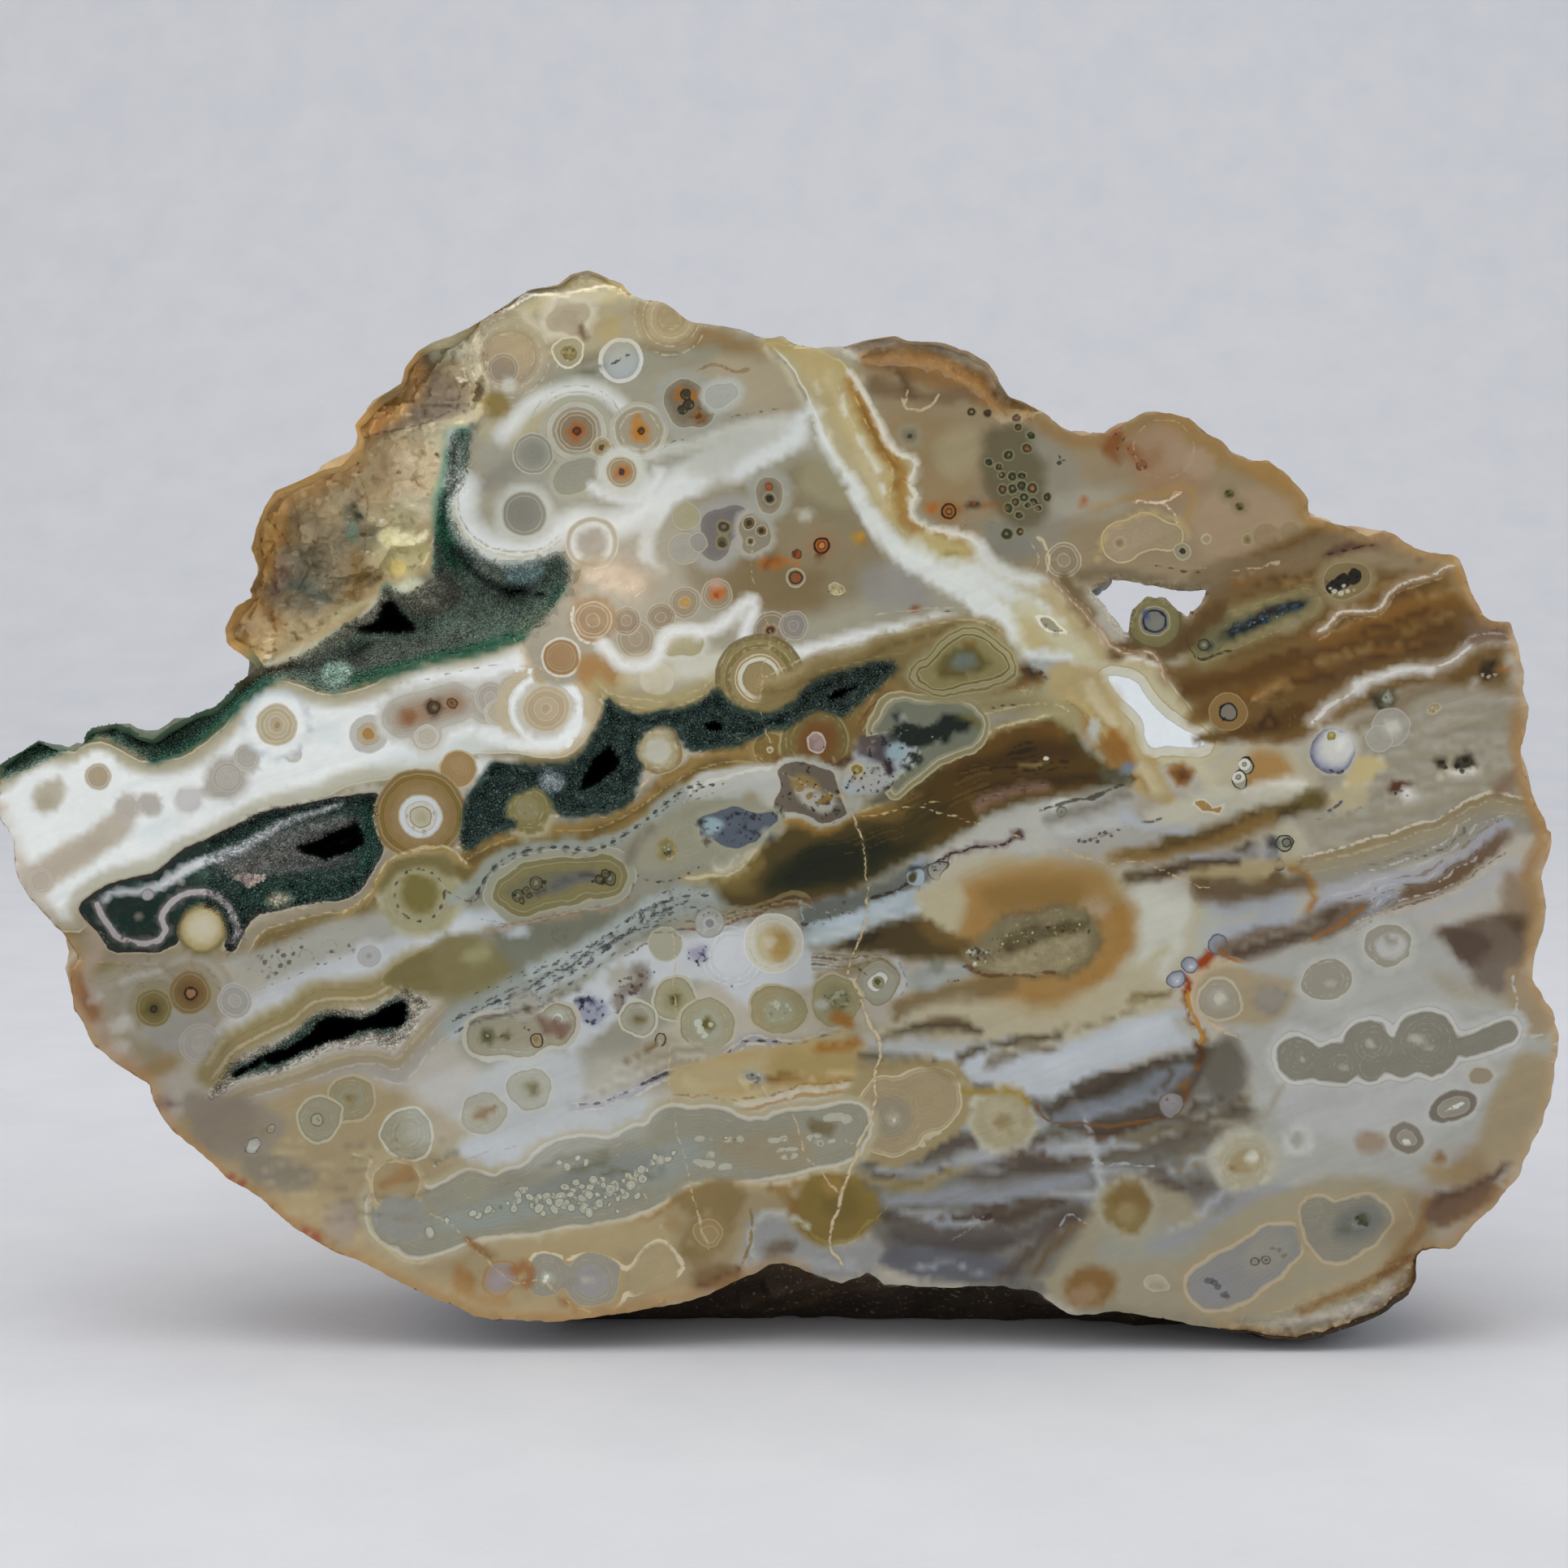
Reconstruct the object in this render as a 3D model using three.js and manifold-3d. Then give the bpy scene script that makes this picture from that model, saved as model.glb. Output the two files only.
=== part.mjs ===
// Ocean jasper: one thick chunk of orbicular chalcedony with a single cut and polished face.
// The face leans back a little, the outline is broken, the back is a rough rounded crust, and
// the chunk stands on one small flat spot behind the lower edge of the face.
//
// Millimetres, +Z up. +X runs to the right along the face and the face looks towards -Y.
// The face was surveyed on a square drawing of 1932 units: x to the right, y downwards.
import * as THREE from "three";
import { mergeVertices } from "three/addons/utils/BufferGeometryUtils.js";
import Module from "manifold-3d";

// ---- driving dimensions -------------------------------------------------------------------
const WIDTH = 220; // overall width of the cut face
const SURVEY_WIDTH = 1921; // the same width in survey units
const UNIT = WIDTH / SURVEY_WIDTH; // one survey unit
const MID_X = 960.5; // survey x of the face's middle
const GROUND_Y = 1668; // survey y of the ground line below the face
const LEAN = (5 * Math.PI) / 180; // the face leans back by this
const DEPTH = 56; // greatest thickness behind the face
const FLARE = 420; // sides and recesses open on rays that meet this far in front of the face
const FLARE_X = 966, FLARE_Y = 966; // survey point where those rays cross squarely
const SIDE_STEP = 30; // spacing of the points along the outline, in survey units
const ROUGH_STEP = 15; // spacing of the grid over the broken zones, in survey units
const SKIN = 1.2; // how far a cutter stands out in front of the face

// ---- the outline of the face, clockwise from the left tip ----------------------------------
const OUTLINE = [
  [0, 943], [48, 913], [90, 925], [114, 898], [163, 899], [189, 911], [239, 880], [282, 856],
  [320, 825], [316, 821], [300, 807], [280, 794], [278, 774], [290, 748], [316, 737], [308, 728],
  [320, 701], [310, 676], [316, 652], [326, 625], [339, 605], [366, 594], [396, 580], [422, 574],
  [439, 555], [438, 524], [469, 489], [495, 472], [499, 453], [515, 433], [558, 414], [582, 403],
  [601, 390], [641, 363], [688, 351], [704, 338], [724, 333], [753, 345], [776, 363], [812, 371],
  [849, 395], [892, 401], [938, 416], [965, 414], [1008, 429], [1038, 428], [1068, 419],
  [1103, 414], [1160, 422], [1193, 433], [1216, 445], [1228, 463], [1243, 489], [1289, 511],
  [1312, 529], [1332, 538], [1365, 535], [1408, 509], [1428, 507], [1465, 515], [1485, 533],
  [1508, 544], [1518, 559], [1564, 568], [1584, 582], [1611, 616], [1612, 638], [1654, 648],
  [1687, 661], [1717, 657], [1760, 681], [1798, 688], [1807, 713], [1827, 756], [1861, 766],
  [1871, 799], [1878, 829], [1883, 872], [1874, 921], [1876, 948], [1893, 991], [1908, 1031],
  [1900, 1080], [1904, 1133], [1890, 1183], [1889, 1206], [1913, 1246], [1921, 1289],
  [1911, 1355], [1900, 1385], [1870, 1451], [1840, 1488], [1787, 1539], [1747, 1543],
  [1745, 1577], [1697, 1621], [1631, 1646], [1565, 1649], [1518, 1640], [1452, 1628],
  [1376, 1615], [1316, 1620], [1283, 1593], [1233, 1585], [1155, 1586], [1089, 1583],
  [1069, 1568], [1036, 1581], [996, 1568], [949, 1558], [903, 1580], [848, 1603], [765, 1618],
  [699, 1627], [639, 1627], [583, 1621], [539, 1601], [466, 1566], [412, 1542], [352, 1505],
  [299, 1462], [259, 1432], [203, 1381], [183, 1336], [133, 1301], [113, 1286], [91, 1243],
  [87, 1195], [96, 1181], [73, 1145], [40, 1110], [18, 1065], [17, 1035], [0, 1012],
];

// ---- broken zones beside the polished face: outline, depth at full slope, slope length ------
const BROKEN = [
  // the golden broken shoulder at the upper left
  {
    deep: 9, run: 95, start: 0.8,
    edge: [
      [596, 330], [590, 420], [600, 470], [560, 520], [548, 560], [540, 640], [560, 690],
      [600, 728], [690, 706], [735, 705], [700, 745], [640, 785], [560, 800], [480, 830],
      [400, 832], [320, 850], [200, 830], [200, 520], [400, 330],
    ],
  },
  // a chipped brow above the vein
  {
    deep: 5, run: 40, start: 0.3,
    edge: [[1035, 380], [1040, 440], [1075, 455], [1120, 450], [1170, 462], [1215, 500], [1235, 530], [1275, 500], [1260, 380]],
  },
  // a flake off the lower right corner
  {
    deep: 4.5, run: 60, start: 0.2,
    edge: [[1760, 1530], [1690, 1575], [1600, 1612], [1520, 1628], [1480, 1700], [1800, 1700], [1830, 1560]],
  },
  // a shallow druse pocket right of the middle
  {
    deep: 2.6, run: 34, start: 0,
    edge: [[1183, 1175], [1223, 1165], [1243, 1119], [1302, 1117], [1345, 1142], [1347, 1165], [1332, 1188], [1299, 1203], [1259, 1203], [1223, 1200], [1193, 1188]],
  },
];

// ---- vugs: mouth outline, depth in mm, share of the mouth that is left at the bottom ---------
const VUGS = [
  { // upper left vug beneath the shoulder
    depth: 20, taper: 0.72,
    mouth: [[426, 771], [456, 764], [472, 731], [492, 748], [515, 764], [512, 781], [472, 784], [446, 779]],
  },
  { // left lens, shallow green floor
    depth: 2.2, taper: 0.9,
    mouth: [[94, 1118], [143, 1085], [192, 1075], [252, 1039], [325, 1001], [405, 986], [471, 977], [464, 999], [476, 1045], [461, 1072], [451, 1092], [421, 1108], [352, 1122], [318, 1127], [295, 1148], [288, 1175], [272, 1160], [249, 1120], [222, 1147], [230, 1176], [166, 1173], [136, 1173], [106, 1135]],
  },
  { depth: 15, taper: 0.6, mouth: [[365, 1039], [391, 1029], [418, 1019], [444, 1009], [449, 1039], [431, 1054], [398, 1065], [368, 1054]] },
  { // middle lens, shallow green floor
    depth: 2.2, taper: 0.9,
    mouth: [[569, 992], [606, 939], [665, 946], [705, 942], [728, 919], [747, 860], [785, 883], [838, 880], [881, 852], [937, 886], [930, 905], [878, 923], [845, 923], [815, 893], [784, 926], [791, 959], [752, 996], [685, 1002], [658, 968], [622, 992], [619, 1022], [576, 1049], [566, 1042]],
  },
  { depth: 14, taper: 0.6, mouth: [[758, 909], [760, 936], [752, 966], [717, 979], [713, 961], [738, 936]] },
  { // upper lens
    depth: 2.4, taper: 0.85,
    mouth: [[952, 884], [986, 863], [996, 843], [1032, 826], [1075, 816], [1102, 823], [1082, 840], [1062, 856], [1052, 876], [1040, 889], [1016, 876], [986, 876]],
  },
  { // long slot at the lower left
    depth: 22, taper: 0.7,
    mouth: [[285, 1323], [299, 1313], [335, 1296], [372, 1280], [392, 1256], [415, 1250], [455, 1253], [491, 1233], [504, 1236], [504, 1256], [491, 1266], [445, 1271], [405, 1286], [358, 1306], [319, 1314], [292, 1328]],
  },
];
// the one hole that goes right through, wider at the back
const THROUGH = [[1344, 728], [1369, 715], [1385, 715], [1418, 722], [1452, 728], [1486, 727], [1481, 742], [1462, 760], [1452, 752], [1435, 737], [1412, 735], [1395, 752], [1390, 781], [1385, 778], [1362, 748]];

// ---- small helpers -------------------------------------------------------------------------
const clamp = (x, a, b) => Math.min(b, Math.max(a, x));
const smooth = (a, b, x) => {
  const t = clamp((x - a) / (b - a), 0, 1);
  return t * t * (3 - 2 * t);
};
const mix = (a, b, t) => a + (b - a) * t;

// repeatable value noise in three dimensions, -1 to 1
function hash(i, j, k) {
  let h = (Math.imul(i, 374761393) + Math.imul(j, 668265263) + Math.imul(k, 2147483629)) | 0;
  h = Math.imul(h ^ (h >>> 13), 1274126177);
  return ((h ^ (h >>> 16)) >>> 0) / 2147483648 - 1;
}
function noise(x, y, z) {
  const i = Math.floor(x), j = Math.floor(y), k = Math.floor(z);
  const f = (t) => t * t * (3 - 2 * t);
  const a = f(x - i), b = f(y - j), c = f(z - k);
  const at = (p, q, r) => hash(i + p, j + q, k + r);
  return mix(
    mix(mix(at(0, 0, 0), at(1, 0, 0), a), mix(at(0, 1, 0), at(1, 1, 0), a), b),
    mix(mix(at(0, 0, 1), at(1, 0, 1), a), mix(at(0, 1, 1), at(1, 1, 1), a), b),
    c,
  );
}

// A survey point at a depth behind the face, in part coordinates before the final shift.
function place(x, y, w) {
  const k = 1 + w / FLARE;
  const u = (FLARE_X - MID_X + (x - FLARE_X) * k) * UNIT;
  const v = (GROUND_Y - FLARE_Y - (y - FLARE_Y) * k) * UNIT;
  return fromFace(u, v, w);
}
// Face coordinates (right, up along the face, into the stone) to part coordinates.
function fromFace(u, v, w) {
  return new THREE.Vector3(
    u,
    v * Math.sin(LEAN) + w * Math.cos(LEAN),
    v * Math.cos(LEAN) - w * Math.sin(LEAN),
  );
}

// Points spaced evenly along a closed outline.
function resample(points, step) {
  const path = new THREE.Path(points.map(([x, y]) => new THREE.Vector2(x, y)));
  path.closePath();
  const count = Math.round(path.getLength() / step);
  const out = path.getSpacedPoints(count).map((p) => [p.x, p.y]);
  out.pop();
  return out;
}

// The outline with its small teeth worn away.
function worn(points, times) {
  let out = points;
  for (let n = 0; n < times; n++)
    out = out.map((p, i) => {
      const a = out[(i + out.length - 1) % out.length], b = out[(i + 1) % out.length];
      return [(a[0] + 2 * p[0] + b[0]) / 4, (a[1] + 2 * p[1] + b[1]) / 4];
    });
  return out;
}

// Signed distance to a closed outline, positive inside, in survey units.
function inside(points, x, y) {
  let best = Infinity, odd = false;
  for (let i = 0, j = points.length - 1; i < points.length; j = i++) {
    const [ax, ay] = points[j], [bx, by] = points[i];
    const t = clamp(((x - ax) * (bx - ax) + (y - ay) * (by - ay)) / ((bx - ax) ** 2 + (by - ay) ** 2), 0, 1);
    best = Math.min(best, Math.hypot(x - ax - t * (bx - ax), y - ay - t * (by - ay)));
    if (ay > y !== by > y && x < ((bx - ax) * (y - ay)) / (by - ay) + ax) odd = !odd;
  }
  return odd ? best : -best;
}

const wasm = await Module();
wasm.setup();

// A closed solid through rings of equal count; both end rings are capped from their flat shape.
function loft(rings, firstShape, lastShape) {
  const n = rings[0].length, position = [], index = [];
  for (const ring of rings) for (const p of ring) position.push(p.x, p.y, p.z);
  for (let k = 0; k + 1 < rings.length; k++)
    for (let i = 0; i < n; i++) {
      const a = k * n + i, b = k * n + ((i + 1) % n), c = a + n, d = b + n;
      index.push(a, b, d, a, d, c);
    }
  const cap = (shape, offset, turn) => {
    for (const [a, b, c] of THREE.ShapeUtils.triangulateShape(shape.map(([x, y]) => new THREE.Vector2(x, y)), []))
      index.push(offset + a, offset + (turn ? c : b), offset + (turn ? b : c));
  };
  cap(firstShape, 0, true);
  cap(lastShape, (rings.length - 1) * n, false);
  return solid(position, index);
}

// A manifold solid from raw triangles, turned outwards if its volume is negative.
function solid(position, index) {
  let g = new THREE.BufferGeometry();
  g.setAttribute("position", new THREE.Float32BufferAttribute(position, 3));
  g.setIndex(index);
  g = mergeVertices(g, 1e-4);
  const make = (tri) => new wasm.Manifold(new wasm.Mesh({ numProp: 3, vertProperties: g.attributes.position.array, triVerts: tri }));
  const tri = new Uint32Array(g.index.array);
  let made = make(tri);
  if (made.volume() < 0) {
    for (let i = 0; i < tri.length; i += 3) [tri[i + 1], tri[i + 2]] = [tri[i + 2], tri[i + 1]];
    made = make(tri);
  }
  return made;
}

// ---- the chunk ------------------------------------------------------------------------------
// Depth at which the broken outline lies behind the plane of the face.
function brokenDepth(x, y) {
  let w = -SKIN;
  for (const zone of BROKEN) {
    const s = inside(zone.edge, x, y);
    if (s <= -60) continue;
    const bump = 1.3 * noise(x / 62, y / 62, 3) + 0.7 * noise(x / 29, y / 29, 7);
    const full = zone.start + zone.deep * (1 - Math.exp(-Math.max(0, s) / zone.run));
    w = Math.max(w, s > 0 ? Math.min(full + bump * smooth(0, 30, s), s * 0.5) : Math.max(-SKIN, s * 0.12));
  }
  return w;
}

function chunk() {
  const face = resample(OUTLINE, SIDE_STEP);
  const soft = worn(face, 14);
  const middle = [985, 1010];
  // share of the depth, and how far the side stands in or out there
  const profile = [
    [0, 1], [0.07, 1.012], [0.2, 1.02], [0.36, 1.0], [0.52, 0.955], [0.68, 0.875], [0.82, 0.76],
    [0.92, 0.62], [0.975, 0.46], [1, 0.28],
  ];
  const rings = profile.map(([share, grow], k) =>
    face.map(([x, y], i) => {
      const t = smooth(0, 0.4, share);
      const px = mix(x, soft[i][0], t), py = mix(y, soft[i][1], t);
      const out = k === 0 ? 1 : grow;
      const sx = middle[0] + (px - middle[0]) * out, sy = middle[1] + (py - middle[1]) * out;
      // thinner towards the left arm
      const thick = DEPTH * mix(0.72, 1, smooth(80, 900, sx)) * (1 + 0.06 * noise(sx / 260, sy / 260, 1));
      const lump = k === 0 ? 0 : 2.0 * noise(sx / 170, sy / 170, share * 4 + 9) + 0.9 * noise(sx / 70, sy / 70, share * 9 + 4);
      let w = share * thick + (k > 6 ? lump : 0);
      let u = (sx - MID_X) * UNIT, v = (GROUND_Y - sy) * UNIT;
      if (k > 0) {
        const r = Math.hypot(sx - middle[0], sy - middle[1]);
        u += ((sx - middle[0]) / r) * lump * 0.7;
        v -= ((sy - middle[1]) / r) * lump * 0.7;
      }
      // the underside sags to the small flat spot that the chunk stands on
      const foot = smooth(590, 690, x) * (1 - smooth(1440, 1560, x)) * smooth(1480, 1540, y);
      const reach = smooth(3, 10, w) * (1 - smooth(36, 47, w));
      const low = (-1.5 + w * Math.sin(LEAN)) / Math.cos(LEAN);
      v = mix(v, low, foot * reach);
      return fromFace(u, v, w);
    }),
  );
  const last = profile[profile.length - 1][1];
  return loft(rings, face, soft.map(([x, y]) => [middle[0] + (x - middle[0]) * last, middle[1] + (y - middle[1]) * last]));
}

// A cutter whose lower side follows the broken surface.
function brokenCutter(zone) {
  const xs = zone.edge.map((p) => p[0]), ys = zone.edge.map((p) => p[1]);
  const x0 = Math.min(...xs) - 20, x1 = Math.max(...xs) + 20;
  const y0 = Math.min(...ys) - 20, y1 = Math.max(...ys) + 20;
  const nx = Math.ceil((x1 - x0) / ROUGH_STEP), ny = Math.ceil((y1 - y0) / ROUGH_STEP);
  const grid = new THREE.PlaneGeometry(x1 - x0, y1 - y0, nx, ny);
  const p = grid.attributes.position, count = p.count;
  const position = [], index = [];
  for (let i = 0; i < count; i++) {
    const x = p.getX(i) + (x0 + x1) / 2, y = p.getY(i) + (y0 + y1) / 2;
    const q = place(x, y, Math.max(-SKIN, brokenDepth(x, y)));
    position.push(q.x, q.y, q.z);
  }
  for (let i = 0; i < count; i++) {
    const x = p.getX(i) + (x0 + x1) / 2, y = p.getY(i) + (y0 + y1) / 2;
    const q = place(x, y, -SKIN - 4);
    position.push(q.x, q.y, q.z);
  }
  const g = grid.index.array;
  for (let i = 0; i < g.length; i += 3) {
    index.push(g[i], g[i + 1], g[i + 2]);
    index.push(count + g[i], count + g[i + 2], count + g[i + 1]);
  }
  const rim = [];
  for (let i = 0; i <= nx; i++) rim.push(i);
  for (let j = 1; j <= ny; j++) rim.push(j * (nx + 1) + nx);
  for (let i = nx - 1; i >= 0; i--) rim.push(ny * (nx + 1) + i);
  for (let j = ny - 1; j > 0; j--) rim.push(j * (nx + 1));
  rim.forEach((a, i) => {
    const b = rim[(i + 1) % rim.length];
    index.push(a, b, count + b, a, count + b, count + a);
  });
  return solid(position, index);
}

// A tapering cutter below a mouth outline.
function vugCutter(mouth, steps) {
  const cx = mouth.reduce((s, p) => s + p[0], 0) / mouth.length;
  const cy = mouth.reduce((s, p) => s + p[1], 0) / mouth.length;
  const shape = (k) => mouth.map(([x, y]) => [cx + (x - cx) * k, cy + (y - cy) * k]);
  const rings = steps.map(([w, k]) => shape(k).map(([x, y]) => place(x, y, w)));
  return loft(rings, shape(steps[0][1]), shape(steps[steps.length - 1][1]));
}

let body = chunk();
for (const zone of BROKEN) body = body.subtract(brokenCutter(zone));
for (const { mouth, depth, taper } of VUGS)
  body = body.subtract(vugCutter(mouth, [[-SKIN, 1], [depth * 0.4, mix(1, taper, 0.3)], [depth * 0.8, mix(1, taper, 0.75)], [depth, taper * 0.9]]));
body = body.subtract(vugCutter(THROUGH, [[-SKIN, 1], [6, 1], [16, 1.15], [30, 1.35], [DEPTH + 14, 1.8]]));

// the flat spot: everything below the ground plane is cut away
const ground = new THREE.BoxGeometry(2 * WIDTH, 4 * DEPTH, 40);
ground.translate(0, DEPTH / 2, -20);
body = body.subtract(solid([...ground.attributes.position.array], [...ground.index.array]));

// keep the one large body, and drop any crumb that the cuts leave loose
const pieces = body.decompose().sort((a, b) => b.volume() - a.volume());
const cut = pieces[0].getMesh();
const geometry = new THREE.BufferGeometry();
geometry.setAttribute("position", new THREE.BufferAttribute(new Float32Array(cut.vertProperties), 3));
geometry.setIndex(new THREE.BufferAttribute(new Uint32Array(cut.triVerts), 1));

// origin at the middle of the footprint's box, on the ground
geometry.computeBoundingBox();
const box = geometry.boundingBox;
geometry.translate(-(box.min.x + box.max.x) / 2, -(box.min.y + box.max.y) / 2, -box.min.z);
geometry.computeVertexNormals();

const jasper = new THREE.Mesh(
  geometry,
  new THREE.MeshStandardMaterial({ color: 0xb9a98a, roughness: 0.35, metalness: 0 }),
);
jasper.name = "ocean_jasper";

const group = new THREE.Group();
group.name = "ocean_jasper_chunk";
group.add(jasper);
export default group;
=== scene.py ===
"""Looks of the ocean jasper chunk: a broken, druse-pocketed stone with one cut and polished face."""
import bpy
import mathutils
import mathutils.geometry
import math
import numpy as np
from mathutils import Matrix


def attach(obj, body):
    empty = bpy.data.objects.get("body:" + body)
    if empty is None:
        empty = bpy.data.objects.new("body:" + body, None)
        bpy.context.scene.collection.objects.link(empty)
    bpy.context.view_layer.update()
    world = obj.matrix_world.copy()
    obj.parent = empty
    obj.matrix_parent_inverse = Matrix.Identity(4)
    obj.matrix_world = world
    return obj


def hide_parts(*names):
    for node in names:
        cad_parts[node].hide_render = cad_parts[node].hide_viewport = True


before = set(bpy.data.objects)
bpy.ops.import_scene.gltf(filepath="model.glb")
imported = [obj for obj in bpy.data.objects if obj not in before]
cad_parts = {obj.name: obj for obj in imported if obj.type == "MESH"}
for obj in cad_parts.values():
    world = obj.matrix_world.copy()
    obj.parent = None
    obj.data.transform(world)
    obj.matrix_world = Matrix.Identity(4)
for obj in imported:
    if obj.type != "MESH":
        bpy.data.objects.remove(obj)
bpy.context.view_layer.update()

# =====================================================================================
#  Small maths: repeatable noise, signed distances
# =====================================================================================
def smooth(a, b, x):
    t = np.clip((x - a) / (b - a), 0.0, 1.0)
    return t * t * (3.0 - 2.0 * t)


def mix(a, b, t):
    return a + (b - a) * t


def hash3(i, j, k, seed=0):
    with np.errstate(over="ignore"):
        i = np.asarray(i, np.int64) & 0xFFFFFFFF
        j = np.asarray(j, np.int64) & 0xFFFFFFFF
        k = np.asarray(k, np.int64) & 0xFFFFFFFF
        h = (i * 374761393 + j * 668265263 + k * 2147483629 + seed * 40503) & 0xFFFFFFFF
        h = ((h ^ (h >> 13)) * 1274126177) & 0xFFFFFFFF
        return (h ^ (h >> 16)).astype(np.float64) / 2147483648.0 - 1.0


def noise3(x, y, z=0.0, seed=0):
    """Value noise, -1 to 1."""
    x, y, z = np.broadcast_arrays(np.asarray(x, float), np.asarray(y, float), np.asarray(z, float))
    i, j, k = np.floor(x), np.floor(y), np.floor(z)
    a, b, c = x - i, y - j, z - k
    a, b, c = a * a * (3 - 2 * a), b * b * (3 - 2 * b), c * c * (3 - 2 * c)
    i, j, k = i.astype(np.int64), j.astype(np.int64), k.astype(np.int64)
    at = lambda p, q, r: hash3(i + p, j + q, k + r, seed)
    lo = mix(mix(at(0, 0, 0), at(1, 0, 0), a), mix(at(0, 1, 0), at(1, 1, 0), a), b)
    hi = mix(mix(at(0, 0, 1), at(1, 0, 1), a), mix(at(0, 1, 1), at(1, 1, 1), a), b)
    return mix(lo, hi, c)


def noise2(x, y, seed=0):
    """Value noise in the plane, -1 to 1."""
    x, y = np.asarray(x, float), np.asarray(y, float)
    i, j = np.floor(x), np.floor(y)
    a, b = x - i, y - j
    a, b = a * a * (3 - 2 * a), b * b * (3 - 2 * b)
    i, j = i.astype(np.int64), j.astype(np.int64)
    at = lambda p, q: hash3(i + p, j + q, 11, seed)
    return mix(mix(at(0, 0), at(1, 0), a), mix(at(0, 1), at(1, 1), a), b)


def fbm2(x, y, octaves=3, seed=0):
    s, amp, tot = 0.0, 1.0, 0.0
    for o in range(octaves):
        s = s + amp * noise2(x * 2.03 ** o + 17.3 * o, y * 2.03 ** o - 9.1 * o, seed + o)
        tot += amp
        amp *= 0.5
    return s / tot


def fbm3(x, y, z, octaves=3, seed=0):
    s, amp, tot = 0.0, 1.0, 0.0
    for o in range(octaves):
        f = 2.03 ** o
        s = s + amp * noise3(x * f + 17.3 * o, y * f - 9.1 * o, z * f + 3.7 * o, seed + o)
        tot += amp
        amp *= 0.5
    return s / tot


def cells2(x, y, seed=0, jitter=0.9):
    """Nearest cell centre: first and second distance, and the cell's own numbers."""
    i0, j0 = np.floor(x).astype(np.int64), np.floor(y).astype(np.int64)
    f1 = np.full(np.shape(x), 9.0)
    f2 = np.full(np.shape(x), 9.0)
    ci, cj = np.zeros_like(i0), np.zeros_like(j0)
    dx1, dy1 = np.zeros(np.shape(x)), np.zeros(np.shape(x))
    for p in (-1, 0, 1):
        for q in (-1, 0, 1):
            i, j = i0 + p, j0 + q
            cx = i + 0.5 + 0.5 * jitter * hash3(i, j, 1, seed)
            cy = j + 0.5 + 0.5 * jitter * hash3(i, j, 2, seed)
            dx, dy = x - cx, y - cy
            d = np.hypot(dx, dy)
            near = d < f1
            f2 = np.where(near, f1, np.minimum(f2, d))
            ci, cj = np.where(near, i, ci), np.where(near, j, cj)
            dx1, dy1 = np.where(near, dx, dx1), np.where(near, dy, dy1)
            f1 = np.minimum(f1, d)
    return f1, f2, ci, cj, dx1, dy1


def cells3(x, y, z, seed=0, jitter=0.9):
    i0, j0, k0 = (np.floor(v).astype(np.int64) for v in (x, y, z))
    f1 = np.full(np.shape(x), 9.0)
    f2 = np.full(np.shape(x), 9.0)
    ids = [np.zeros_like(i0) for _ in range(3)]
    off = [np.zeros(np.shape(x)) for _ in range(3)]
    for p in (-1, 0, 1):
        for q in (-1, 0, 1):
            for r in (-1, 0, 1):
                c = (i0 + p, j0 + q, k0 + r)
                dd = [
                    v - (c[n] + 0.5 + 0.5 * jitter * hash3(c[0], c[1], c[2], seed + 5 * n + 1))
                    for n, v in enumerate((x, y, z))
                ]
                d = np.sqrt(dd[0] ** 2 + dd[1] ** 2 + dd[2] ** 2)
                near = d < f1
                f2 = np.where(near, f1, np.minimum(f2, d))
                for n in range(3):
                    ids[n] = np.where(near, c[n], ids[n])
                    off[n] = np.where(near, dd[n], off[n])
                f1 = np.minimum(f1, d)
    return f1, f2, ids, off


def chaikin(pts, times=2, closed=True):
    p = np.asarray(pts, float)
    for _ in range(times):
        q = np.roll(p, -1, 0) if closed else p[1:]
        a = p if closed else p[:-1]
        out = np.empty((2 * len(a), 2))
        out[0::2] = 0.75 * a + 0.25 * q
        out[1::2] = 0.25 * a + 0.75 * q
        if not closed:
            out = np.vstack([p[:1], out[0:], p[-1:]])
        p = out
    return p


class Shape:
    def __init__(self, f, box):
        self.f, self.box = f, box


def circ(x, y, r):
    return Shape(lambda P: r - np.hypot(P[:, 0] - x, P[:, 1] - y), (x - r, y - r, x + r, y + r))


def oval(x, y, a, b, deg=0.0):
    """deg turns the long axis up to the right."""
    c, s = math.cos(math.radians(deg)), -math.sin(math.radians(deg))
    m = max(a, b)

    def f(P):
        dx, dy = P[:, 0] - x, P[:, 1] - y
        u, v = dx * c + dy * s, -dx * s + dy * c
        k0 = np.hypot(u / a, v / b)
        k1 = np.hypot(u / a / a, v / b / b)
        return np.where(k1 < 1e-6, min(a, b), k0 * (1 - k0) / np.maximum(k1, 1e-6))

    return Shape(f, (x - m, y - m, x + m, y + m))


def caps(x0, y0, x1, y1, r0, r1=None):
    r1 = r0 if r1 is None else r1
    L2 = (x1 - x0) ** 2 + (y1 - y0) ** 2
    m = max(r0, r1)

    def f(P):
        t = np.clip(((P[:, 0] - x0) * (x1 - x0) + (P[:, 1] - y0) * (y1 - y0)) / L2, 0, 1)
        return r0 + (r1 - r0) * t - np.hypot(P[:, 0] - x0 - t * (x1 - x0), P[:, 1] - y0 - t * (y1 - y0))

    return Shape(f, (min(x0, x1) - m, min(y0, y1) - m, max(x0, x1) + m, max(y0, y1) + m))


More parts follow.
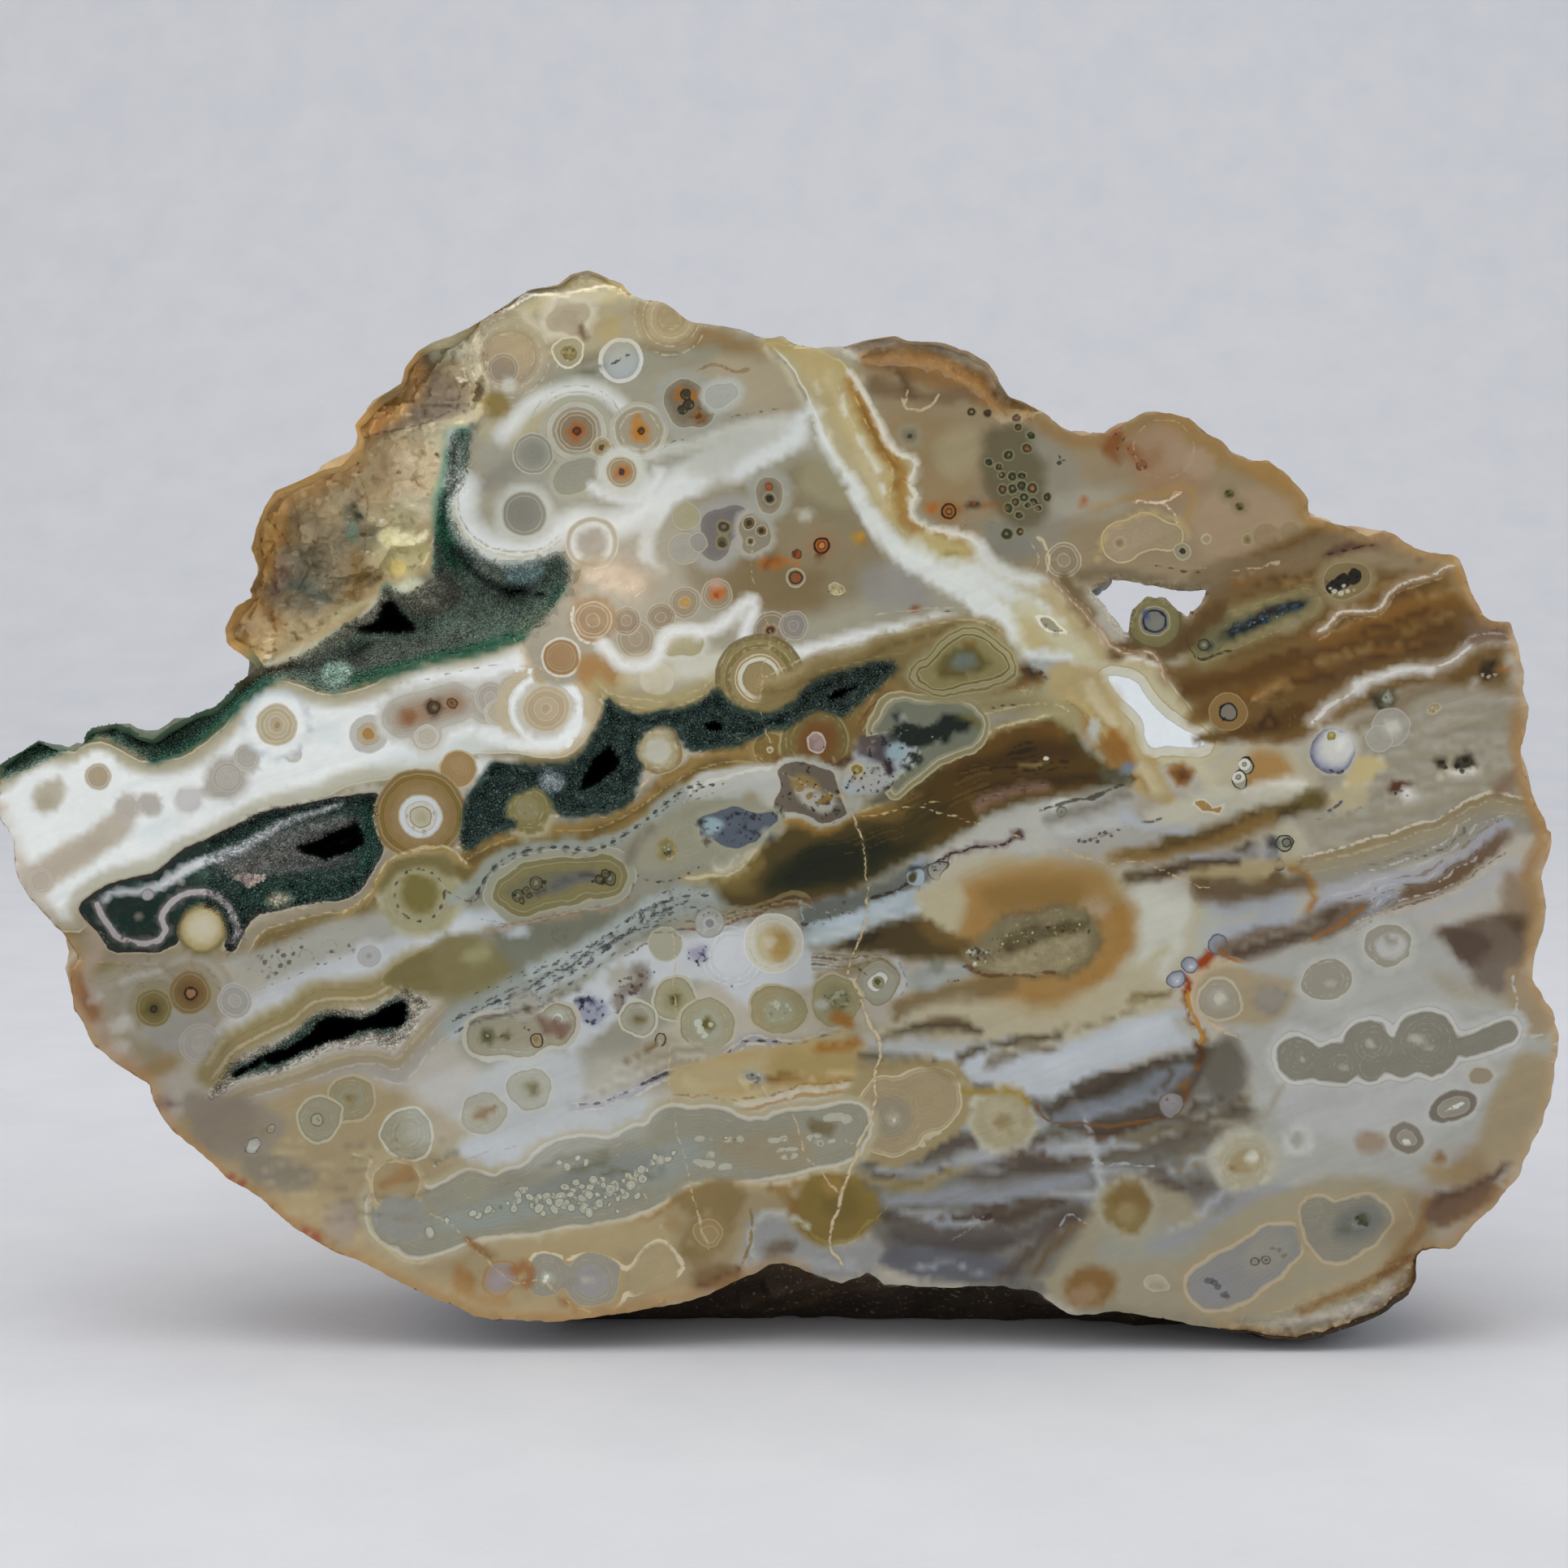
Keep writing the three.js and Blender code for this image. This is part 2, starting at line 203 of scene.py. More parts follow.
def poly(pts, times=1):
    p = chaikin(pts, times) if times else np.asarray(pts, float)
    q = np.roll(p, -1, 0)

    def f(P):
        X, Y = P[:, 0], P[:, 1]
        best = np.full(len(P), 1e12)
        odd = np.zeros(len(P), bool)
        for (ax, ay), (bx, by) in zip(p, q):
            ex, ey = bx - ax, by - ay
            L2 = ex * ex + ey * ey
            if L2 < 1e-9:
                continue
            dx, dy = X - ax, Y - ay
            t = np.clip((dx * ex + dy * ey) / L2, 0, 1)
            best = np.minimum(best, (dx - t * ex) ** 2 + (dy - t * ey) ** 2)
            if ey != 0:
                cross = ((ay > Y) != (by > Y)) & (X < ex * (Y - ay) / ey + ax)
                odd ^= cross
        d = np.sqrt(best)
        return np.where(odd, d, -d)

    return Shape(f, (p[:, 0].min(), p[:, 1].min(), p[:, 0].max(), p[:, 1].max()))


def path(pts, w, times=2, closed=False):
    """A stroke; w is its half width, one number or one for each point."""
    p = np.asarray(pts, float)
    ww = np.broadcast_to(np.asarray(w, float), (len(p),))
    full = np.column_stack([p, ww])
    for _ in range(times):
        q = np.roll(full, -1, 0) if closed else full[1:]
        a = full if closed else full[:-1]
        out = np.empty((2 * len(a), 3))
        out[0::2] = 0.75 * a + 0.25 * q
        out[1::2] = 0.25 * a + 0.75 * q
        full = out if closed else np.vstack([full[:1], out, full[-1:]])
    a, b = full, np.roll(full, -1, 0)
    if not closed:
        a, b = full[:-1], full[1:]
    m = full[:, 2].max()

    def f(P):
        X, Y = P[:, 0], P[:, 1]
        best = np.full(len(P), -1e9)
        for (ax, ay, aw), (bx, by, bw) in zip(a, b):
            ex, ey = bx - ax, by - ay
            L2 = ex * ex + ey * ey
            if L2 < 1e-9:
                continue
            dx, dy = X - ax, Y - ay
            t = np.clip((dx * ex + dy * ey) / L2, 0, 1)
            best = np.maximum(best, aw + (bw - aw) * t - np.hypot(dx - t * ex, dy - t * ey))
        return best

    return Shape(f, (full[:, 0].min() - m, full[:, 1].min() - m, full[:, 0].max() + m, full[:, 1].max() + m))


def union(*shapes, k=6.0):
    def f(P):
        d = shapes[0].f(P)
        for s in shapes[1:]:
            e = s.f(P)
            h = np.clip(0.5 + 0.5 * (e - d) / k, 0, 1)
            d = mix(d, e, h) + k * h * (1 - h)
        return d

    b = np.array([s.box for s in shapes])
    return Shape(f, (b[:, 0].min() - k, b[:, 1].min() - k, b[:, 2].max() + k, b[:, 3].max() + k))


def cut(a, b):
    """a without b."""
    return Shape(lambda P: np.minimum(a.f(P), -b.f(P)), a.box)


def both(a, b):
    return Shape(lambda P: np.minimum(a.f(P), b.f(P)), a.box)


def grow(s, g):
    x0, y0, x1, y1 = s.box
    return Shape(lambda P: s.f(P) + g, (x0 - g, y0 - g, x1 + g, y1 + g))


def band(s, lo, hi):
    """The strip lo..hi inside the edge of s; negative numbers lie outside it."""
    x0, y0, x1, y1 = s.box
    g = max(0, -lo)

    def f(P):
        d = s.f(P)
        return np.minimum(d - lo, hi - d)

    return Shape(f, (x0 - g, y0 - g, x1 + g, y1 + g))


# =====================================================================================
#  Paint: layers in painter's order
# =====================================================================================
GAIN = 1.105  # the light in the room takes about a tenth
PAL = {}
LAYERS = []
STREAKS = []


def col(c):
    if isinstance(c, str):
        c = PAL[c]
    return np.clip(np.asarray(c, float) / 255.0 * GAIN, 0, 1)


def fill(shape, c, soft=0.8, a=1.0, line=None, w=0.0, wob=1, fine=None):
    """One coloured area. soft is half the width of its edge in survey units: under 1.5 it is crisp."""
    LAYERS.append(
        dict(s=shape, c=col(c), soft=soft, a=a, l=col(line) if line is not None else col(c), w=w if line is not None else 0.0, wob=wob, fine=fine)
    )


def rim(shape, lo, hi, c, soft=0.8, a=1.0, wob=1):
    fill(band(shape, lo, hi), c, soft, a, wob=wob)


def stroke(pts, w, c, soft=6.0, a=1.0, wob=2, times=2):
    fill(path(pts, w, times), c, soft, a, wob=wob)


def streak(shape, c, amp, soft=20.0, wob=2):
    STREAKS.append(dict(s=shape, c=col(c), amp=amp, soft=soft, wob=wob))


def warps(P):
    """The same points, bent a little, so that no edge is drawn with a ruler."""
    X, Y = P[:, 0], P[:, 1]
    w1 = P + np.column_stack([
        1.1 * noise2(X / 26, Y / 26, 3) + 0.6 * noise2(X / 9, Y / 9, 5),
        1.1 * noise2(X / 26, Y / 26, 4) + 0.6 * noise2(X / 9, Y / 9, 6),
    ])
    w2 = P + np.column_stack([
        4.2 * noise2(X / 55, Y / 40, 7) + 2.4 * noise2(X / 19, Y / 15, 9) + 1.0 * noise2(X / 7, Y / 7, 21),
        4.2 * noise2(X / 55, Y / 40, 8) + 2.4 * noise2(X / 19, Y / 15, 10) + 1.0 * noise2(X / 7, Y / 7, 22),
    ])
    w3 = P + np.column_stack([
        11.0 * noise2(X / 110, Y / 60, 12) + 6.0 * noise2(X / 42, Y / 22, 13) + 2.2 * noise2(X / 13, Y / 9, 23),
        9.0 * noise2(X / 110, Y / 60, 14) + 6.0 * noise2(X / 42, Y / 22, 15) + 2.2 * noise2(X / 13, Y / 9, 24),
    ])
    return [P, w1, w2, w3]


def _near(box, X, Y, m):
    return np.flatnonzero((X > box[0] - m) & (X < box[2] + m) & (Y > box[1] - m) & (Y < box[3] + m))


def picture(P):
    """Plain evaluation at points, for a look at the drawing alone."""
    W = warps(P)
    X, Y = P[:, 0], P[:, 1]
    C = np.tile(col("base"), (len(P), 1))
    for L in LAYERS:
        i = _near(L["s"].box, X, Y, L["soft"] + 14)
        if not len(i):
            continue
        d = L["s"].f(W[L["wob"]][i])
        m = smooth(-L["soft"], L["soft"], d) * L["a"]
        t = smooth(L["w"] - 0.8, L["w"] + 0.8, d)[:, None] if L["w"] else 1.0
        c = L["l"] + (L["c"] - L["l"]) * t
        C[i] += (c - C[i]) * m[:, None]
    return C


def feature_distance(P, limit=14.0):
    """Distance to the nearest crisp edge or line in the drawing."""
    W = warps(P)
    X, Y = P[:, 0], P[:, 1]
    best = np.full(len(P), limit)
    for L in LAYERS:
        if L["soft"] > 1.5:
            continue
        i = _near(L["s"].box, X, Y, limit)
        if not len(i):
            continue
        d = L["s"].f(W[L["wob"]][i])
        e = np.maximum(np.maximum(-d, d - L["w"]), 0.0)
        best[i] = np.minimum(best[i], e)
    return best


def paint(P, F):
    """Colours for the corners of every triangle, with up to two edges that the material draws sharply.
    Returns five colour sets and two sets of (distance, line width, strength)."""
    W = warps(P)
    PX, PY = P[:, 0], P[:, 1]
    cx, cy = PX[F].mean(1), PY[F].mean(1)
    n, m = len(P), len(F)
    crisp_edge = 0.8
    # pass 1, top to bottom: which edges does each triangle show
    key = np.full((m, 2), 9.0)
    sel = np.full((m, 2), -1)
    hidden = np.zeros(m, bool)
    D = np.full(n, -1e9)
    cache = {}
    for idx in range(len(LAYERS) - 1, -1, -1):
        L = LAYERS[idx]
        f = _near(L["s"].box, cx, cy, L["soft"] + 14)
        if not len(f):
            continue
        v = np.unique(F[f])
        d = L["s"].f(W[L["wob"]][v])
        cache[idx] = (f, v, d.astype(np.float32))
        D[v] = d
        dc = D[F[f]]
        if L["soft"] <= 1.5:
            lo, hi = dc.min(1), dc.max(1)
            k = np.maximum(np.maximum(-hi, lo - L["w"]), 0.0)
            ok = (k < 7.0) & ~hidden[f]
            ff, kk = f[ok], k[ok] + (1.0 - min(L["a"], 1.0)) * 2.0
            a = kk < key[ff, 0]
            fa = ff[a]
            key[fa, 1], sel[fa, 1] = key[fa, 0], sel[fa, 0]
            key[fa, 0], sel[fa, 0] = kk[a], idx
            b = ~a & (kk < key[ff, 1])
            key[ff[b], 1], sel[ff[b], 1] = kk[b], idx
        if L["a"] > 0.97:
            hidden[f[dc.min(1) > max(L["soft"], L["w"] * 0) + 0.5]] = True
    first, second = sel.min(1), sel.max(1)  # first lies below second; -1 is none
    first = np.where(sel.min(1) < 0, sel.max(1), sel.min(1))
    second = np.where(sel.min(1) < 0, -1, sel.max(1))
    # pass 2, bottom to top
    base = col("base")
    C = np.tile(base, (5, m, 3, 1)).astype(np.float32)
    V = np.zeros((2, m, 3, 3), np.float32)
    V[..., 0] = -50.0
    G = np.zeros((m, 3, 3), np.float32)
    for idx, L in enumerate(LAYERS):
        if idx not in cache:
            continue
        f, v, d = cache[idx]
        D[v] = d
        dc = D[F[f]]
        mm = (smooth(-L["soft"], L["soft"], dc) * L["a"])[..., None]
        t = smooth(L["w"] - 0.8, L["w"] + 0.8, dc)[..., None] if L["w"] else 1.0
        c = L["l"] + (L["c"] - L["l"]) * t
        s1, s2 = first[f] == idx, second[f] == idx
        plain = ~(s1 | s2)
        g = f[plain]
        for q in range(5):
            C[q, g] += (c[plain] - C[q, g]) * mm[plain] if np.ndim(c) > 1 else (c - C[q, g]) * mm[plain]
        g = f[s1]
        if len(g):
            C[1, g], C[2, g] = L["l"], L["c"]
            V[0, g, :, 0], V[0, g, :, 1], V[0, g, :, 2] = dc[s1], L["w"], L["a"]
        g = f[s2]
        if len(g):
            C[3, g], C[4, g] = L["l"], L["c"]
            V[1, g, :, 0], V[1, g, :, 1], V[1, g, :, 2] = dc[s2], L["w"], L["a"]
        if L["fine"] is not None:
            inn = dc.mean(1) > 0
            g = f[inn]
            G[g, :, 0] = dc[inn] / L["fine"][0]
            G[g, :, 1] = L["fine"][1]
        elif L["a"] > 0.9 and L["soft"] <= 1.5:
            g = f[dc.mean(1) > 0]
            G[g, :, 1] = 0.0
    return C, V, G


def streaks(P):
    """Streak colour and strength at points."""
    W = warps(P)
    X, Y = P[:, 0], P[:, 1]
    C = np.tile(col("streak"), (len(P), 1))
    A = np.full(len(P), 0.10)
    for L in STREAKS:
        i = _near(L["s"].box, X, Y, L["soft"] + 14)
        if not len(i):
            continue
        d = L["s"].f(W[L["wob"]][i])
        m = smooth(-L["soft"], L["soft"], d)
        C[i] += (L["c"] - C[i]) * m[:, None]
        A[i] += (L["amp"] - A[i]) * m
    return C, A
# =====================================================================================
#  The cut face, surveyed on a square drawing of 1932 units (x right, y down)
# =====================================================================================
OUTLINE = [
    (0, 943), (22, 929), (48, 913), (68, 924), (90, 925), (103, 916), (105, 905), (114, 898), (143, 892), (163, 899), (171, 908), (189, 911),
    (212, 894), (239, 880), (265, 872), (282, 856), (298, 838), (320, 825), (316, 821), (300, 807), (280, 794), (278, 774),
    (290, 748), (306, 738), (316, 737), (308, 728), (320, 701), (310, 676), (316, 652), (326, 625), (339, 605), (366, 594),
    (396, 580), (422, 574), (439, 555), (441, 542), (438, 524), (452, 506), (469, 489), (495, 472), (499, 453), (515, 433),
    (532, 423), (558, 414), (582, 403), (601, 390), (625, 376), (641, 363), (658, 355), (688, 351), (704, 338), (724, 333),
    (744, 340), (753, 345), (766, 350), (776, 363), (792, 370), (812, 371), (829, 380), (849, 395), (869, 400), (892, 401),
    (922, 409), (938, 416), (965, 414), (978, 424), (1008, 429), (1038, 428), (1068, 419), (1103, 414), (1120, 420),
    (1160, 422), (1193, 433), (1216, 445), (1228, 463), (1243, 489), (1262, 496), (1289, 511), (1312, 529), (1332, 538),
    (1345, 533), (1365, 535), (1392, 518), (1408, 509), (1428, 507), (1465, 515), (1485, 533), (1508, 544), (1518, 559),
    (1538, 567), (1564, 568), (1584, 582), (1601, 602), (1611, 616), (1612, 638), (1631, 642), (1654, 648), (1687, 661),
    (1704, 655), (1717, 657), (1730, 669), (1760, 681), (1790, 683), (1798, 688), (1807, 713), (1815, 736), (1827, 756),
    (1837, 765), (1861, 766), (1866, 782), (1871, 799), (1878, 829), (1876, 848), (1883, 872), (1880, 902), (1874, 921),
    (1876, 948), (1886, 971), (1893, 991), (1903, 1008), (1908, 1031), (1903, 1057), (1900, 1080), (1904, 1110),
    (1904, 1133), (1898, 1153), (1890, 1183), (1889, 1206), (1900, 1228), (1913, 1246), (1920, 1272), (1921, 1289),
    (1916, 1312), (1911, 1355), (1903, 1369), (1900, 1385), (1886, 1412), (1876, 1435), (1870, 1451), (1846, 1478),
    (1840, 1488), (1817, 1508), (1797, 1531), (1787, 1539), (1764, 1538), (1747, 1543), (1744, 1561), (1745, 1577),
    (1737, 1591), (1714, 1607), (1697, 1621), (1664, 1635), (1631, 1646), (1598, 1651), (1565, 1649), (1545, 1643),
    (1518, 1640), (1485, 1635), (1452, 1628), (1406, 1620), (1376, 1615), (1346, 1620), (1316, 1620), (1303, 1612),
    (1283, 1593), (1260, 1588), (1233, 1585), (1192, 1585), (1155, 1586), (1089, 1583), (1079, 1573), (1069, 1568),
    (1059, 1574), (1036, 1581), (1012, 1573), (996, 1568), (983, 1562), (966, 1557), (949, 1558), (930, 1569),
    (903, 1580), (873, 1595), (848, 1603), (805, 1611), (765, 1618), (732, 1624), (699, 1627), (672, 1628), (639, 1627),
    (599, 1625), (583, 1621), (559, 1608), (539, 1601), (506, 1586), (466, 1566), (440, 1553), (412, 1542), (385, 1527),
    (352, 1505), (319, 1474), (299, 1462), (279, 1452), (259, 1432), (236, 1412), (216, 1396), (203, 1381), (189, 1356),
    (183, 1336), (156, 1318), (133, 1301), (113, 1286), (103, 1261), (91, 1243), (88, 1220), (87, 1195), (96, 1181),
    (88, 1165), (73, 1145), (56, 1127), (40, 1110), (25, 1088), (18, 1065), (17, 1035), (10, 1021), (0, 1012),
]
THROUGH = [
    (1344, 728), (1369, 715), (1385, 715), (1418, 722), (1452, 728), (1486, 727), (1481, 742), (1462, 760), (1452, 752),
    (1435, 737), (1412, 735), (1395, 752), (1390, 781), (1385, 778), (1362, 748),
]
# the broken shoulder, its green hollow and the edge of the polished mass beside it
SHOULDER = [
    (596, 330), (592, 405), (600, 452), (607, 482), (600, 505), (585, 528), (578, 545), (580, 565), (572, 600),
    (557, 618), (560, 642), (575, 665), (592, 682), (621, 699), (645, 691), (666, 688), (691, 679), (706, 700),
    (700, 722), (684, 746), (671, 774), (631, 784), (572, 804), (538, 808), (505, 816), (465, 832), (440, 843),
    (418, 856), (392, 851), (370, 839), (352, 836), (330, 840), (318, 846), (298, 858), (285, 872), (262, 902), (240, 920),
    (215, 936), (190, 940), (160, 925), (140, 908), (110, 912), (80, 922), (0, 965), (-60, 960), (-60, 700), (300, 300),
]
TAN_CHUNK = [
    (596, 330), (592, 405), (600, 452), (607, 482), (600, 505), (585, 520), (566, 526), (552, 534), (548, 560), (545, 590),
    (541, 620), (537, 650), (532, 690), (527, 716), (508, 728), (488, 722), (470, 716), (466, 738), (452, 756),
    (424, 770), (400, 784), (376, 799), (350, 813), (329, 821), (300, 830), (260, 800), (250, 500), (420, 330),
]
TIP = [(601, 390), (625, 378), (641, 366), (660, 362), (690, 366), (720, 358), (746, 352), (765, 362), (790, 366), (790, 320), (640, 330), (590, 380)]
BROW = [
    (1030, 380), (1042, 436), (1060, 446), (1085, 452), (1110, 448), (1140, 452), (1170, 462), (1196, 482), (1215, 500),
    (1235, 524), (1262, 520), (1290, 500), (1260, 380),
]
FLAKE = [(1760, 1532), (1735, 1545), (1690, 1575), (1640, 1596), (1582, 1628), (1520, 1630), (1480, 1640), (1480, 1700), (1800, 1700), (1830, 1560)]
RECESS = [
    (1183, 1177), (1203, 1168), (1223, 1163), (1236, 1148), (1243, 1125), (1262, 1116), (1302, 1115), (1330, 1126),
    (1345, 1142), (1347, 1165), (1334, 1186), (1299, 1203), (1259, 1205), (1223, 1201), (1193, 1190),
]
SLOT = [
    (285, 1323), (299, 1313), (335, 1296), (372, 1280), (392, 1256), (415, 1250), (455, 1253), (491, 1233), (504, 1236),
    (504, 1256), (491, 1266), (445, 1271), (405, 1286), (358, 1306), (319, 1314), (292, 1328),
]
SLOT_RIM = [
    (252, 1349), (268, 1328), (285, 1305), (335, 1283), (360, 1270), (385, 1246), (418, 1243), (458, 1246), (488, 1226),
    (503, 1211), (512, 1222), (526, 1228), (534, 1238), (516, 1258), (500, 1280), (484, 1296), (465, 1286), (440, 1288), (418, 1290),
    (385, 1305), (345, 1320), (305, 1328), (275, 1345), (256, 1352),
]
LENS_A = [
    (94, 1117), (116, 1100), (143, 1086), (170, 1080), (192, 1075), (219, 1050), (252, 1034), (286, 1018), (325, 998),
    (365, 992), (405, 984), (436, 979), (470, 975), (466, 999), (467, 1025), (476, 1045), (466, 1062), (455, 1080),
    (446, 1097), (425, 1109), (391, 1111), (372, 1116), (352, 1122), (330, 1124), (318, 1127), (305, 1140), (298, 1152),
    (289, 1174), (276, 1170), (278, 1150), (274, 1132), (260, 1122), (246, 1120), (230, 1126), (222, 1142), (222, 1160),
    (208, 1168), (192, 1176), (166, 1173), (136, 1174), (123, 1151), (106, 1135),
]
HOLE_A = [(362, 1042), (376, 1036), (391, 1030), (418, 1019), (444, 1008), (448, 1022), (451, 1040), (440, 1047), (431, 1055), (415, 1058), (398, 1064), (380, 1058), (368, 1052)]
LENS_B = [
    (606, 939), (632, 943), (665, 947), (703, 943), (722, 926), (732, 908), (742, 889), (747, 858), (762, 874), (785, 882),
    (812, 882), (838, 876), (861, 869), (881, 850), (896, 866), (917, 880), (940, 887), (975, 874), (992, 848), (1012, 838),
    (1032, 829), (1058, 820), (1085, 815), (1103, 822), (1090, 838), (1072, 852), (1058, 866), (1046, 886), (1030, 878), (1008, 874),
    (985, 884), (968, 898), (950, 898), (930, 908), (905, 916), (878, 922), (850, 922), (842, 905), (828, 895), (812, 892),
    (795, 898), (784, 912), (782, 928), (790, 946), (784, 962), (772, 985), (752, 996), (735, 1000), (718, 1005), (688, 1002),
    (682, 985), (668, 972), (650, 970), (632, 978), (624, 995), (622, 1008), (640, 1014), (619, 1022), (596, 1032), (576, 1048),
    (566, 1040), (569, 1012), (574, 985), (592, 960), (600, 950),
]
HOLE_B = [(713, 967), (718, 950), (730, 938), (742, 926), (757, 911), (760, 930), (762, 948), (748, 954), (738, 966), (728, 970), (717, 979)]
HOLE_C = [(1016, 859), (1028, 850), (1038, 846), (1055, 840), (1048, 850), (1034, 858), (1024, 862)]
HOLE_D = [(864, 893), (872, 888), (886, 887), (893, 893), (886, 900), (872, 901)]
CAVE = [(419, 774), (440, 768), (461, 762), (469, 741), (486, 731), (497, 752), (517, 770), (513, 782), (486, 786), (454, 783), (433, 777)]
PIT_1 = [(616, 722), (630, 726), (646, 724), (653, 731), (640, 735), (624, 731)]
PIT_2 = [(657, 727), (668, 726), (676, 730), (674, 738), (661, 737)]
HOLLOW = [
    (552, 532), (566, 526), (585, 524), (578, 545), (580, 565), (572, 600), (557, 618), (560, 642), (575, 665), (592, 682),
    (621, 699), (645, 691), (666, 688), (691, 679), (706, 700), (700, 722), (684, 746), (671, 774), (631, 784), (572, 804),
    (538, 808), (505, 816), (465, 832), (440, 843), (418, 856), (392, 851), (370, 839), (352, 836), (330, 840), (318, 846),
    (298, 858), (285, 872), (262, 902), (240, 920), (215, 936), (190, 940), (160, 925), (140, 908), (110, 912), (60, 935), (0, 965),
    (-60, 960), (-60, 800), (250, 790), (329, 821), (350, 813), (376, 799), (400, 784), (424, 770), (452, 756), (466, 738), (470, 716),
    (488, 722), (508, 728), (527, 716), (532, 690), (537, 650), (541, 620), (545, 590), (548, 560),
]

# =====================================================================================
#  Relief: how deep each point of the front lies behind the plane of the cut, in mm
# =====================================================================================
_SH = {n: poly(p, 1) for n, p in dict(
    shoulder=SHOULDER, tan=TAN_CHUNK, tip=TIP, brow=BROW, flake=FLAKE, recess=RECESS, slot=SLOT, slot_rim=SLOT_RIM,
    lens_a=LENS_A, hole_a=HOLE_A, lens_b=LENS_B, hole_b=HOLE_B, hole_c=HOLE_C, hole_d=HOLE_D, cave=CAVE,
    pit1=PIT_1, pit2=PIT_2, hollow=HOLLOW, through=THROUGH).items()}


def facets(X, Y, size, seed, tilt=1.0):
    """Small tilted planes, as on a fresh break. About -1 to 1."""
    f1, f2, ci, cj, dx, dy = cells2(X / size, Y / size, seed)
    a = hash3(ci, cj, 7, seed) * tilt
    b = hash3(ci, cj, 8, seed) * tilt
    c = hash3(ci, cj, 9, seed)
    return a * dx + b * dy + 0.45 * c


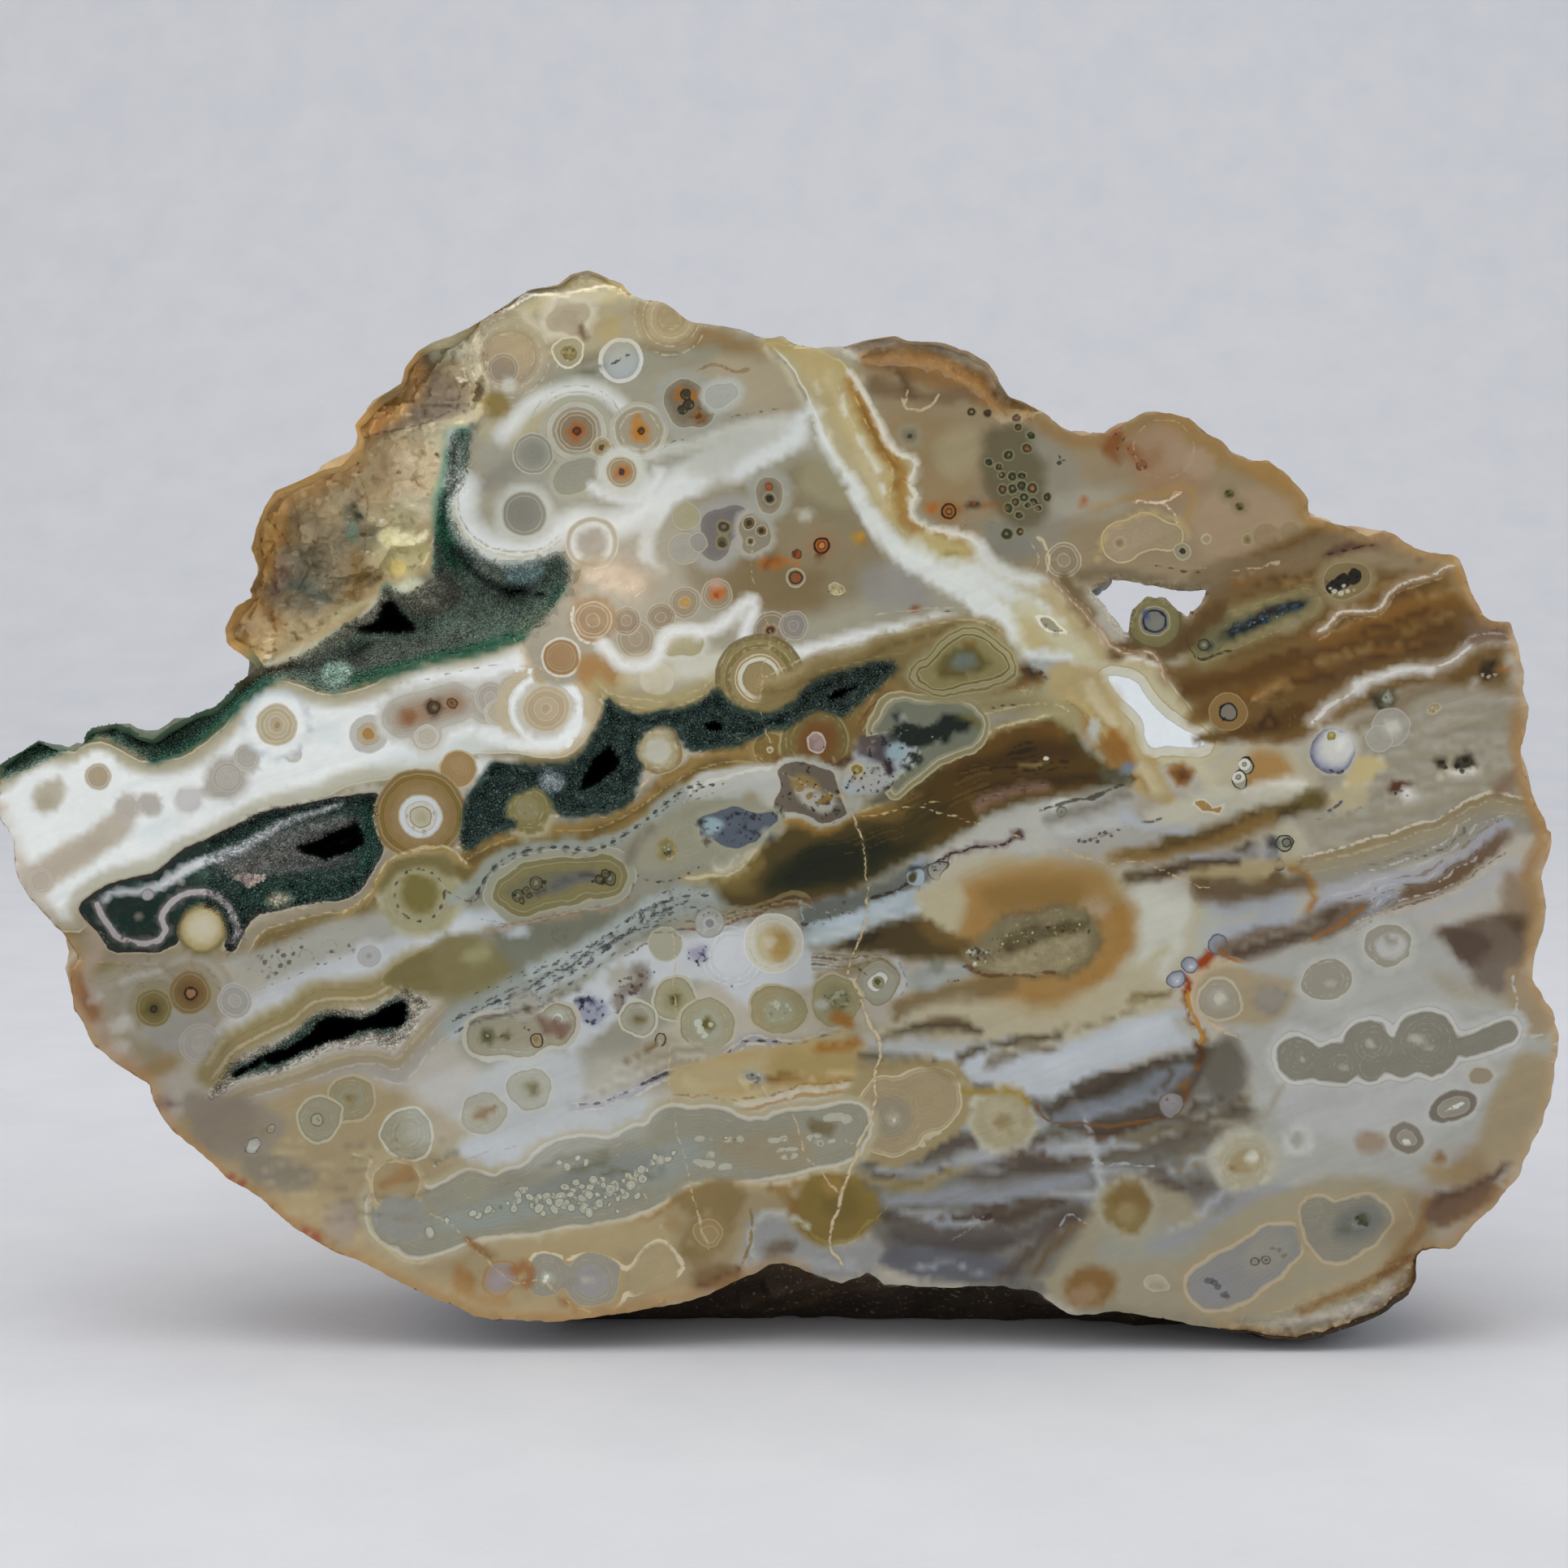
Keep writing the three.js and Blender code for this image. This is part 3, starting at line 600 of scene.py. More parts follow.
def relief(P):
    """Depth in mm, and masks from 0 to 1: rough, druse, tan (golden break), deep (a hole, which the material paints
    dark as shade).
    """
    X, Y = P[:, 0], P[:, 1]
    bx = P + np.column_stack([3.0 * noise2(X / 17, Y / 17, 31) + 1.5 * noise2(X / 6, Y / 6, 32), 3.0 * noise2(X / 17, Y / 17, 33) + 1.5 * noise2(X / 6, Y / 6, 34)])
    n = len(P)
    w = np.zeros(n)
    rough, druse, tan, deep = np.zeros(n), np.zeros(n), np.zeros(n), np.zeros(n)

    def local(name, m=30):
        b = _SH[name].box
        i = np.flatnonzero((X > b[0] - m) & (X < b[2] + m) & (Y > b[1] - m) & (Y < b[3] + m))
        return i, _SH[name].f(bx[i])

    # the shoulder: falls away from the polished plane towards the broken outline
    i, s = local("shoulder")
    x, y = X[i], Y[i]
    bump = 1.3 * noise2(x / 62, y / 62, 3) + 0.7 * noise2(x / 29, y / 29, 7)
    full = 0.8 + 7.5 * (1 - np.exp(-np.maximum(0, s) / 95)) + bump * smooth(0, 30, s)
    w[i] = np.where(s > 0, np.minimum(full, s * 0.5), 0)
    rough[i] = smooth(-1, 4, s)
    i, t = local("tan")
    x, y = X[i], Y[i]
    on = smooth(0, 14, t)
    # shells of conchoidal breakage, each one a scoop with a sharp lower lip
    a = math.radians(24)
    u, v = x * math.cos(a) - y * math.sin(a), x * math.sin(a) + y * math.cos(a)
    f1, f2, ci, cj, dx, dy = cells2(u / 84 + 0.2 * noise2(x / 40, y / 40, 41), v / 58 + 0.2 * noise2(x / 40, y / 40, 42), 43)
    shell = (0.75 - f1 * f1 * 1.2) * (0.8 + 0.4 * hash3(ci, cj, 3, 2)) + 0.9 * hash3(ci, cj, 4, 2)
    w[i] += on * (1.15 * shell + 1.0 * facets(x, y, 37, 51) + 0.55 * facets(x + 3 * noise2(x / 9, y / 9, 44), y, 17, 52) + 0.22 * noise2(x / 6, y / 6, 53) + 0.12 * noise2(x / 3.4, y / 3.4, 54))
    # fibrous ridges running down and left
    q = (x * 0.35 + y * 0.94) / 7.5
    w[i] += on * 0.16 * np.abs(noise2(q, (x - y) / 40, 55))
    tan[i] = smooth(-3, 4, t)
    # the green hollow is lower than the golden chunk and the polished edge
    i, s = local("hollow")
    x, y = X[i], Y[i]
    floor = 2.6 * smooth(0, 16, s) + 3.4 * smooth(10, 46, s)
    floor += smooth(0, 20, s) * (0.8 * noise2(x / 26, y / 20, 61) + 0.45 * facets(x, y, 15, 62) + 0.25 * noise2(x / 5, y / 5, 63))
    west = 1 - smooth(330, 440, x)
    dome = np.exp(-(((x - 531) / 30) ** 2 + ((y - 738) / 27) ** 2) ** 1.6)
    ledge = np.exp(-(((x - 415) / 22) ** 2 + ((y - 826) / 14) ** 2))
    w[i] += floor * mix(1, 0.45, west) - 4.2 * dome * smooth(0, 10, s) - 1.6 * ledge
    druse[i] = smooth(-1.5, 2.5, s)
    w = np.maximum(w, 0)
    # holes and pockets
    for name, depth, run, dr in (("cave", 20, 26, 0.4), ("pit1", 5, 7, 1), ("pit2", 6, 7, 1)):
        i, s = local(name)
        w[i] += depth * smooth(-2, run, s)
        deep[i] = np.maximum(deep[i], smooth(-1, 9, s))
        druse[i] = np.maximum(druse[i], smooth(-3, 2, s) * dr)
    i, s = local("lens_a")
    x, y = X[i], Y[i]
    east = smooth(215, 275, x)
    w[i] += smooth(-1, 7, s) * mix(0.12, 1.0, east) * (1.25 + 0.5 * noise2(x / 15, y / 12, 71) + 0.35 * facets(x, y, 13, 72))
    druse[i] = np.maximum(druse[i], smooth(-2, 2, s) * mix(0.08, 1, east))
    rough[i] = np.maximum(rough[i], smooth(-1, 2, s) * mix(0.05, 0.6, east))
    i, s = local("lens_b")
    x, y = X[i], Y[i]
    w[i] += smooth(-1, 7, s) * (1.0 + 0.45 * noise2(x / 15, y / 12, 73) + 0.35 * facets(x, y, 12, 74))
    druse[i] = np.maximum(druse[i], smooth(-2, 2, s))
    rough[i] = np.maximum(rough[i], smooth(-1, 2, s) * 0.8)
    for name, depth, run in (("hole_a", 15, 16), ("hole_b", 14, 14), ("hole_c", 7, 8), ("hole_d", 6, 8)):
        i, s = local(name)
        w[i] += depth * smooth(-2, run, s)
        deep[i] = np.maximum(deep[i], smooth(-1.5, 5, s))
    i, s = local("slot_rim")
    x, y = X[i], Y[i]
    w[i] += smooth(-1, 9, s) * (0.9 + 0.3 * noise2(x / 9, y / 9, 75) + 0.3 * facets(x, y, 9, 76))
    druse[i] = np.maximum(druse[i], smooth(-2, 2, s))
    rough[i] = np.maximum(rough[i], smooth(-1, 2, s))
    i, s = local("slot")
    w[i] += 21 * smooth(-1, 15, s)
    deep[i] = np.maximum(deep[i], smooth(-1.5, 4, s))
    i, s = local("recess")
    x, y = X[i], Y[i]
    w[i] += smooth(-1, 12, s) * (1.6 + 0.5 * noise2(x / 17, y / 12, 77) + 0.25 * facets(x, y, 9, 78) + 0.12 * noise2(x / 4, y / 4, 79)) * smooth(-6, 26, s)
    rough[i] = np.maximum(rough[i], smooth(0, 8, s))
    # sparkling rim of the hole that goes right through
    i, s = local("through", 24)
    w[i] += 0.8 * smooth(-5, 1, s)
    druse[i] = np.maximum(druse[i], smooth(-5.5, -3, s) * 0.7)
    rough[i] = np.maximum(rough[i], smooth(-6, -3, s) * 0.7)
    # small druse pits in the polished face
    for cx, cy, r in ((703, 435, 7), (1030, 727, 8), (920, 1331, 9), (1262, 848, 8), (825, 1045, 8), (310, 1412, 9), (1674, 1504, 10)):
        i = np.flatnonzero((np.abs(X - cx) < 3 * r) & (np.abs(Y - cy) < 3 * r))
        s = r - np.hypot(X[i] - cx, (Y[i] - cy) * 1.2)
        w[i] += 0.35 * smooth(-2, 4, s)
        rough[i] = np.maximum(rough[i], smooth(-2, 2, s))
    # chipped brow, flake at the lower right, crystalline tip
    for name, dp, run, seed in (("brow", 5.0, 40, 81), ("flake", 4.5, 60, 84), ("tip", 3.2, 14, 87)):
        i, s = local(name)
        x, y = X[i], Y[i]
        full = 0.3 + dp * (1 - np.exp(-np.maximum(0, s) / run))
        on = smooth(0, 9, s)
        full = full + on * (0.5 * facets(x, y, 24, seed) + 0.3 * facets(x, y, 10, seed + 1) + 0.14 * noise2(x / 4, y / 4, seed + 2))
        w[i] = np.where(s > 0, np.maximum(w[i], np.minimum(full, s * 0.45)), w[i])
        rough[i] = np.maximum(rough[i], smooth(-1, 3, s))
    # the arris of the cut is never quite sharp, and chips off here and there
    e = _EDGE.f(P)
    chip = smooth(0.15, 0.8, noise2(X / 31, Y / 31, 91)) * 7 + 2.0 + 1.5 * noise2(X / 6, Y / 6, 92)
    w = w + 0.45 * smooth(chip, 0, e) ** 2 * (1 + 0.5 * noise2(X / 5, Y / 5, 93))
    return w, rough, druse, tan, deep


_EDGE = poly(OUTLINE, 0)

# ---- settings ---------------------------------------------------------------------------
FINE_REACH = 2.2  # survey units from a crisp edge that get the fine mesh
BACK_STEP = 16.3  # spacing on the back, in survey units
N_CRYSTALS = 15500
P_TOP, P_LEFT, P_RIGHT, P_WORLD, P_GLINT = 9.0, 6.0, 4.0, 0.45, 0.05
PAL.update(
    base=(166, 160, 146), white=(206, 210, 207), bluewhite=(190, 197, 196), cream=(183, 177, 161), cream2=(173, 166, 146),
    tan=(152, 134, 106), tan2=(163, 148, 123), ltan=(171, 159, 140), amber=(153, 124, 83), amber2=(136, 106, 68),
    olive=(111, 98, 65), olive2=(95, 85, 55), dolive=(56, 54, 36), ddolive=(39, 39, 28), brown=(87, 70, 53), dbrown=(55, 43, 35),
    grey=(136, 135, 130), grey2=(146, 146, 141), lgrey=(161, 161, 157), dgrey=(98, 98, 96), lav=(147, 145, 148),
    green=(26, 48, 41), dgreen=(12, 44, 36), teal=(37, 64, 56), grey_green=(88, 100, 93), grey_druse=(122, 120, 112),
    pink=(163, 147, 133), peach=(168, 149, 124), orange=(151, 102, 54), rust=(118, 71, 41), dark=(35, 33, 32), navy=(42, 46, 56),
    ink=(57, 56, 58), crack=(174, 163, 142), yellow=(169, 150, 105), streak=(91, 75, 59), bluegrey=(143, 149, 155),
    ochre=(145, 116, 78), fleck=(184, 176, 157), sparkle=(140, 160, 148), black=(12, 13, 12), offwhite=(182, 182, 177),
    crust=(144, 122, 92), crust_dark=(98, 78, 58), crust_pale=(176, 162, 136), crust_olive=(108, 99, 72),
    crust_white=(190, 186, 176), crust_ochre=(158, 125, 78), crust_rust=(124, 80, 52), crest=(238, 224, 176), crust_grey=(118, 115, 108),
    paper_a=(192, 194, 199), paper_b=(206, 207, 210),
)

# =====================================================================================
#  The drawing on the cut face, laid down from below to above
# =====================================================================================
def bead(x, y, r, body="ltan", ring="cream", halo=None, hr=1.5, shade=None, core=None, rc=0.0, eye=None, w=1.6, n=2, a=1.0, asp=1.0, deg=0):
    """A ringed orb: halo, outline, a few rings and a core."""
    mk = (lambda q: circ(x, y, q)) if asp == 1.0 else (lambda q: oval(x, y, q * asp, q, deg))
    if halo:
        fill(mk(r * hr), halo, soft=4.5, a=0.92)
    fill(mk(r), body, line=ring, w=w, a=a, fine=(3.7, 0.035))
    sh = shade or body
    if shade:
        step = r * (0.82 - rc / max(r, 1)) / max(n, 1)
        rr = r * 0.80
        for q in range(n):
            fill(mk(rr), sh if q % 2 == 0 else body, line=ring, w=1.0, a=0.75 * a, fine=(3.7, 0.035))
            rr -= step
    if rc:
        fill(mk(rc), core or "amber", soft=1.2 if rc < 12 else 2.0, line=eye, w=1.8 if eye else 0)
        if eye:
            fill(mk(rc * 0.42), core or "amber", soft=1.0, line=eye, w=1.0)


def dots(pts, c="ink", r=2.0, a=0.9):
    for q, (x, y) in enumerate(pts):
        k = 0.75 + 0.5 * abs(math.sin(x * 12.9 + y * 4.1))
        fill(oval(x, y, r * k * 1.25, r * k, 25), c, soft=0.9, a=a)


def dashes(pts, c="ink", w=1.3, on=9.0, off=5.0, a=0.85, times=2):
    """A broken dark line."""
    p = chaikin(pts, times, closed=False)
    s = np.concatenate([[0], np.cumsum(np.hypot(*np.diff(p, axis=0).T))])
    t, q = 0.0, 0
    while t < s[-1]:
        k = 0.6 + 0.8 * abs(math.sin(q * 2.39 + p[0, 0]))
        e = min(s[-1], t + on * k)
        xs = [float(np.interp(v, s, p[:, 0])) for v in (t, (t + e) / 2, e)]
        ys = [float(np.interp(v, s, p[:, 1])) for v in (t, (t + e) / 2, e)]
        fill(path(list(zip(xs, ys)), [w * 0.4, w, w * 0.4], 0), c, soft=0.9, a=a)
        t = e + off * (1.5 - k * 0.5)
        q += 1


def line(pts, c="cream", w=1.2, a=0.9, wob=1, soft=0.8, times=2):
    fill(path(pts, w, times), c, soft=soft, a=a, wob=wob)


def wash(pts, c, soft=14.0, a=0.9, wob=3, times=2):
    fill(poly(pts, times), c, soft=soft, a=a, wob=wob)


def brush(pts, w, c, soft=None, a=0.85, wob=3):
    fill(path(pts, w, 2), c, soft=soft if soft else max(4.0, (w if np.isscalar(w) else max(w)) * 0.7), a=a, wob=wob)


# ------------------------------------------------------------------ washes, left third
wash([(-20, 930), (140, 890), (300, 820), (520, 800), (740, 860), (700, 960), (500, 960), (330, 1000), (100, 1110), (40, 1140), (-30, 1060)], "white", 10)
wash([(60, 1110), (130, 1130), (300, 1170), (480, 1070), (600, 1050), (760, 1010), (760, 1100), (560, 1200), (400, 1260), (260, 1330), (180, 1350), (80, 1240)], (138, 130, 105), 14)
wash([(170, 1300), (330, 1290), (540, 1260), (700, 1250), (700, 1420), (500, 1560), (300, 1480), (180, 1380)], (167, 162, 151), 18)

# ------------------------------------------------------------------ the left arm
GAIN = 1.105 * 1.06
ARM = [
    (0, 961), (25, 939), (54, 924), (86, 926), (118, 913), (143, 920), (168, 937), (200, 938), (229, 932), (257, 911),
    (282, 889), (296, 856), (321, 840), (346, 836), (375, 846), (393, 854), (421, 855), (461, 844), (489, 824), (518, 812),
    (560, 808), (600, 798), (631, 784), (671, 774), (684, 746), (704, 716), (760, 720), (790, 800), (745, 850), (740, 876), (728, 906),
    (702, 933), (672, 936), (636, 928), (604, 930), (580, 928), (562, 946), (543, 956), (520, 952), (496, 953), (478, 962),
    (450, 964), (431, 968), (400, 984), (375, 992), (340, 996), (320, 1004), (289, 1018), (270, 1034), (226, 1050), (199, 1073),
    (160, 1082), (133, 1090), (96, 1116), (110, 1150), (60, 1150), (-20, 1060), (-20, 960),
]
arm = poly(ARM, 1)
fill(grow(arm, 7), (119, 108, 79), soft=3.0, wob=1)
fill(arm, (150, 144, 121), soft=0.9, line=(173, 167, 147), w=1.8, wob=1, fine=(4.5, 0.03))
fill(grow(arm, -7), (159, 154, 132), soft=2.0, wob=1, fine=(4.5, 0.006))
fill(grow(arm, -13), (174, 172, 160), soft=3.5, wob=1)
fill(grow(arm, -18), "white", soft=5.0, wob=1)
# the lower side of the arm has a wider pale olive margin
brush([(96, 1112), (150, 1078), (210, 1060), (265, 1028), (320, 994), (380, 980), (430, 960), (480, 950), (540, 944), (575, 915), (640, 915), (700, 918), (725, 880)], 12, (168, 167, 152), 7, 0.8, 1)
brush([(60, 1130), (36, 1098), (22, 1060), (14, 1020), (2, 1000)], 12, (176, 165, 150), 8, 0.8, 1)
brush([(40, 985), (20, 1030), (60, 1040), (110, 1010)], 16, "white", 9, 0.8)
# cloudy blue-white and beige inside the arm
brush([(390, 900), (470, 935), (560, 925), (640, 900)], 14, "bluewhite", 9, 0.7)
brush([(165, 1030), (190, 1022), (215, 1010)], 11, "bluewhite", 8, 0.6)
brush([(300, 905), (360, 960), (420, 945)], 10, "white", 8, 0.8)
fill(caps(46, 1082, 148, 1016, 20, 17), (166, 158, 143), soft=6, wob=2)
fill(caps(60, 1076, 120, 1036, 10, 8), (160, 150, 135), soft=5, a=0.7, wob=2)
bead(50, 1086, 16, (168, 159, 146), (175, 169, 158), a=0.7, n=1, shade=(163, 153, 137), w=1.2)
fill(oval(57, 984, 42, 38, 20), "white", soft=5)
fill(oval(59, 982, 21, 18, 60), (165, 159, 142), soft=3.5, wob=1)
fill(circ(70, 968, 11), (165, 159, 143), soft=3.0)
fill(circ(55, 988, 9), (153, 144, 126), soft=3.0, a=0.7)
fill(circ(121, 957, 31), "white", soft=3.0)
bead(121, 957, 17, (160, 151, 131), (181, 176, 166), shade=(151, 138, 116), core=(156, 142, 114), rc=5, n=1)
for x, y, r, c in ((156, 995, 16, (163, 158, 148)), (184, 992, 15, (160, 156, 148)), (232, 985, 18, (177, 175, 172))):
    fill(circ(x, y, r), c, soft=3.0)
    rim(circ(x, y, r - 4), 0, 1.6, (173, 171, 163), a=0.6)
fill(circ(279, 958, 30), "offwhite", soft=4)
fill(union(circ(279, 958, 23), circ(304, 934, 17), circ(268, 968, 17), k=5), (155, 151, 141), soft=2.0, wob=1, fine=(4.0, 0.03))
bead(304, 933, 17, (160, 157, 147), (173, 170, 161), shade=(152, 149, 140), n=1, w=1.4)
bead(280, 957, 18, (151, 146, 135), (166, 162, 154), shade=(160, 156, 147), n=1, w=1.0)
bead(361, 929, 12, (163, 162, 155), (176, 174, 165), shade=(172, 171, 166), n=1, w=1.6)
fill(circ(341, 893, 43), (172, 177, 180), soft=2.4)
fill(circ(341, 893, 38), "white", soft=3.5)
bead(341, 893, 26, (166, 157, 134), (180, 174, 156), shade=(159, 148, 122), core=(147, 128, 94), rc=5, n=3)
bead(455, 904, 25, (168, 167, 162), (176, 174, 166), halo="white", hr=1.4)
bead(455, 904, 17, (161, 151, 129), (173, 166, 150), core=(151, 118, 71), rc=8)
# halo round the row of dark cores
row = union(caps(496, 884, 560, 866, 27), circ(600, 868, 26), circ(634, 852, 22), circ(525, 906, 20), k=8)
fill(grow(row, 6), (182, 182, 176), soft=3.0, wob=1)
fill(row, (163, 161, 151), soft=1.0, line=(176, 172, 160), w=1.8, wob=1, fine=(4.2, 0.04))
fill(grow(row, -7), (154, 148, 135), soft=2.0, wob=1, fine=(4.2, 0.035))
brush([(500, 884), (534, 872), (560, 866)], 12, (135, 111, 88), 7, 0.85, 1)
fill(circ(503, 883, 9), (125, 89, 61), soft=3.5)
fill(circ(534, 871, 11), (90, 72, 54), soft=2.0)
fill(circ(534, 871, 8), (75, 63, 47), soft=0.9, line=(49, 43, 34), w=1.6)
fill(circ(535, 871, 3), (110, 93, 69), soft=0.9)
fill(circ(557, 866, 7), (116, 87, 61), soft=0.9, line=(68, 52, 40), w=1.6)
fill(circ(557, 866, 2.6), (74, 55, 42), soft=0.9)
bead(525, 907, 15, (169, 166, 152), (177, 174, 161), shade=(162, 156, 140), n=1)
bead(605, 860, 21, (159, 154, 144), (171, 167, 156), shade=(151, 146, 136), n=2)
bead(634, 851, 20, (155, 151, 142), (168, 164, 154), shade=(146, 141, 133), n=1)
bead(614, 878, 17, (167, 162, 149), (176, 172, 158), shade=(158, 151, 132), n=1)
dashes([(520, 840), (545, 832), (572, 826), (600, 820), (622, 816)], (98, 95, 92), 1.4, 12, 8, 0.7)
dashes([(470, 852), (505, 836), (540, 824)], (122, 120, 115), 1.1, 10, 8, 0.5)
# the amber end of the arm, where the main mass meets it
wash([(640, 800), (700, 770), (720, 730), (760, 740), (780, 800), (770, 850), (745, 860), (730, 900), (690, 930), (650, 925), (636, 880)], (164, 145, 114), 12, 0.9)
brush([(650, 800), (690, 790), (730, 800)], 12, (154, 131, 95), 8, 0.8)
brush([(720, 800), (742, 840), (745, 858)], 10, (144, 110, 72), 7, 0.9)
fill(circ(673, 873, 61), (171, 161, 135), soft=3.0, a=0.9)
fill(circ(673, 873, 46), "white", soft=0.9, line=(193, 193, 188), w=3)
fill(circ(673, 873, 37), (174, 171, 159), soft=2.0)
bead(673, 873, 29, (164, 151, 125), (174, 166, 145), shade=(156, 141, 113), n=3)
brush([(600, 905), (640, 918), (690, 920), (712, 890)], 9, "white", 4, 0.9, 1)
line([(636, 824), (666, 828), (700, 845), (716, 872), (712, 900), (700, 918)], "white", 3.4, 0.9, 1, 1.4)
bead(668, 831, 14, (164, 153, 128), (175, 167, 146), shade=(156, 140, 111), n=1)
fill(circ(694, 812, 27), "white", soft=0.9, line="cream", w=2)
bead(694, 812, 20, (161, 145, 116), (170, 158, 132), shade=(151, 129, 97), core=(164, 147, 116), rc=7, n=2)
fill(circ(565, 948, 24), (138, 116, 81), soft=0.9, line=(166, 151, 120), w=2.4, fine=(4, 0.05))
fill(circ(567, 944, 12), (146, 124, 90), soft=4)

GAIN = 1.105
# ------------------------------------------------------------------ below the green lens: olive band, orbs, flecks
OLB = [(96, 1174), (136, 1176), (192, 1178), (230, 1178), (270, 1176), (290, 1182), (303, 1166), (322, 1136), (352, 1128), (392, 1116), (424, 1112), (446, 1100), (458, 1080), (478, 1048),
       (500, 1050), (519, 1055), (545, 1052), (568, 1064), (598, 1046), (632, 1036), (660, 1026), (690, 1022), (720, 1026), (760, 1014), (790, 984), (826, 962), (852, 946), (890, 936), (930, 930)]
brush([(x, y + 16) for x, y in OLB], 18, (126, 115, 80), 9, 0.95, 1)
brush([(x, y + 24) for x, y in OLB[6:]], 9, (110, 95, 61), 6, 0.8, 1)
line([(x, y + 4) for x, y in OLB], (141, 132, 114), 5.5, 0.95, 1, 2.0)
line([(x, y + 10) for x, y in OLB], (170, 157, 125), 1.3, 0.95, 1)
line([(x, y + 17) for x, y in OLB], (140, 125, 90), 1.0, 0.7, 1)
line([(x, y + 25) for x, y in OLB], (149, 138, 107), 1.0, 0.6, 1)
# flecked grey ground and the white band under it
wash([(250, 1190), (330, 1160), (400, 1140), (470, 1130), (560, 1110), (600, 1140), (520, 1160), (400, 1196), (300, 1236), (250, 1230)], (154, 154, 146), 9, 0.9)
WB = [(300, 1244), (352, 1226), (400, 1206), (460, 1186), (520, 1164), (566, 1140), (610, 1126)]
brush(WB, 19, (182, 187, 189), 7, 0.95, 1)
brush([(x, y - 12) for x, y in WB], 6, (170, 173, 173), 4, 0.8, 1)
brush([(180, 1270), (230, 1276), (290, 1262), (330, 1250)], 15, (176, 177, 174), 8, 0.9, 1)
dots([(318, 1178), (326, 1186), (334, 1180), (342, 1173), (350, 1178), (333, 1192), (345, 1190), (356, 1186), (362, 1176), (322, 1196), (340, 1200), (330, 1204), (392, 1188), (430, 1164), (436, 1170), (408, 1172), (372, 1168)], (78, 75, 64), 2.6, 0.8)
for x, y, r in ((338, 1184, 16), (352, 1176, 12), (324, 1192, 11), (378, 1180, 10), (406, 1166, 9)):
    rim(circ(x, y, r), 0, 1.6, (97, 95, 83), a=0.55)
dashes([(288, 1206), (310, 1190), (350, 1160), (400, 1150), (440, 1140)], (97, 95, 85), 1.4, 9, 9, 0.6)
dashes([(300, 1226), (350, 1208), (400, 1188), (440, 1172), (470, 1160)], (78, 76, 71), 1.5, 8, 9, 0.6)
dashes([(310, 1270), (330, 1262), (350, 1250), (400, 1232)], (84, 80, 74), 1.6, 8, 12, 0.6)
wash([(110, 1186), (200, 1184), (290, 1192), (330, 1200), (300, 1240), (230, 1290), (150, 1270), (106, 1230)], (158, 154, 140), 10, 0.8)
# two olive orbs and their company
for rr, cc in ((54, (142, 136, 119)), (47, (154, 149, 136)), (40, (137, 129, 106))):
    fill(circ(234, 1224, rr), cc, soft=2.0, a=0.75, wob=1)
for rr, cc in ((50, (144, 138, 120)), (42, (154, 151, 137)), (34, (134, 126, 100))):
    fill(circ(190, 1240, rr), cc, soft=2.0, a=0.7, wob=1)
fill(union(circ(212, 1268, 28), circ(196, 1262, 20), circ(236, 1258, 24), k=8), (149, 148, 141), soft=4.0, a=0.9)
bead(189, 1242, 24, (121, 113, 78), (143, 134, 105), shade=(114, 103, 66), n=1)
fill(circ(189, 1243, 10), (89, 81, 47), soft=4)
fill(circ(189, 1243, 5.2), (64, 63, 40), soft=0.9, line=(36, 37, 25), w=1.8)
bead(234, 1223, 27, (125, 110, 78), (144, 131, 102), shade=(117, 96, 62), n=1)
fill(circ(234, 1223, 14), (108, 83, 48), soft=5)
fill(circ(235, 1224, 8.4), (142, 110, 78), soft=0.9, line=(53, 37, 25), w=2.6)
bead(289, 1234, 22, (150, 148, 140), (165, 162, 155), shade=(143, 141, 134), n=2)
brush([(150, 1210), (170, 1200), (196, 1196)], 4, (176, 174, 166), 3, 0.7, 1)
for q in range(7):
    dashes([(150 + q * 3, 1196 + q * 4), (170 + q * 6, 1186 + q * 3), (214 + q * 6, 1180 + q * 4), (262 + q * 3, 1190 + q * 6)], (103, 95, 75), 0.9, 12, 7, 0.5)
bead(246, 1286, 26, (160, 157, 149), (168, 164, 155), a=0.75, shade=(153, 151, 143), n=2)
bead(454, 1178, 15, (151, 151, 148), (169, 169, 166), shade=(161, 161, 158), core=(141, 139, 138), rc=4, n=1, halo=(178, 182, 184), hr=1.35)
# left rim of the chunk, pinkish and rusty
brush([(100, 1120), (112, 1160), (100, 1196), (104, 1240), (120, 1276), (150, 1304), (186, 1330), (196, 1366)], 12, (165, 150, 133), 10, 0.85)
brush([(92, 1200), (96, 1226), (104, 1250)], 9, (134, 95, 66), 6, 0.85)
brush([(120, 1280), (140, 1300), (168, 1318)], 7, (153, 125, 101), 6, 0.6)
fill(oval(118, 1230, 10, 6, 30), (184, 179, 172), soft=4, a=0.8)
fill(oval(150, 1262, 16, 10, 30), (187, 185, 180), soft=6, a=0.8)
fill(oval(140, 1296, 24, 10, 30), (184, 181, 174), soft=6, a=0.7)
line([(168, 1180), (150, 1200), (120, 1212), (96, 1200)], (143, 131, 107), 1.2, 0.5, 2)
fill(oval(196, 1316, 26, 12, 20), (138, 117, 81), soft=8, a=0.85)

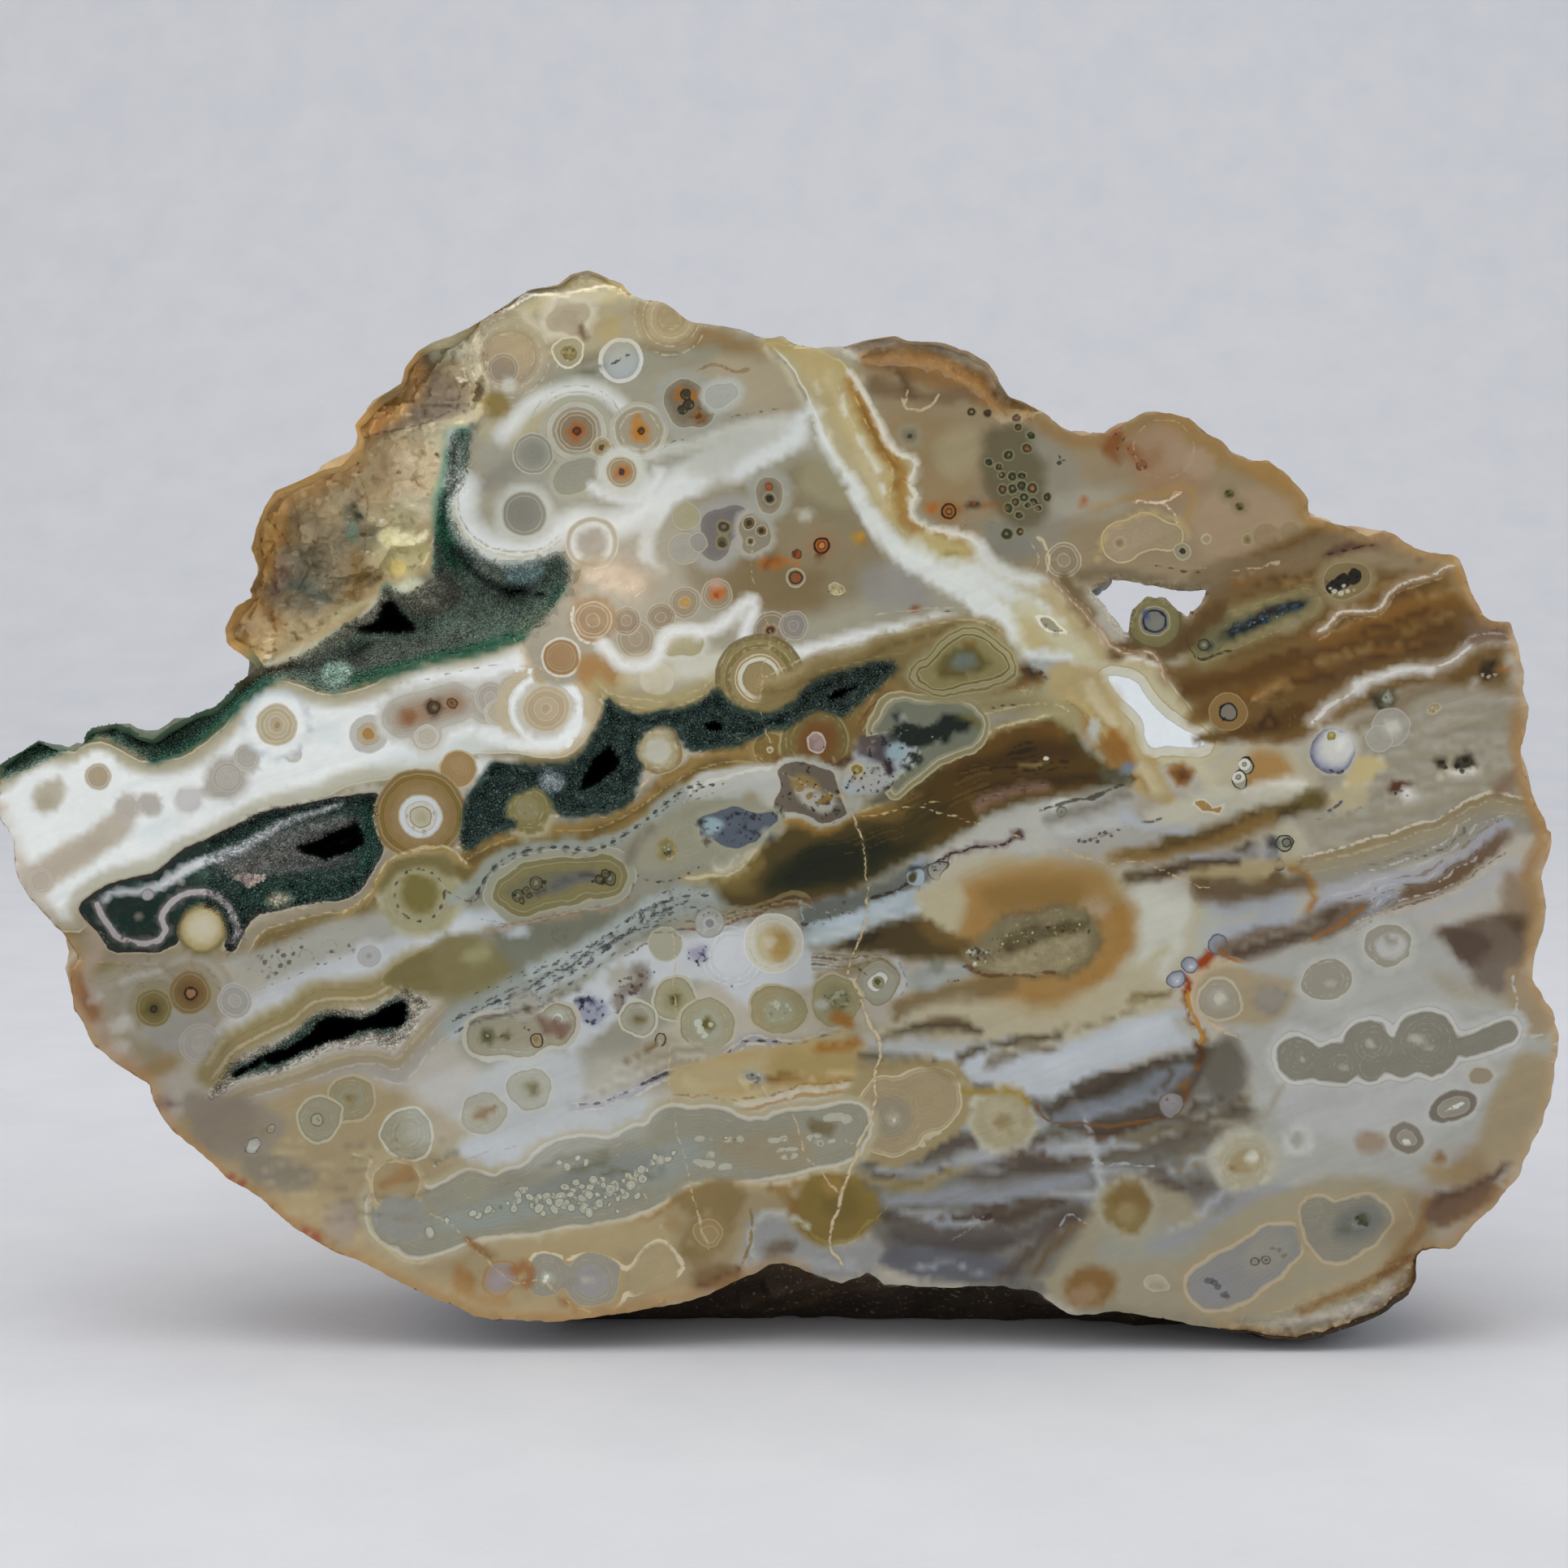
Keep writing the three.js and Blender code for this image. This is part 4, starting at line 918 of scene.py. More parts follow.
# ------------------------------------------------------------------ olive band over the long slot
SB = [(262, 1336), (284, 1300), (310, 1288), (336, 1272), (362, 1262), (384, 1238), (410, 1234), (456, 1236), (486, 1216), (502, 1202), (520, 1196)]
brush([(x - 3, y - 12) for x, y in SB], 17, (135, 123, 87), 6, 0.95, 1)
line([(x - 1, y - 4) for x, y in SB], (162, 152, 124), 2.2, 0.9, 1, 1.2)
line([(x - 4, y - 15) for x, y in SB], (126, 113, 80), 1.2, 0.7, 1)
line([(x - 6, y - 26) for x, y in SB], (165, 160, 138), 2.6, 0.7, 1, 2.0)
wash([(460, 1210), (513, 1172), (559, 1156), (626, 1160), (634, 1178), (579, 1208), (540, 1232), (506, 1222)], (112, 103, 69), 4, 0.95, 1)
rim(poly([(460, 1210), (513, 1172), (559, 1156), (626, 1160), (634, 1178), (579, 1208), (540, 1232), (506, 1222)], 1), -3, 0, (149, 141, 110), 1.2, 0.7)
wash([(530, 1180), (580, 1170), (600, 1180), (560, 1200), (530, 1200)], (121, 113, 79), 8, 0.7, 1)
# grey-beige rim below the slot
SL = [(250, 1362), (275, 1352), (305, 1336), (345, 1326), (385, 1312), (420, 1298), (462, 1296), (484, 1306), (500, 1290), (520, 1266), (540, 1246), (566, 1222)]
brush([(x + 2, y + 8) for x, y in SL], 10, (141, 130, 106), 5, 0.9, 1)
line([(x + 1, y + 2) for x, y in SL], (158, 148, 123), 2.0, 0.9, 1, 1.2)
line([(x + 4, y + 15) for x, y in SL], (168, 164, 155), 1.6, 0.8, 1, 1.0)
brush([(x + 6, y + 24) for x, y in SL], 8, (145, 141, 131), 5, 0.8, 1)
line([(x + 8, y + 33) for x, y in SL[2:]], (173, 172, 168), 1.6, 0.7, 1, 1.0)

# ------------------------------------------------------------------ cavities: dark green chalcedony with pale ribbons
la = poly(LENS_A, 1)
fill(grow(la, 2.0), (158, 151, 134), soft=0.9)
fill(la, (44, 43, 38), soft=0.9, wob=1)
fill(grow(la, -4), "dgreen", soft=1.5, wob=1)
wash([(240, 1060), (330, 1010), (440, 985), (470, 1000), (470, 1050), (440, 1090), (370, 1110), (300, 1110), (230, 1090)], (40, 64, 55), 8, 0.8, 1)
wash([(255, 1070), (300, 1040), (400, 1004), (440, 1004), (440, 1050), (380, 1078), (300, 1080)], (112, 112, 108), 6, 0.85, 1)
wash([(440, 1000), (466, 996), (472, 1044), (452, 1078), (430, 1090), (448, 1050)], (26, 66, 54), 4, 0.9, 1)
wash([(290, 1096), (330, 1088), (400, 1090), (440, 1080), (430, 1104), (380, 1112), (330, 1118), (300, 1116)], (16, 54, 43), 4, 0.9, 1)
brush([(288, 1076), (320, 1064), (350, 1050), (372, 1046)], 6, (114, 110, 104), 3.0, 0.8, 1)
fill(poly([(284, 1082), (300, 1074), (318, 1080), (330, 1076), (326, 1086), (312, 1092), (306, 1098), (298, 1088)], 1), (186, 170, 160), soft=1.2)
fill(oval(345, 1109, 18, 10, 5), (138, 140, 122), soft=6)
fill(oval(345, 1108, 9, 5, 5), (184, 180, 160), soft=4)
brush([(372, 1040), (396, 1030), (420, 1020), (442, 1012)], 5, (84, 80, 78), 3, 0.8, 1)
brush([(350, 1062), (370, 1060), (392, 1066), (420, 1068), (440, 1058)], 4, (70, 72, 70), 3, 0.8, 1)
fill(oval(170, 1131, 8, 4, 10), (121, 115, 105), soft=2)
RIB = [(424, 989), (400, 998), (375, 1004), (350, 1013), (336, 1020), (316, 1034), (296, 1046), (280, 1052), (264, 1057), (248, 1063), (232, 1071), (220, 1078), (207, 1086), (196, 1092), (186, 1096), (172, 1097), (157, 1098), (143, 1100), (132, 1104), (124, 1109), (120, 1114)]
fill(path(RIB, [2.5, 4, 4.5, 5.5, 6, 6.5, 7, 7.5, 7.5, 7, 7, 7, 6.5, 6, 5, 4.5, 4.5, 4.5, 4.5, 4.5, 4.5], 1), (170, 172, 173), soft=2.0, wob=1)
fill(path(RIB[3:14], [1.5, 2.5, 3.5, 4, 4.5, 4.5, 4, 3.5, 3, 2, 1.5], 1), (186, 190, 191), soft=1.5, wob=1)
LOOP = [(120, 1114), (125, 1129), (133, 1138), (138, 1145), (143, 1154), (152, 1158), (161, 1160), (172, 1163), (182, 1163), (190, 1161), (198, 1157), (205, 1146), (200, 1138), (198, 1129), (203, 1120), (211, 1111), (221, 1104), (232, 1100), (245, 1099), (257, 1100), (267, 1104), (275, 1111), (282, 1120), (287, 1130), (293, 1143), (291, 1152), (286, 1160)]
fill(path(LOOP, 6.0, 1), (97, 92, 90), soft=1.6, wob=1)
fill(path(LOOP, 3.6, 1), (160, 156, 155), soft=1.4, wob=1)
fill(circ(182, 1102, 8), (152, 150, 151), soft=0.9, line=(122, 118, 118), w=1.5)
fill(circ(249, 1145, 31), (112, 104, 74), soft=2.0)
fill(circ(249, 1145, 27), (158, 146, 106), soft=0.9, line=(140, 124, 82), w=2.4)
fill(circ(250, 1143, 20), (181, 174, 145), soft=4)
fill(circ(250, 1143, 9), (187, 182, 162), soft=4)

# the eye
fill(circ(518, 1005, 58), (125, 106, 73), soft=0.9, line=(152, 138, 104), w=1.8)
fill(circ(518, 1005, 52), (118, 100, 54), soft=0.9, line=(144, 128, 92), w=1.5, fine=(3.4, 0.07))
fill(circ(518, 1005, 45), (130, 110, 72), soft=1.2, fine=(3.4, 0.06))
fill(circ(518, 1005, 36), (139, 120, 87), soft=2.0, fine=(3.4, 0.05))
fill(circ(518, 1006, 28), (186, 190, 190), soft=0.9, line=(167, 161, 138), w=1.8)
fill(circ(518, 1006, 20), (184, 182, 171), soft=0.9, line=(163, 161, 148), w=1.2)
for q in range(7):
    an = q * 0.93 + 0.2
    fill(path([(518 + 17.5 * math.cos(an + t_), 1006 + 17.5 * math.sin(an + t_)) for t_ in (0, 0.2, 0.42)], [0.5, 1.4, 0.5], 1), (88, 82, 67), soft=0.9, a=0.8)
fill(circ(518, 1006, 14), (168, 165, 145), soft=0.9, line=(132, 123, 94), w=1.4)
fill(circ(518, 1006, 8), (158, 152, 125), soft=2.0)

def rings(x, y, rs, c="cream", w=1.3, a=0.8, asp=1.0, deg=0):
    for r in rs:
        s = circ(x, y, r) if asp == 1.0 else oval(x, y, r * asp, r, deg)
        fill(band(s, 0, w * 1.6), c, soft=0.8, a=a)


def lobes(pts, c, out="white", ow=8.0, edge=None, k=8.0, a=0.95, soft=1.2, inner=None, gap=6.0):
    """A chain of merged orbs with one common outline."""
    s = union(*[circ(*p) for p in pts], k=k) if len(pts) > 1 else circ(*pts[0])
    if ow:
        fill(grow(s, ow), out, soft=ow * 0.55, a=a)
    fill(s, c, soft=soft, a=a, line=edge, w=1.7 if edge else 0, fine=(4.2, 0.03))
    if inner:
        fill(grow(s, -gap), inner, soft=2.5, a=a, fine=(4.2, 0.03))
    return s


# ------------------------------------------------------------------ the broken shoulder
SH_S = poly(SHOULDER, 1)
GAIN = np.array([1.03, 1.09, 1.12])
wash([(300, 300), (620, 300), (620, 560), (560, 700), (480, 800), (200, 860), (200, 500)], (150, 128, 96), 10, 1.0)
CH = [(452, 500), (440, 545), (400, 575), (350, 600), (328, 625), (316, 676), (322, 700), (308, 735), (284, 770), (296, 812)]
brush(CH, 26, (170, 132, 86), 12, 0.9)
brush([(x - 2, y - 2) for x, y in CH], 12, (172, 132, 78), 8, 0.8)
brush([(505, 440), (520, 470), (500, 500), (470, 520)], 17, (186, 146, 92), 8, 0.9)
brush([(450, 505), (470, 500), (500, 492)], 10, (180, 136, 78), 6, 0.8)
wash([(500, 520), (600, 470), (600, 520), (560, 560), (540, 640), (500, 640), (470, 590)], (172, 156, 128), 10, 0.9)
wash([(360, 620), (440, 600), (470, 640), (440, 700), (370, 720), (345, 690)], (156, 134, 104), 9, 0.9)
wash([(400, 600), (430, 590), (450, 620), (430, 660), (412, 640)], (136, 118, 96), 8, 0.8)
wash([(520, 440), (570, 430), (596, 440), (590, 480), (540, 520), (512, 510)], (134, 114, 90), 9, 0.85)
brush([(480, 530), (510, 516), (545, 500), (575, 490)], 9, (126, 108, 92), 6, 0.75)
wash([(350, 690), (400, 680), (420, 720), (390, 760), (350, 750)], (110, 100, 82), 9, 0.75)
wash([(296, 760), (340, 742), (352, 780), (330, 812), (300, 812)], (170, 142, 104), 8, 0.85)
brush([(322, 720), (334, 748), (338, 770)], 8, (136, 100, 64), 6, 0.7)
wash([(455, 655), (500, 650), (530, 672), (530, 700), (490, 716), (462, 700)], (166, 150, 112), 6, 0.95)
wash([(440, 640), (470, 640), (460, 690), (436, 700)], (124, 112, 84), 6, 0.8)
fill(oval(487, 664, 24, 9, -8), (190, 172, 132), soft=3.0)
fill(oval(512, 670, 12, 7, 30), (180, 164, 128), soft=3.0)
fill(oval(490, 700, 12, 8, 10), (180, 158, 102), soft=4.0)
fill(oval(497, 638, 20, 14, -10), (150, 136, 104), soft=4.0, a=0.8)
fill(oval(374, 660, 14, 13, 30), (176, 150, 112), soft=4.0, a=0.9)
fill(oval(300, 775, 14, 9, 10), (166, 140, 108), soft=4.0, a=0.9)
fill(oval(431, 630, 10, 13, 10), (40, 48, 40), soft=4.0)
fill(oval(442, 636, 7, 4, -30), (26, 34, 28), soft=2.0)
fill(oval(434, 655, 9, 13, 0), (120, 142, 124), soft=4.0, a=0.9)
fill(oval(492, 583, 4, 3, 0), (96, 62, 40), soft=1.2)
# small broken facets catch the light as cream flakes
for q in range(190):
    an = hash3(q, 1, 1, 71) * 0.5 + 0.5
    t_ = hash3(q, 2, 1, 71) * 0.5 + 0.5
    bx0 = 330 + 262 * an
    by0 = 790 - (bx0 - 300) * 1.15 + (t_ - 0.35) * 150
    r0 = 1.2 + 3.2 * (hash3(q, 3, 1, 71) * 0.5 + 0.5) ** 2
    cc = [(196, 178, 142), (186, 164, 124), (104, 84, 60), (206, 194, 166), (140, 104, 66)][q % 5]
    fill(poly([(bx0 - 2.2 * r0, by0 + 0.6 * r0), (bx0 - 0.4 * r0, by0 - 0.9 * r0), (bx0 + 2.2 * r0, by0 - 0.5 * r0), (bx0 + 0.6 * r0, by0 + 0.8 * r0)], 0), cc, soft=1.0, a=0.55)
# grey and white crystals at its top, and the brown crack beside the polished mass
wash([(530, 424), (560, 414), (596, 396), (600, 430), (590, 440), (560, 440), (540, 446)], (176, 172, 154), 5, 0.95)
dots([(556, 410), (562, 420), (552, 428), (568, 428), (558, 436), (574, 418), (566, 410), (548, 420), (580, 410), (546, 434), (584, 424), (570, 438)], (92, 92, 82), 3.2, 0.8)
dots([(549, 414), (565, 404), (560, 427), (575, 432), (570, 421), (542, 428)], (214, 212, 198), 2.6, 0.9)
brush([(590, 402), (594, 425), (600, 445), (606, 466), (612, 482)], [2, 4.5, 4, 3, 1.5], (112, 72, 38), 3.0, 0.9, 1)
line([(594, 432), (602, 452), (610, 474), (616, 486)], (70, 42, 24), 1.3, 0.9)
# the green hollow with its sugar of quartz
HOL = poly(HOLLOW, 1)
wash([(330, 700), (350, 640), (400, 610), (450, 640), (450, 700), (420, 750), (370, 770), (336, 750)], (96, 84, 68), 12, 0.4)
brush([(372, 716), (390, 724), (402, 738)], 9, (76, 78, 68), 6, 0.75)
brush([(440, 690), (446, 712), (436, 740)], 9, (118, 92, 56), 6, 0.8)
brush([(342, 690), (352, 706), (346, 730)], 6, (120, 96, 84), 5, 0.7)
wash([(452, 662), (480, 654), (496, 668), (484, 680), (456, 676)], (202, 186, 144), 3, 0.9)
wash([(480, 694), (500, 690), (506, 704), (490, 712)], (192, 166, 104), 3, 0.9)
brush([(496, 668), (512, 672), (530, 660)], 4, (208, 192, 154), 2.5, 0.85)
brush([(410, 770), (440, 752), (466, 742)], 7, (168, 152, 118), 4, 0.8)
wash([(460, 560), (500, 540), (540, 548), (546, 590), (500, 616), (462, 600)], (168, 142, 112), 8, 0.6)
wash([(500, 470), (540, 452), (566, 470), (560, 500), (520, 516), (498, 500)], (118, 100, 84), 8, 0.6)
# partly the rim's own golden colour, partly painted light: light golden strokes along the broken rim stand for light
# shining through it
brush([(446, 514), (440, 545), (400, 576), (352, 602), (332, 624)], 17, (216, 172, 118), 10, 0.7)
brush([(508, 436), (520, 466), (500, 498), (470, 520)], 14, (212, 168, 116), 9, 0.6)
wash([(370, 590), (420, 570), (440, 600), (430, 650), (380, 650), (350, 620)], (176, 150, 112), 10, 0.5)
wash([(530, 424), (560, 412), (596, 396), (604, 440), (560, 456)], (186, 168, 136), 8, 0.5)
line([(440, 700), (452, 680), (448, 650), (456, 620), (446, 596)], (98, 76, 52), 1.4, 0.6)
line([(448, 540), (480, 530), (520, 524), (556, 506)], (94, 72, 60), 1.6, 0.6)
line([(520, 700), (536, 664), (544, 640)], (196, 178, 140), 1.6, 0.7)
line([(330, 640), (352, 660), (360, 690)], (104, 78, 54), 1.4, 0.6)
GAIN = np.array([1.20, 1.19, 1.20])
fill(HOL, (88, 106, 92), soft=3.0, wob=1)
brush([(560, 540), (558, 580), (545, 615), (548, 660), (570, 690)], 13, (74, 104, 88), 7, 0.9, 1)
brush([(556, 545), (562, 560), (560, 590), (566, 600)], 9, (126, 140, 124), 5, 0.85, 1)
brush([(546, 640), (549, 668), (560, 690)], 9, (42, 92, 66), 5, 0.9, 1)
wash([(560, 700), (620, 712), (690, 700), (690, 740), (640, 780), (560, 795), (500, 805), (520, 770), (560, 750)], (102, 120, 106), 8, 0.9, 1)
brush([(574, 676), (600, 702), (630, 722), (648, 730)], 8, (50, 66, 58), 6, 0.85, 1)
wash([(560, 736), (600, 728), (640, 744), (620, 764), (580, 776), (548, 772)], (122, 138, 122), 8, 0.7, 1)
wash([(420, 790), (520, 790), (600, 770), (560, 800), (480, 818), (430, 830), (380, 830), (330, 826)], (86, 94, 84), 6, 0.95, 1)
brush([(440, 838), (480, 826), (530, 812), (590, 800), (640, 784), (676, 764), (692, 730)], 8, (34, 78, 58), 4, 0.9, 1)
brush([(300, 850), (260, 880), (220, 905), (190, 915), (150, 905)], 14, (58, 84, 70), 6, 0.9, 1)
brush([(190, 935), (240, 915), (280, 880), (300, 858), (330, 838)], 7, (34, 74, 58), 4, 0.9, 1)
brush([(0, 950), (40, 925), (80, 918), (110, 905)], 9, (44, 78, 64), 4, 0.9, 1)
brush([(330, 822), (370, 806), (400, 792), (430, 778), (452, 764)], 9, (140, 138, 118), 5, 0.85, 1)
brush([(452, 762), (470, 740), (486, 728), (500, 735)], 8, (148, 146, 128), 4, 0.85, 1)
wash([(492, 728), (530, 700), (560, 712), (574, 740), (540, 762), (505, 756), (488, 742)], (96, 96, 82), 6, 0.95, 1)
fill(oval(505, 722, 18, 9, 20), (152, 158, 140), soft=5, a=0.85)
wash([(620, 700), (650, 694), (672, 696), (668, 712), (648, 722), (624, 716)], (134, 158, 158), 3.5, 0.95, 1)
brush([(590, 696), (606, 706), (620, 716)], 6, (120, 128, 112), 4, 0.85, 1)
brush([(560, 676), (590, 712), (630, 732)], 5, (24, 34, 28), 3, 0.85, 1)
wash([(396, 820), (420, 812), (434, 822), (430, 842), (408, 850), (396, 836)], (150, 178, 162), 4, 0.95, 1)
fill(oval(524, 776, 13, 8, -20), (86, 104, 92), soft=3, a=0.9)
brush([(640, 776), (656, 760), (668, 752)], 6, (110, 128, 106), 3, 0.8, 1)
brush([(290, 842), (330, 826), (362, 818)], 4, (60, 50, 34), 3, 0.8, 1)
brush([(558, 536), (562, 556), (560, 580), (554, 596)], 8, (142, 150, 142), 4, 0.8, 1)
brush([(582, 524), (590, 532), (578, 544)], 4, (70, 78, 74), 3, 0.8, 1)
GAIN = 1.105

# ------------------------------------------------------------------ the upper mass: ground tones
MASS = [
    (612, 396), (650, 362), (700, 350), (770, 355), (830, 380), (940, 412), (1040, 430), (1110, 470), (1240, 520), (1345, 530), (1410, 505), (1480, 515),
    (1560, 570), (1640, 640), (1760, 680), (1800, 720), (1500, 760), (1400, 700), (1330, 740), (1260, 800), (1180, 790), (1040, 812), (1000, 840), (900, 852),
    (850, 866), (790, 876), (750, 862), (730, 830), (690, 850), (660, 830), (640, 784), (684, 746), (704, 712), (690, 680), (640, 694), (590, 682), (560, 645), (558, 615), (578, 575), (580, 540), (612, 500), (606, 470), (598, 430),
]
wash(MASS, (150, 146, 128), 5, 1.0, 1)
wash([(600, 400), (700, 360), (860, 400), (960, 430), (1010, 500), (960, 520), (860, 470), (740, 420), (640, 440), (612, 480)], (158, 150, 128), 12)
wash([(590, 520), (640, 490), (720, 470), (700, 520), (620, 560), (590, 560)], (168, 160, 130), 12)
wash([(770, 370), (860, 400), (960, 420), (940, 440), (860, 430), (790, 410)], (138, 116, 80), 9)
brush([(840, 420), (880, 432), (930, 440), (960, 450)], 7, (128, 108, 72), 6, 0.8)
wash([(780, 440), (900, 430), (980, 450), (1010, 500), (960, 500), (880, 460), (820, 470)], (158, 148, 124), 10)
brush([(620, 500), (660, 486), (720, 462), (800, 442), (870, 436)], 13, (140, 140, 122), 9, 0.8)
brush([(710, 445), (760, 420), (830, 432)], 8, (120, 112, 90), 6, 0.7)
# big arcs of the top, right of the tip
for r_, c_ in ((40, (150, 136, 108)), (30, (168, 158, 130)), (20, (142, 126, 96))):
    fill(circ(826, 392, r_), c_, soft=2.2, a=0.7, fine=(4.4, 0.045))
rings(826, 392, (46, 36, 26, 14), (188, 176, 144), 1.3, 0.7)
# partly the tip's pale edge, partly painted light: near-white and yellow lines along the top edge stand for light
# shining through the thin tip
wash([(652, 365), (770, 352), (790, 366), (750, 372), (690, 376), (640, 392), (620, 398)], (186, 178, 142), 4, 0.95, 1)
line([(604, 396), (630, 380), (650, 365), (670, 361), (694, 362), (716, 358), (740, 352), (757, 352), (776, 361)], (226, 222, 200), 1.8, 0.95, 1)
line([(700, 351), (730, 343), (752, 352)], (206, 198, 150), 3.0, 0.7, 1, 2.0)
# pinkish lens with its arcs, far upper left
for r_, c_ in ((56, (150, 142, 120)), (46, (166, 158, 136)), (36, (150, 136, 112)), (28, (166, 150, 124))):
    fill(circ(628, 440, r_), c_, soft=2.4, a=0.85, fine=(4.2, 0.03))
rings(628, 440, (60, 50, 40, 31), (186, 178, 154), 1.4, 0.75)
bead(620, 454, 20, (146, 134, 116), (172, 162, 140), shade=(138, 126, 110), n=1)
fill(circ(627, 474, 9), (186, 184, 168), soft=3.0)
fill(circ(612, 499, 17), (132, 116, 74), soft=4.0)
lobes([(699, 391, 17), (686, 396, 14), (715, 384, 13), (708, 404, 12), (694, 376, 10)], (164, 156, 138), (196, 192, 176), 7, (176, 170, 152), inner=(156, 148, 130))
brush([(640, 386), (660, 396), (672, 416)], 5, (196, 192, 176), 3.5, 0.8)
brush([(668, 372), (700, 366), (730, 366)], 5, (198, 194, 178), 3.5, 0.7)
wash([(724, 392), (760, 384), (756, 402), (730, 410)], (166, 150, 106), 4, 0.7)
fill(poly([(676, 426), (698, 414), (722, 418), (718, 446), (700, 456), (684, 448)], 1), (152, 148, 122), soft=1.2, line=(206, 202, 180), w=2.6)
fill(oval(701, 435, 10, 9, 0), (120, 110, 70), soft=1.4)
dots([(698, 431), (704, 437), (701, 441), (696, 437), (706, 431), (702, 428)], (64, 56, 34), 1.8, 0.9)
dots([(695, 434), (701, 434), (705, 441), (699, 444)], (206, 200, 170), 1.4, 0.9)
fill(oval(718, 409, 5, 11, 15), (84, 66, 50), soft=3.0, a=0.8)

# ------------------------------------------------------------------ white and grey clouds of the left half
brush([(612, 560), (640, 590), (690, 600), (760, 610), (800, 590), (860, 560)], 24, (146, 146, 132), 14, 0.85)
brush([(590, 600), (630, 574), (680, 560), (720, 560)], 10, (124, 122, 110), 8, 0.7)
C_BAND = [(572, 600), (570, 640), (590, 668), (626, 680), (662, 676), (690, 654), (716, 640), (750, 650), (780, 640), (806, 620), (830, 596), (860, 580), (900, 566), (940, 548), (980, 534)]
brush(C_BAND, 19, (190, 194, 188), 7, 0.95, 1)
line(C_BAND, (206, 210, 206), 7, 0.85, 1, 5)
line([(560, 612), (560, 642), (584, 672), (624, 688), (666, 684), (694, 664)], (186, 180, 150), 1.6, 0.9)
line([(565, 612), (566, 640), (588, 668), (626, 682), (664, 680), (690, 660)], (146, 142, 122), 1.4, 0.7)
fill(circ(646, 633, 37), (176, 178, 168), soft=4)
bead(646, 633, 28, (128, 128, 116), (160, 158, 140), shade=(120, 120, 110), n=2)
fill(circ(646, 633, 14), (116, 115, 106), soft=5)
ARC = [(618, 536), (640, 512), (662, 492), (690, 482), (716, 476), (742, 482), (764, 500)]
brush(ARC, 12, (192, 194, 186), 6, 0.95, 1)
line(ARC, (206, 208, 202), 4, 0.8, 1, 3)
rings(711, 531, (58, 50), (150, 146, 124), 1.3, 0.6)
for r_, c_ in ((45, (160, 158, 140)), (36, (174, 172, 156)), (30, (140, 134, 116))):
    fill(circ(711, 531, r_), c_, soft=1.4, a=0.9, fine=(4.0, 0.035))
bead(711, 531, 26, (136, 124, 102), (172, 164, 142), shade=(126, 112, 88), n=1)
fill(circ(711, 531, 10), (150, 88, 30), soft=2.5)
fill(circ(711, 531, 6), (84, 50, 20), soft=0.9, line=(34, 22, 10), w=1.5)
fill(circ(711, 531, 2), (120, 70, 24), soft=0.9)
bead(657, 559, 26, (134, 134, 120), (166, 164, 146), shade=(142, 142, 130), n=1, w=2.0)
fill(circ(657, 560, 15), (128, 128, 116), soft=5)
lobes([(706, 588, 22), (722, 580, 18), (694, 596, 15)], (136, 136, 120), (160, 158, 140), 4, (158, 156, 138))
bead(741, 551, 13, (146, 134, 106), (178, 172, 150), shade=(140, 124, 92), core=(90, 66, 34), rc=4, n=1)
for r_, c_ in ((36, (170, 168, 152)), (29, (146, 138, 116))):
    fill(circ(787, 531, r_), c_, soft=1.4, a=0.9, fine=(4.0, 0.035))
rings(787, 531, (32, 24), (182, 178, 158), 1.4, 0.8)
fill(union(circ(787, 534, 11), circ(784, 516, 6), k=4), (170, 112, 34), soft=2.5)
fill(circ(789, 531, 5), (96, 66, 34), soft=1.2, line=(58, 40, 20), w=1.4)
brush([(730, 600), (750, 612), (775, 618), (800, 604), (812, 580)], 7, (204, 208, 204), 4, 0.9, 1)
bead(766, 582, 20, (150, 138, 112), (180, 174, 150), halo=(190, 192, 182), hr=1.6, shade=(144, 128, 98), n=1)
fill(circ(766, 582, 9), (160, 98, 36), soft=2.0)
fill(circ(766, 582, 4.5), (44, 38, 22), soft=0.9, line=(24, 20, 12), w=1.3)
# white ring lens with the dark dash, and the triple dark orb
fill(circ(765, 444, 28), (150, 154, 148), soft=1.0, line=(196, 196, 188), w=5.0)
fill(circ(767, 446, 18), (162, 168, 164), soft=5)
dashes([(752, 449), (764, 443), (780, 436)], (52, 54, 48), 2.2, 11, 4, 0.85)
brush([(700, 464), (720, 460), (740, 452)], 2.2, (90, 86, 72), 2.0, 0.7, 1)
tri3 = lobes([(843, 492, 27), (862, 508, 20), (840, 512, 16)], (126, 120, 102), (152, 152, 140), 10, (164, 160, 142), inner=(112, 104, 84), gap=7)
fill(oval(844, 486, 9, 16, 80), (152, 98, 40), soft=3.0, a=0.8)
fill(union(circ(845, 485, 7), circ(849, 498, 7), circ(841, 505, 6), k=2), (62, 58, 40), soft=1.0, line=(40, 36, 24), w=1.5)
rings(845, 485, (6,), (120, 112, 84), 0.9, 0.8)
rings(849, 498, (5,), (120, 112, 84), 0.9, 0.8)
rings(841, 505, (4.5,), (120, 112, 84), 0.9, 0.8)
fill(circ(862, 512, 9), (126, 92, 52), soft=1.6, line=(100, 74, 44), w=1.2)
fill(circ(861, 512, 4.5), (82, 66, 42), soft=1.2)
lobes([(884, 488, 17), (900, 482, 12)], (158, 160, 150), (168, 170, 160), 5, (172, 174, 162))
dashes([(812, 556), (822, 548), (834, 542), (846, 540)], (50, 50, 42), 1.8, 8, 6, 0.8)
dashes([(900, 514), (920, 510), (946, 506), (964, 502)], (90, 84, 66), 1.6, 10, 6, 0.7)
line([(856, 458), (880, 450), (906, 460), (924, 456)], (122, 96, 56), 2.0, 0.6, 2, 1.2)
